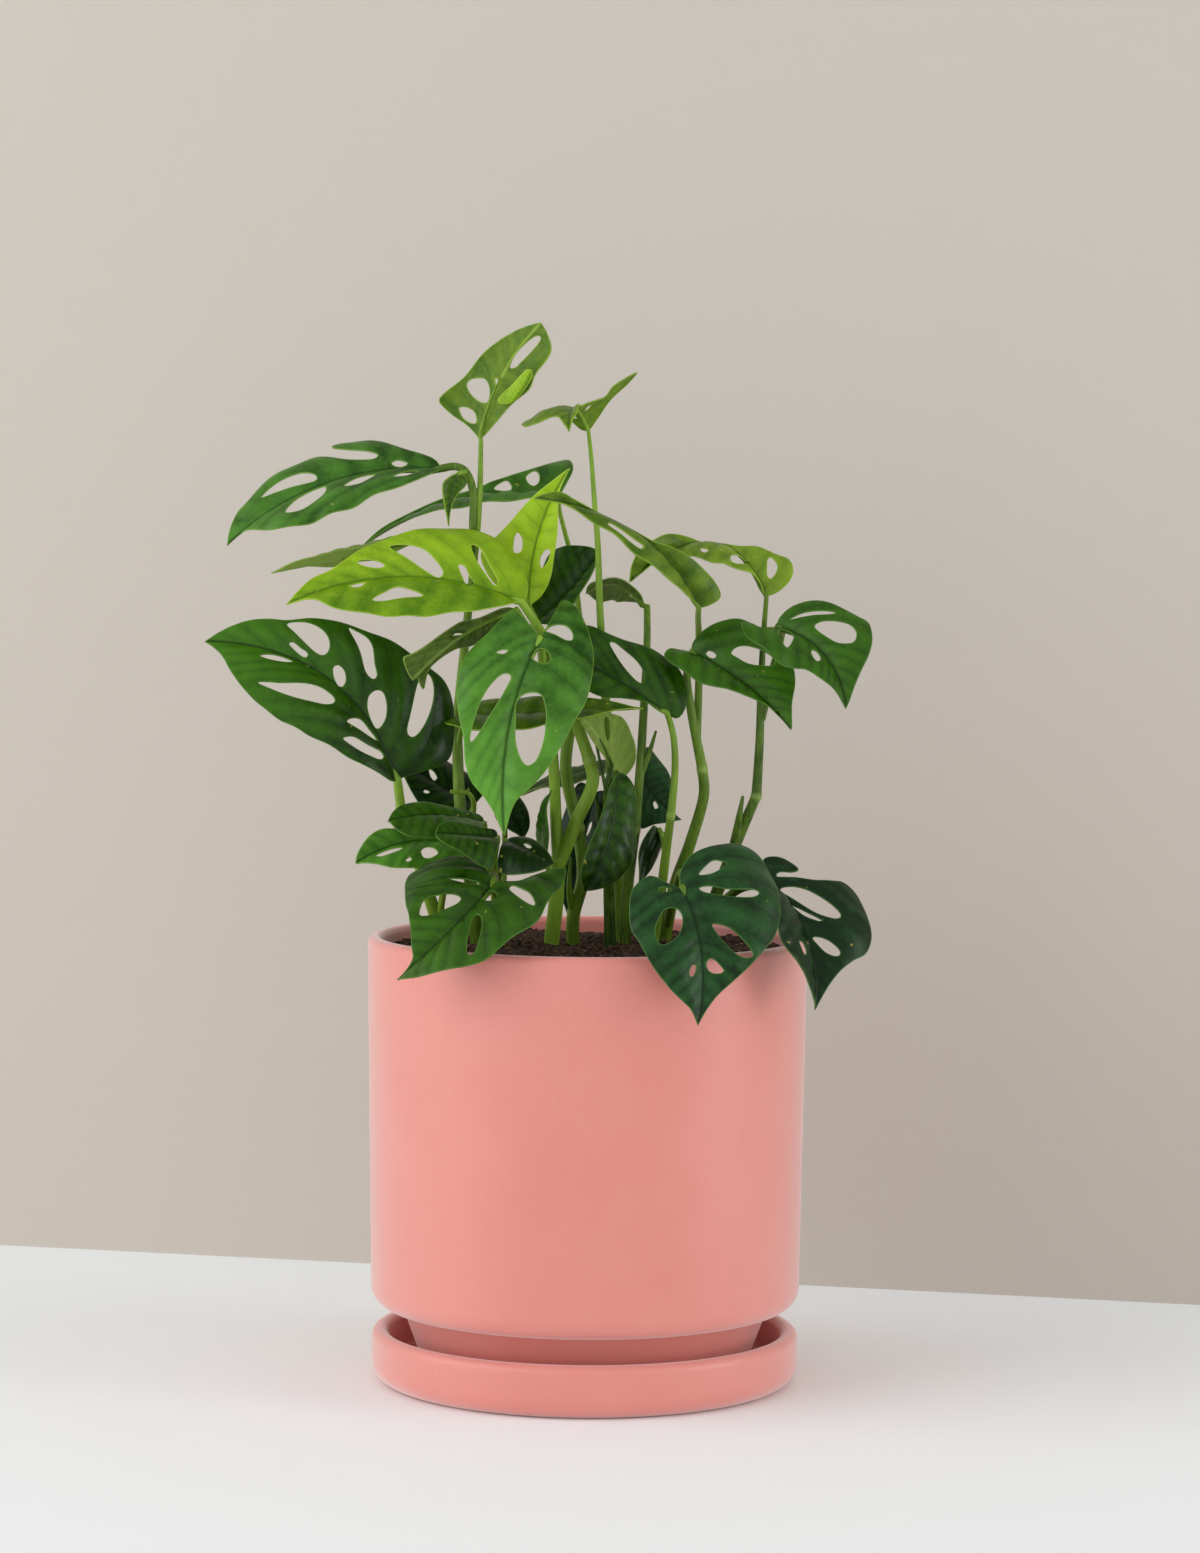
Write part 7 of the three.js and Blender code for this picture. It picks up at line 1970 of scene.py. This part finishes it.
def make_pot(glaze):
    lip = WALL / 2
    foot_bottom = SAUCER_FLOOR + GAP
    inner_floor = foot_bottom + FLOOR_THICKNESS
    body_radius = POT_RADIUS - POT_DRAFT
    inner_radius = POT_RADIUS - WALL
    wall_bottom = BODY_BOTTOM + BODY_ROUNDING
    return turned("glazed_pot", [
        (DRAIN_RADIUS, foot_bottom),
        (FOOT_RADIUS - FOOT_EDGE, foot_bottom),
        *arc((FOOT_RADIUS - FOOT_EDGE, foot_bottom + FOOT_EDGE), FOOT_EDGE, -60, 0, 3),
        (FOOT_TOP_RADIUS - FOOT_SLANT_TOP[0], BODY_BOTTOM - FOOT_SLANT_TOP[1]),
        *arc((FOOT_TOP_RADIUS + NECK_OUT, BODY_BOTTOM - FOOT_NECK), FOOT_NECK, 160, 90, 4),
        *arc((body_radius - BODY_ROUNDING, wall_bottom), BODY_ROUNDING, -80, 0, ROUNDING_CUTS),
        *[(body_radius + POT_DRAFT * t, wall_bottom + DRAFT_RISE * t) for t in DRAFT_POINTS],
        *arc((POT_RADIUS - lip, POT_TOP - lip), lip, 0, 180, LIP_CUTS),
        (inner_radius - INSIDE_BEND[0], SOIL_TOP - INSIDE_BEND[1]),
        (inner_radius - POT_DRAFT, wall_bottom),
        (FOOT_TOP_RADIUS - WALL, BODY_BOTTOM),
        (FOOT_RADIUS - WALL, inner_floor),
        (DRAIN_RADIUS, inner_floor),
    ], glaze)


def make_saucer(glaze):
    lip = SAUCER_RIM / 2
    inner = SAUCER_RADIUS - SAUCER_RIM
    hollow, ring_inner, ring_outer = (SAUCER_BASE_RADIUS - inset for inset in BASE_RING)
    channel = (inner - CHANNEL_ROUNDING, SAUCER_FLOOR + CHANNEL_ROUNDING)
    return turned("glazed_saucer", [
        (0, BASE_HOLLOW),
        (hollow, BASE_HOLLOW),
        (ring_inner, 0),
        (ring_outer, 0),
        *arc((SAUCER_BASE_RADIUS, SAUCER_ROUNDING), SAUCER_ROUNDING, -88, 0, ROUNDING_CUTS),
        *arc((SAUCER_RADIUS - lip, SAUCER_HEIGHT - lip), lip, 0, 180, LIP_CUTS),
        *arc(channel, CHANNEL_ROUNDING, 0, -90, 6),
        (0, SAUCER_FLOOR),
    ], glaze)


def soil_height(x, y):
    """The soil's top in mm: slow swells with quicker ones on them."""
    coarse = np.sin(0.11 * x + 1.3) * np.cos(0.13 * y - 0.4)
    fine = 0.6 * np.sin(0.37 * x - 0.21 * y) * np.cos(0.29 * y + 0.5)
    return SOIL_TOP + SOIL_RELIEF * (coarse + fine)


def soil_top_mesh(name, radius, step):
    """The soil's upper face as rings of points, for the body and for its crumbs."""
    rings = round(radius / step)
    places, polygons, last = [(0.0, 0.0)], [], [0]
    for ring in range(1, rings + 1):
        sides = 6 * ring
        here = [len(places) + i for i in range(sides)]
        turn = 2 * math.pi * np.arange(sides) / sides
        out = radius * ring / rings
        places += [(out * math.cos(a), out * math.sin(a)) for a in turn]
        inner = 0
        for i in range(sides):
            ahead = here[(i + 1) % sides]
            polygons.append((here[i], ahead, last[inner % len(last)]))
            if (i + 1) % ring and len(last) > 1:
                polygons.append((ahead, last[(inner + 1) % len(last)], last[inner % len(last)]))
                inner += 1
        last = here
    x, y = np.array(places).T
    mesh = bpy.data.meshes.new(name)
    mesh.from_pydata((np.column_stack([x, y, soil_height(x, y)]) * MM).tolist(), [], polygons)
    return mesh, last


def make_soil(peat_skin):
    """The plug of soil: its uneven top, and sides that follow the pot's inside down to its floor."""
    mesh, rim = soil_top_mesh("soil_top", SOIL_RADIUS, SOIL_STEP)
    places = [tuple(v.co) for v in mesh.vertices]
    polygons = [tuple(p.vertices) for p in mesh.polygons]
    floor = SAUCER_FLOOR + 2 * GAP + FLOOR_THICKNESS
    sides = [
        (SOIL_RADIUS, SOIL_TOP - SOIL_EDGE),
        (SOIL_RADIUS - POT_DRAFT - GAP, BODY_BOTTOM + BODY_ROUNDING + SOIL_CLEAR),
        (FOOT_TOP_RADIUS - WALL - GAP - SOIL_CLEAR, BODY_BOTTOM + SOIL_CLEAR),
        (FOOT_RADIUS - WALL - GAP - SOIL_CLEAR, floor),
    ]
    above = rim
    for radius, height in sides:
        scale = radius / SOIL_RADIUS
        below = [len(places) + i for i in range(len(rim))]
        places += [(places[i][0] * scale, places[i][1] * scale, height * MM) for i in rim]
        for i in range(len(rim)):
            j = (i + 1) % len(rim)
            polygons.append((above[j], above[i], below[i], below[j]))
        above = below
    polygons.append(tuple(reversed(above)))
    return shaped("soil_plug", places, polygons, peat_skin)


# The draws of a grain's size and turn, and the noise that breaks its round form: patches for each metre,
# and how far it shifts a point
SIZE_SEED = 3
TURN_SEED = 5
BREAK_SCALE = 900.0
BREAK_SHIFT = 2.2 * MM


def crumb_tree(skin):
    """Crumbs strewn over a face: rough round grains, pressed a little flat, each turned its own way."""
    tree = bpy.data.node_groups.new("strewn_crumbs", "GeometryNodeTree")
    named = (
        ("Ground", "Geometry"), ("Density", "Float"), ("Smallest", "Float"), ("Largest", "Float"),
        ("Length", "Float"), ("Flatness", "Float"), ("Seed", "Int"),
    )
    for label, kind in named:
        tree.interface.new_socket(label, in_out="INPUT", socket_type="NodeSocket" + kind)
    tree.interface.new_socket("Crumbs", in_out="OUTPUT", socket_type="NodeSocketGeometry")
    given = add_node(tree, "NodeGroupInput").outputs
    strewn = add_node(tree, "GeometryNodeDistributePointsOnFaces", {
        "Mesh": given["Ground"], "Density": given["Density"], "Seed": given["Seed"],
    }).outputs[0]
    grain = add_node(tree, "GeometryNodeMeshIcoSphere", {"Radius": 1.0, "Subdivisions": 1}).outputs[0]
    sockets = {2: given["Smallest"], 3: given["Largest"], "Seed": SIZE_SEED}
    size = add_node(tree, "FunctionNodeRandomValue", sockets)
    sockets = {0: given["Length"], 1: 1.0, 2: given["Flatness"]}
    shape = add_node(tree, "ShaderNodeCombineXYZ", sockets).outputs[0]
    sockets = {0: shape, 3: size.outputs[1]}
    scaled = add_node(tree, "ShaderNodeVectorMath", sockets, operation="SCALE").outputs[0]
    turn = add_node(tree, "FunctionNodeRandomValue", {
        0: (-0.5, -0.5, 0.0), 1: (0.5, 0.5, 2 * math.pi), "Seed": TURN_SEED,
    }, data_type="FLOAT_VECTOR").outputs[0]
    placed_grains = add_node(tree, "GeometryNodeInstanceOnPoints", {
        "Points": strewn, "Instance": grain, "Rotation": turn, "Scale": scaled,
    }).outputs[0]
    real = add_node(tree, "GeometryNodeRealizeInstances", {"Geometry": placed_grains}).outputs[0]
    where = add_node(tree, "GeometryNodeInputPosition").outputs[0]
    rough = add_node(tree, "ShaderNodeTexNoise", {"Vector": where, "Scale": BREAK_SCALE}).outputs["Color"]
    sockets = {0: rough, 1: (0.5, 0.5, 0.5)}
    centred = add_node(tree, "ShaderNodeVectorMath", sockets, operation="SUBTRACT").outputs[0]
    sockets = {0: centred, 3: BREAK_SHIFT}
    shift = add_node(tree, "ShaderNodeVectorMath", sockets, operation="SCALE").outputs[0]
    sockets = {"Geometry": real, "Offset": shift}
    broken = add_node(tree, "GeometryNodeSetPosition", sockets).outputs[0]
    dressed = add_node(tree, "GeometryNodeSetMaterial", {"Geometry": broken, "Material": skin}).outputs[0]
    add_node(tree, "NodeGroupOutput", {"Crumbs": dressed})
    return tree


def loose_grains(name, margin, skin, **grains):
    """Grains strewn on the soil, but for a margin in mm along the pot."""
    ground = soil_top_mesh("ground", SOIL_RADIUS - margin, STREWN_STEP)[0]
    return grown(name, ground, crumb_tree(skin), **grains)


# The plant
skins = blade_skins()
blades = {name: make_blade(name.replace("leaf", "blade"), spec) for name, spec in LEAVES.items()}
crown_fold = make_blade("blade_crown_fold", CROWN_FOLD)
stems = stem_tree(stem_skin())
stalks = {
    name: make_shoot(name.replace("shoot", "stems"), parts, stems, STEM_SHADES[name])
    for name, parts in SHOOTS.items()
}

# The pot
glaze = satin_glaze()
pot = make_pot(glaze)
saucer = make_saucer(glaze)

# The soil
soil = make_soil(peat("damp peat", "#1c120c", "#4a3325", 700.0))
crumbs = loose_grains(
    "soil_crumbs", 1.5, peat("peat crumbs", "#20140d", "#5e4434", 400.0),
    Density=260000.0, Smallest=0.5 * MM, Largest=1.5 * MM, Length=1.2, Flatness=0.75, Seed=4,
)
bark = loose_grains(
    "bark_chips", 3.0, peat("bark chips and fibre", "#3a2418", "#9a7458", 300.0),
    Density=26000.0, Smallest=0.45 * MM, Largest=0.9 * MM, Length=3.6, Flatness=0.35, Seed=9,
)

# Stage: a pale floor and a plain grey-beige wall that stands askew behind the pot. The wall has a front
# only, so the pot shows from behind too. Places are in metres.
PAINT_SPECULAR = 0.2
WALL_LEFT = (-0.2822, 0.3060)
WALL_RIGHT = (0.2767, 0.1745)
WALL_REACH = 4.0
WALL_HEIGHT = 3.0
FLOOR_REACH = 4.0


def stage_plane(name, corners, colour, roughness, one_sided=False):
    mesh = bpy.data.meshes.new(name)
    mesh.from_pydata(corners, [], [(0, 1, 2, 3)])
    paint = {
        "Base Color": linear(colour), "Roughness": roughness, "Specular IOR Level": PAINT_SPECULAR,
    }
    material, tree, shader = new_material(name + " paint", paint)
    if one_sided:
        back = add_node(tree, "ShaderNodeNewGeometry").outputs["Backfacing"]
        clear = add_node(tree, "ShaderNodeBsdfTransparent").outputs[0]
        sides = add_node(tree, "ShaderNodeMixShader", {0: back, 1: shader.outputs[0], 2: clear}).outputs[0]
        painted = next(node for node in tree.nodes if node.type == "OUTPUT_MATERIAL")
        tree.links.new(sides, painted.inputs["Surface"])
    mesh.materials.append(material)
    plane = linked(name, mesh)


wall_middle = (Vector(WALL_LEFT) + Vector(WALL_RIGHT)) / 2
wall_course = (Vector(WALL_RIGHT) - Vector(WALL_LEFT)).normalized()
wall_ends = [wall_middle + wall_course * reach for reach in (-WALL_REACH, WALL_REACH)]
stage_plane("floor", [
    (-FLOOR_REACH, -FLOOR_REACH, 0), (FLOOR_REACH, -FLOOR_REACH, 0), (FLOOR_REACH, FLOOR_REACH, 0),
    (-FLOOR_REACH, FLOOR_REACH, 0),
], colour="#f3f7f8", roughness=0.7)
stage_plane("wall", [
    (*wall_ends[0], 0), (*wall_ends[1], 0), (*wall_ends[1], WALL_HEIGHT), (*wall_ends[0], WALL_HEIGHT),
], colour="#c2bab0", roughness=0.9, one_sided=True)


# Lights: a broad soft box high on the left, a weaker one on the right, a faint low one in front, and an
# even glow all round

def softbox(name, place, aim, size, power):
    data = bpy.data.lights.new(name, "AREA")
    data.shape = "RECTANGLE"
    data.size, data.size_y = size
    data.energy = power
    lamp = linked(name, data)
    lamp.location = place
    lamp.rotation_euler = (Vector(aim) - Vector(place)).to_track_quat("-Z", "Y").to_euler()


softbox("key_softbox", place=(-1.9, -0.8, 0.95), aim=(0, 0, 0.2), size=(2.4, 2.2), power=29.0)
softbox("side_softbox", place=(1.5, -0.5, 0.4), aim=(0, 0.1, 0.12), size=(0.7, 1.1), power=8.5)
softbox("front_softbox", place=(-0.2, -1.7, 0.15), aim=(0, 0, 0.04), size=(1.8, 0.5), power=2.2)

world = bpy.data.worlds.new("studio glow")
world.use_nodes = True
glow = world.node_tree.nodes["Background"].inputs
glow["Color"].default_value = linear("#f8fafc")
glow["Strength"].default_value = 0.74
bpy.context.scene.world = world


def dress(piece, node, stands_in=True):
    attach(piece, "root")
    if stands_in:
        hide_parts(node)


for name, blade in blades.items():
    dress(blade, name)
for name, stalk in stalks.items():
    dress(stalk, name)
dress(pot, "pot")
dress(saucer, "saucer")
dress(soil, "soil")
dress(crown_fold, "leaf_crown", stands_in=False)
dress(crumbs, "soil", stands_in=False)
dress(bark, "soil", stands_in=False)
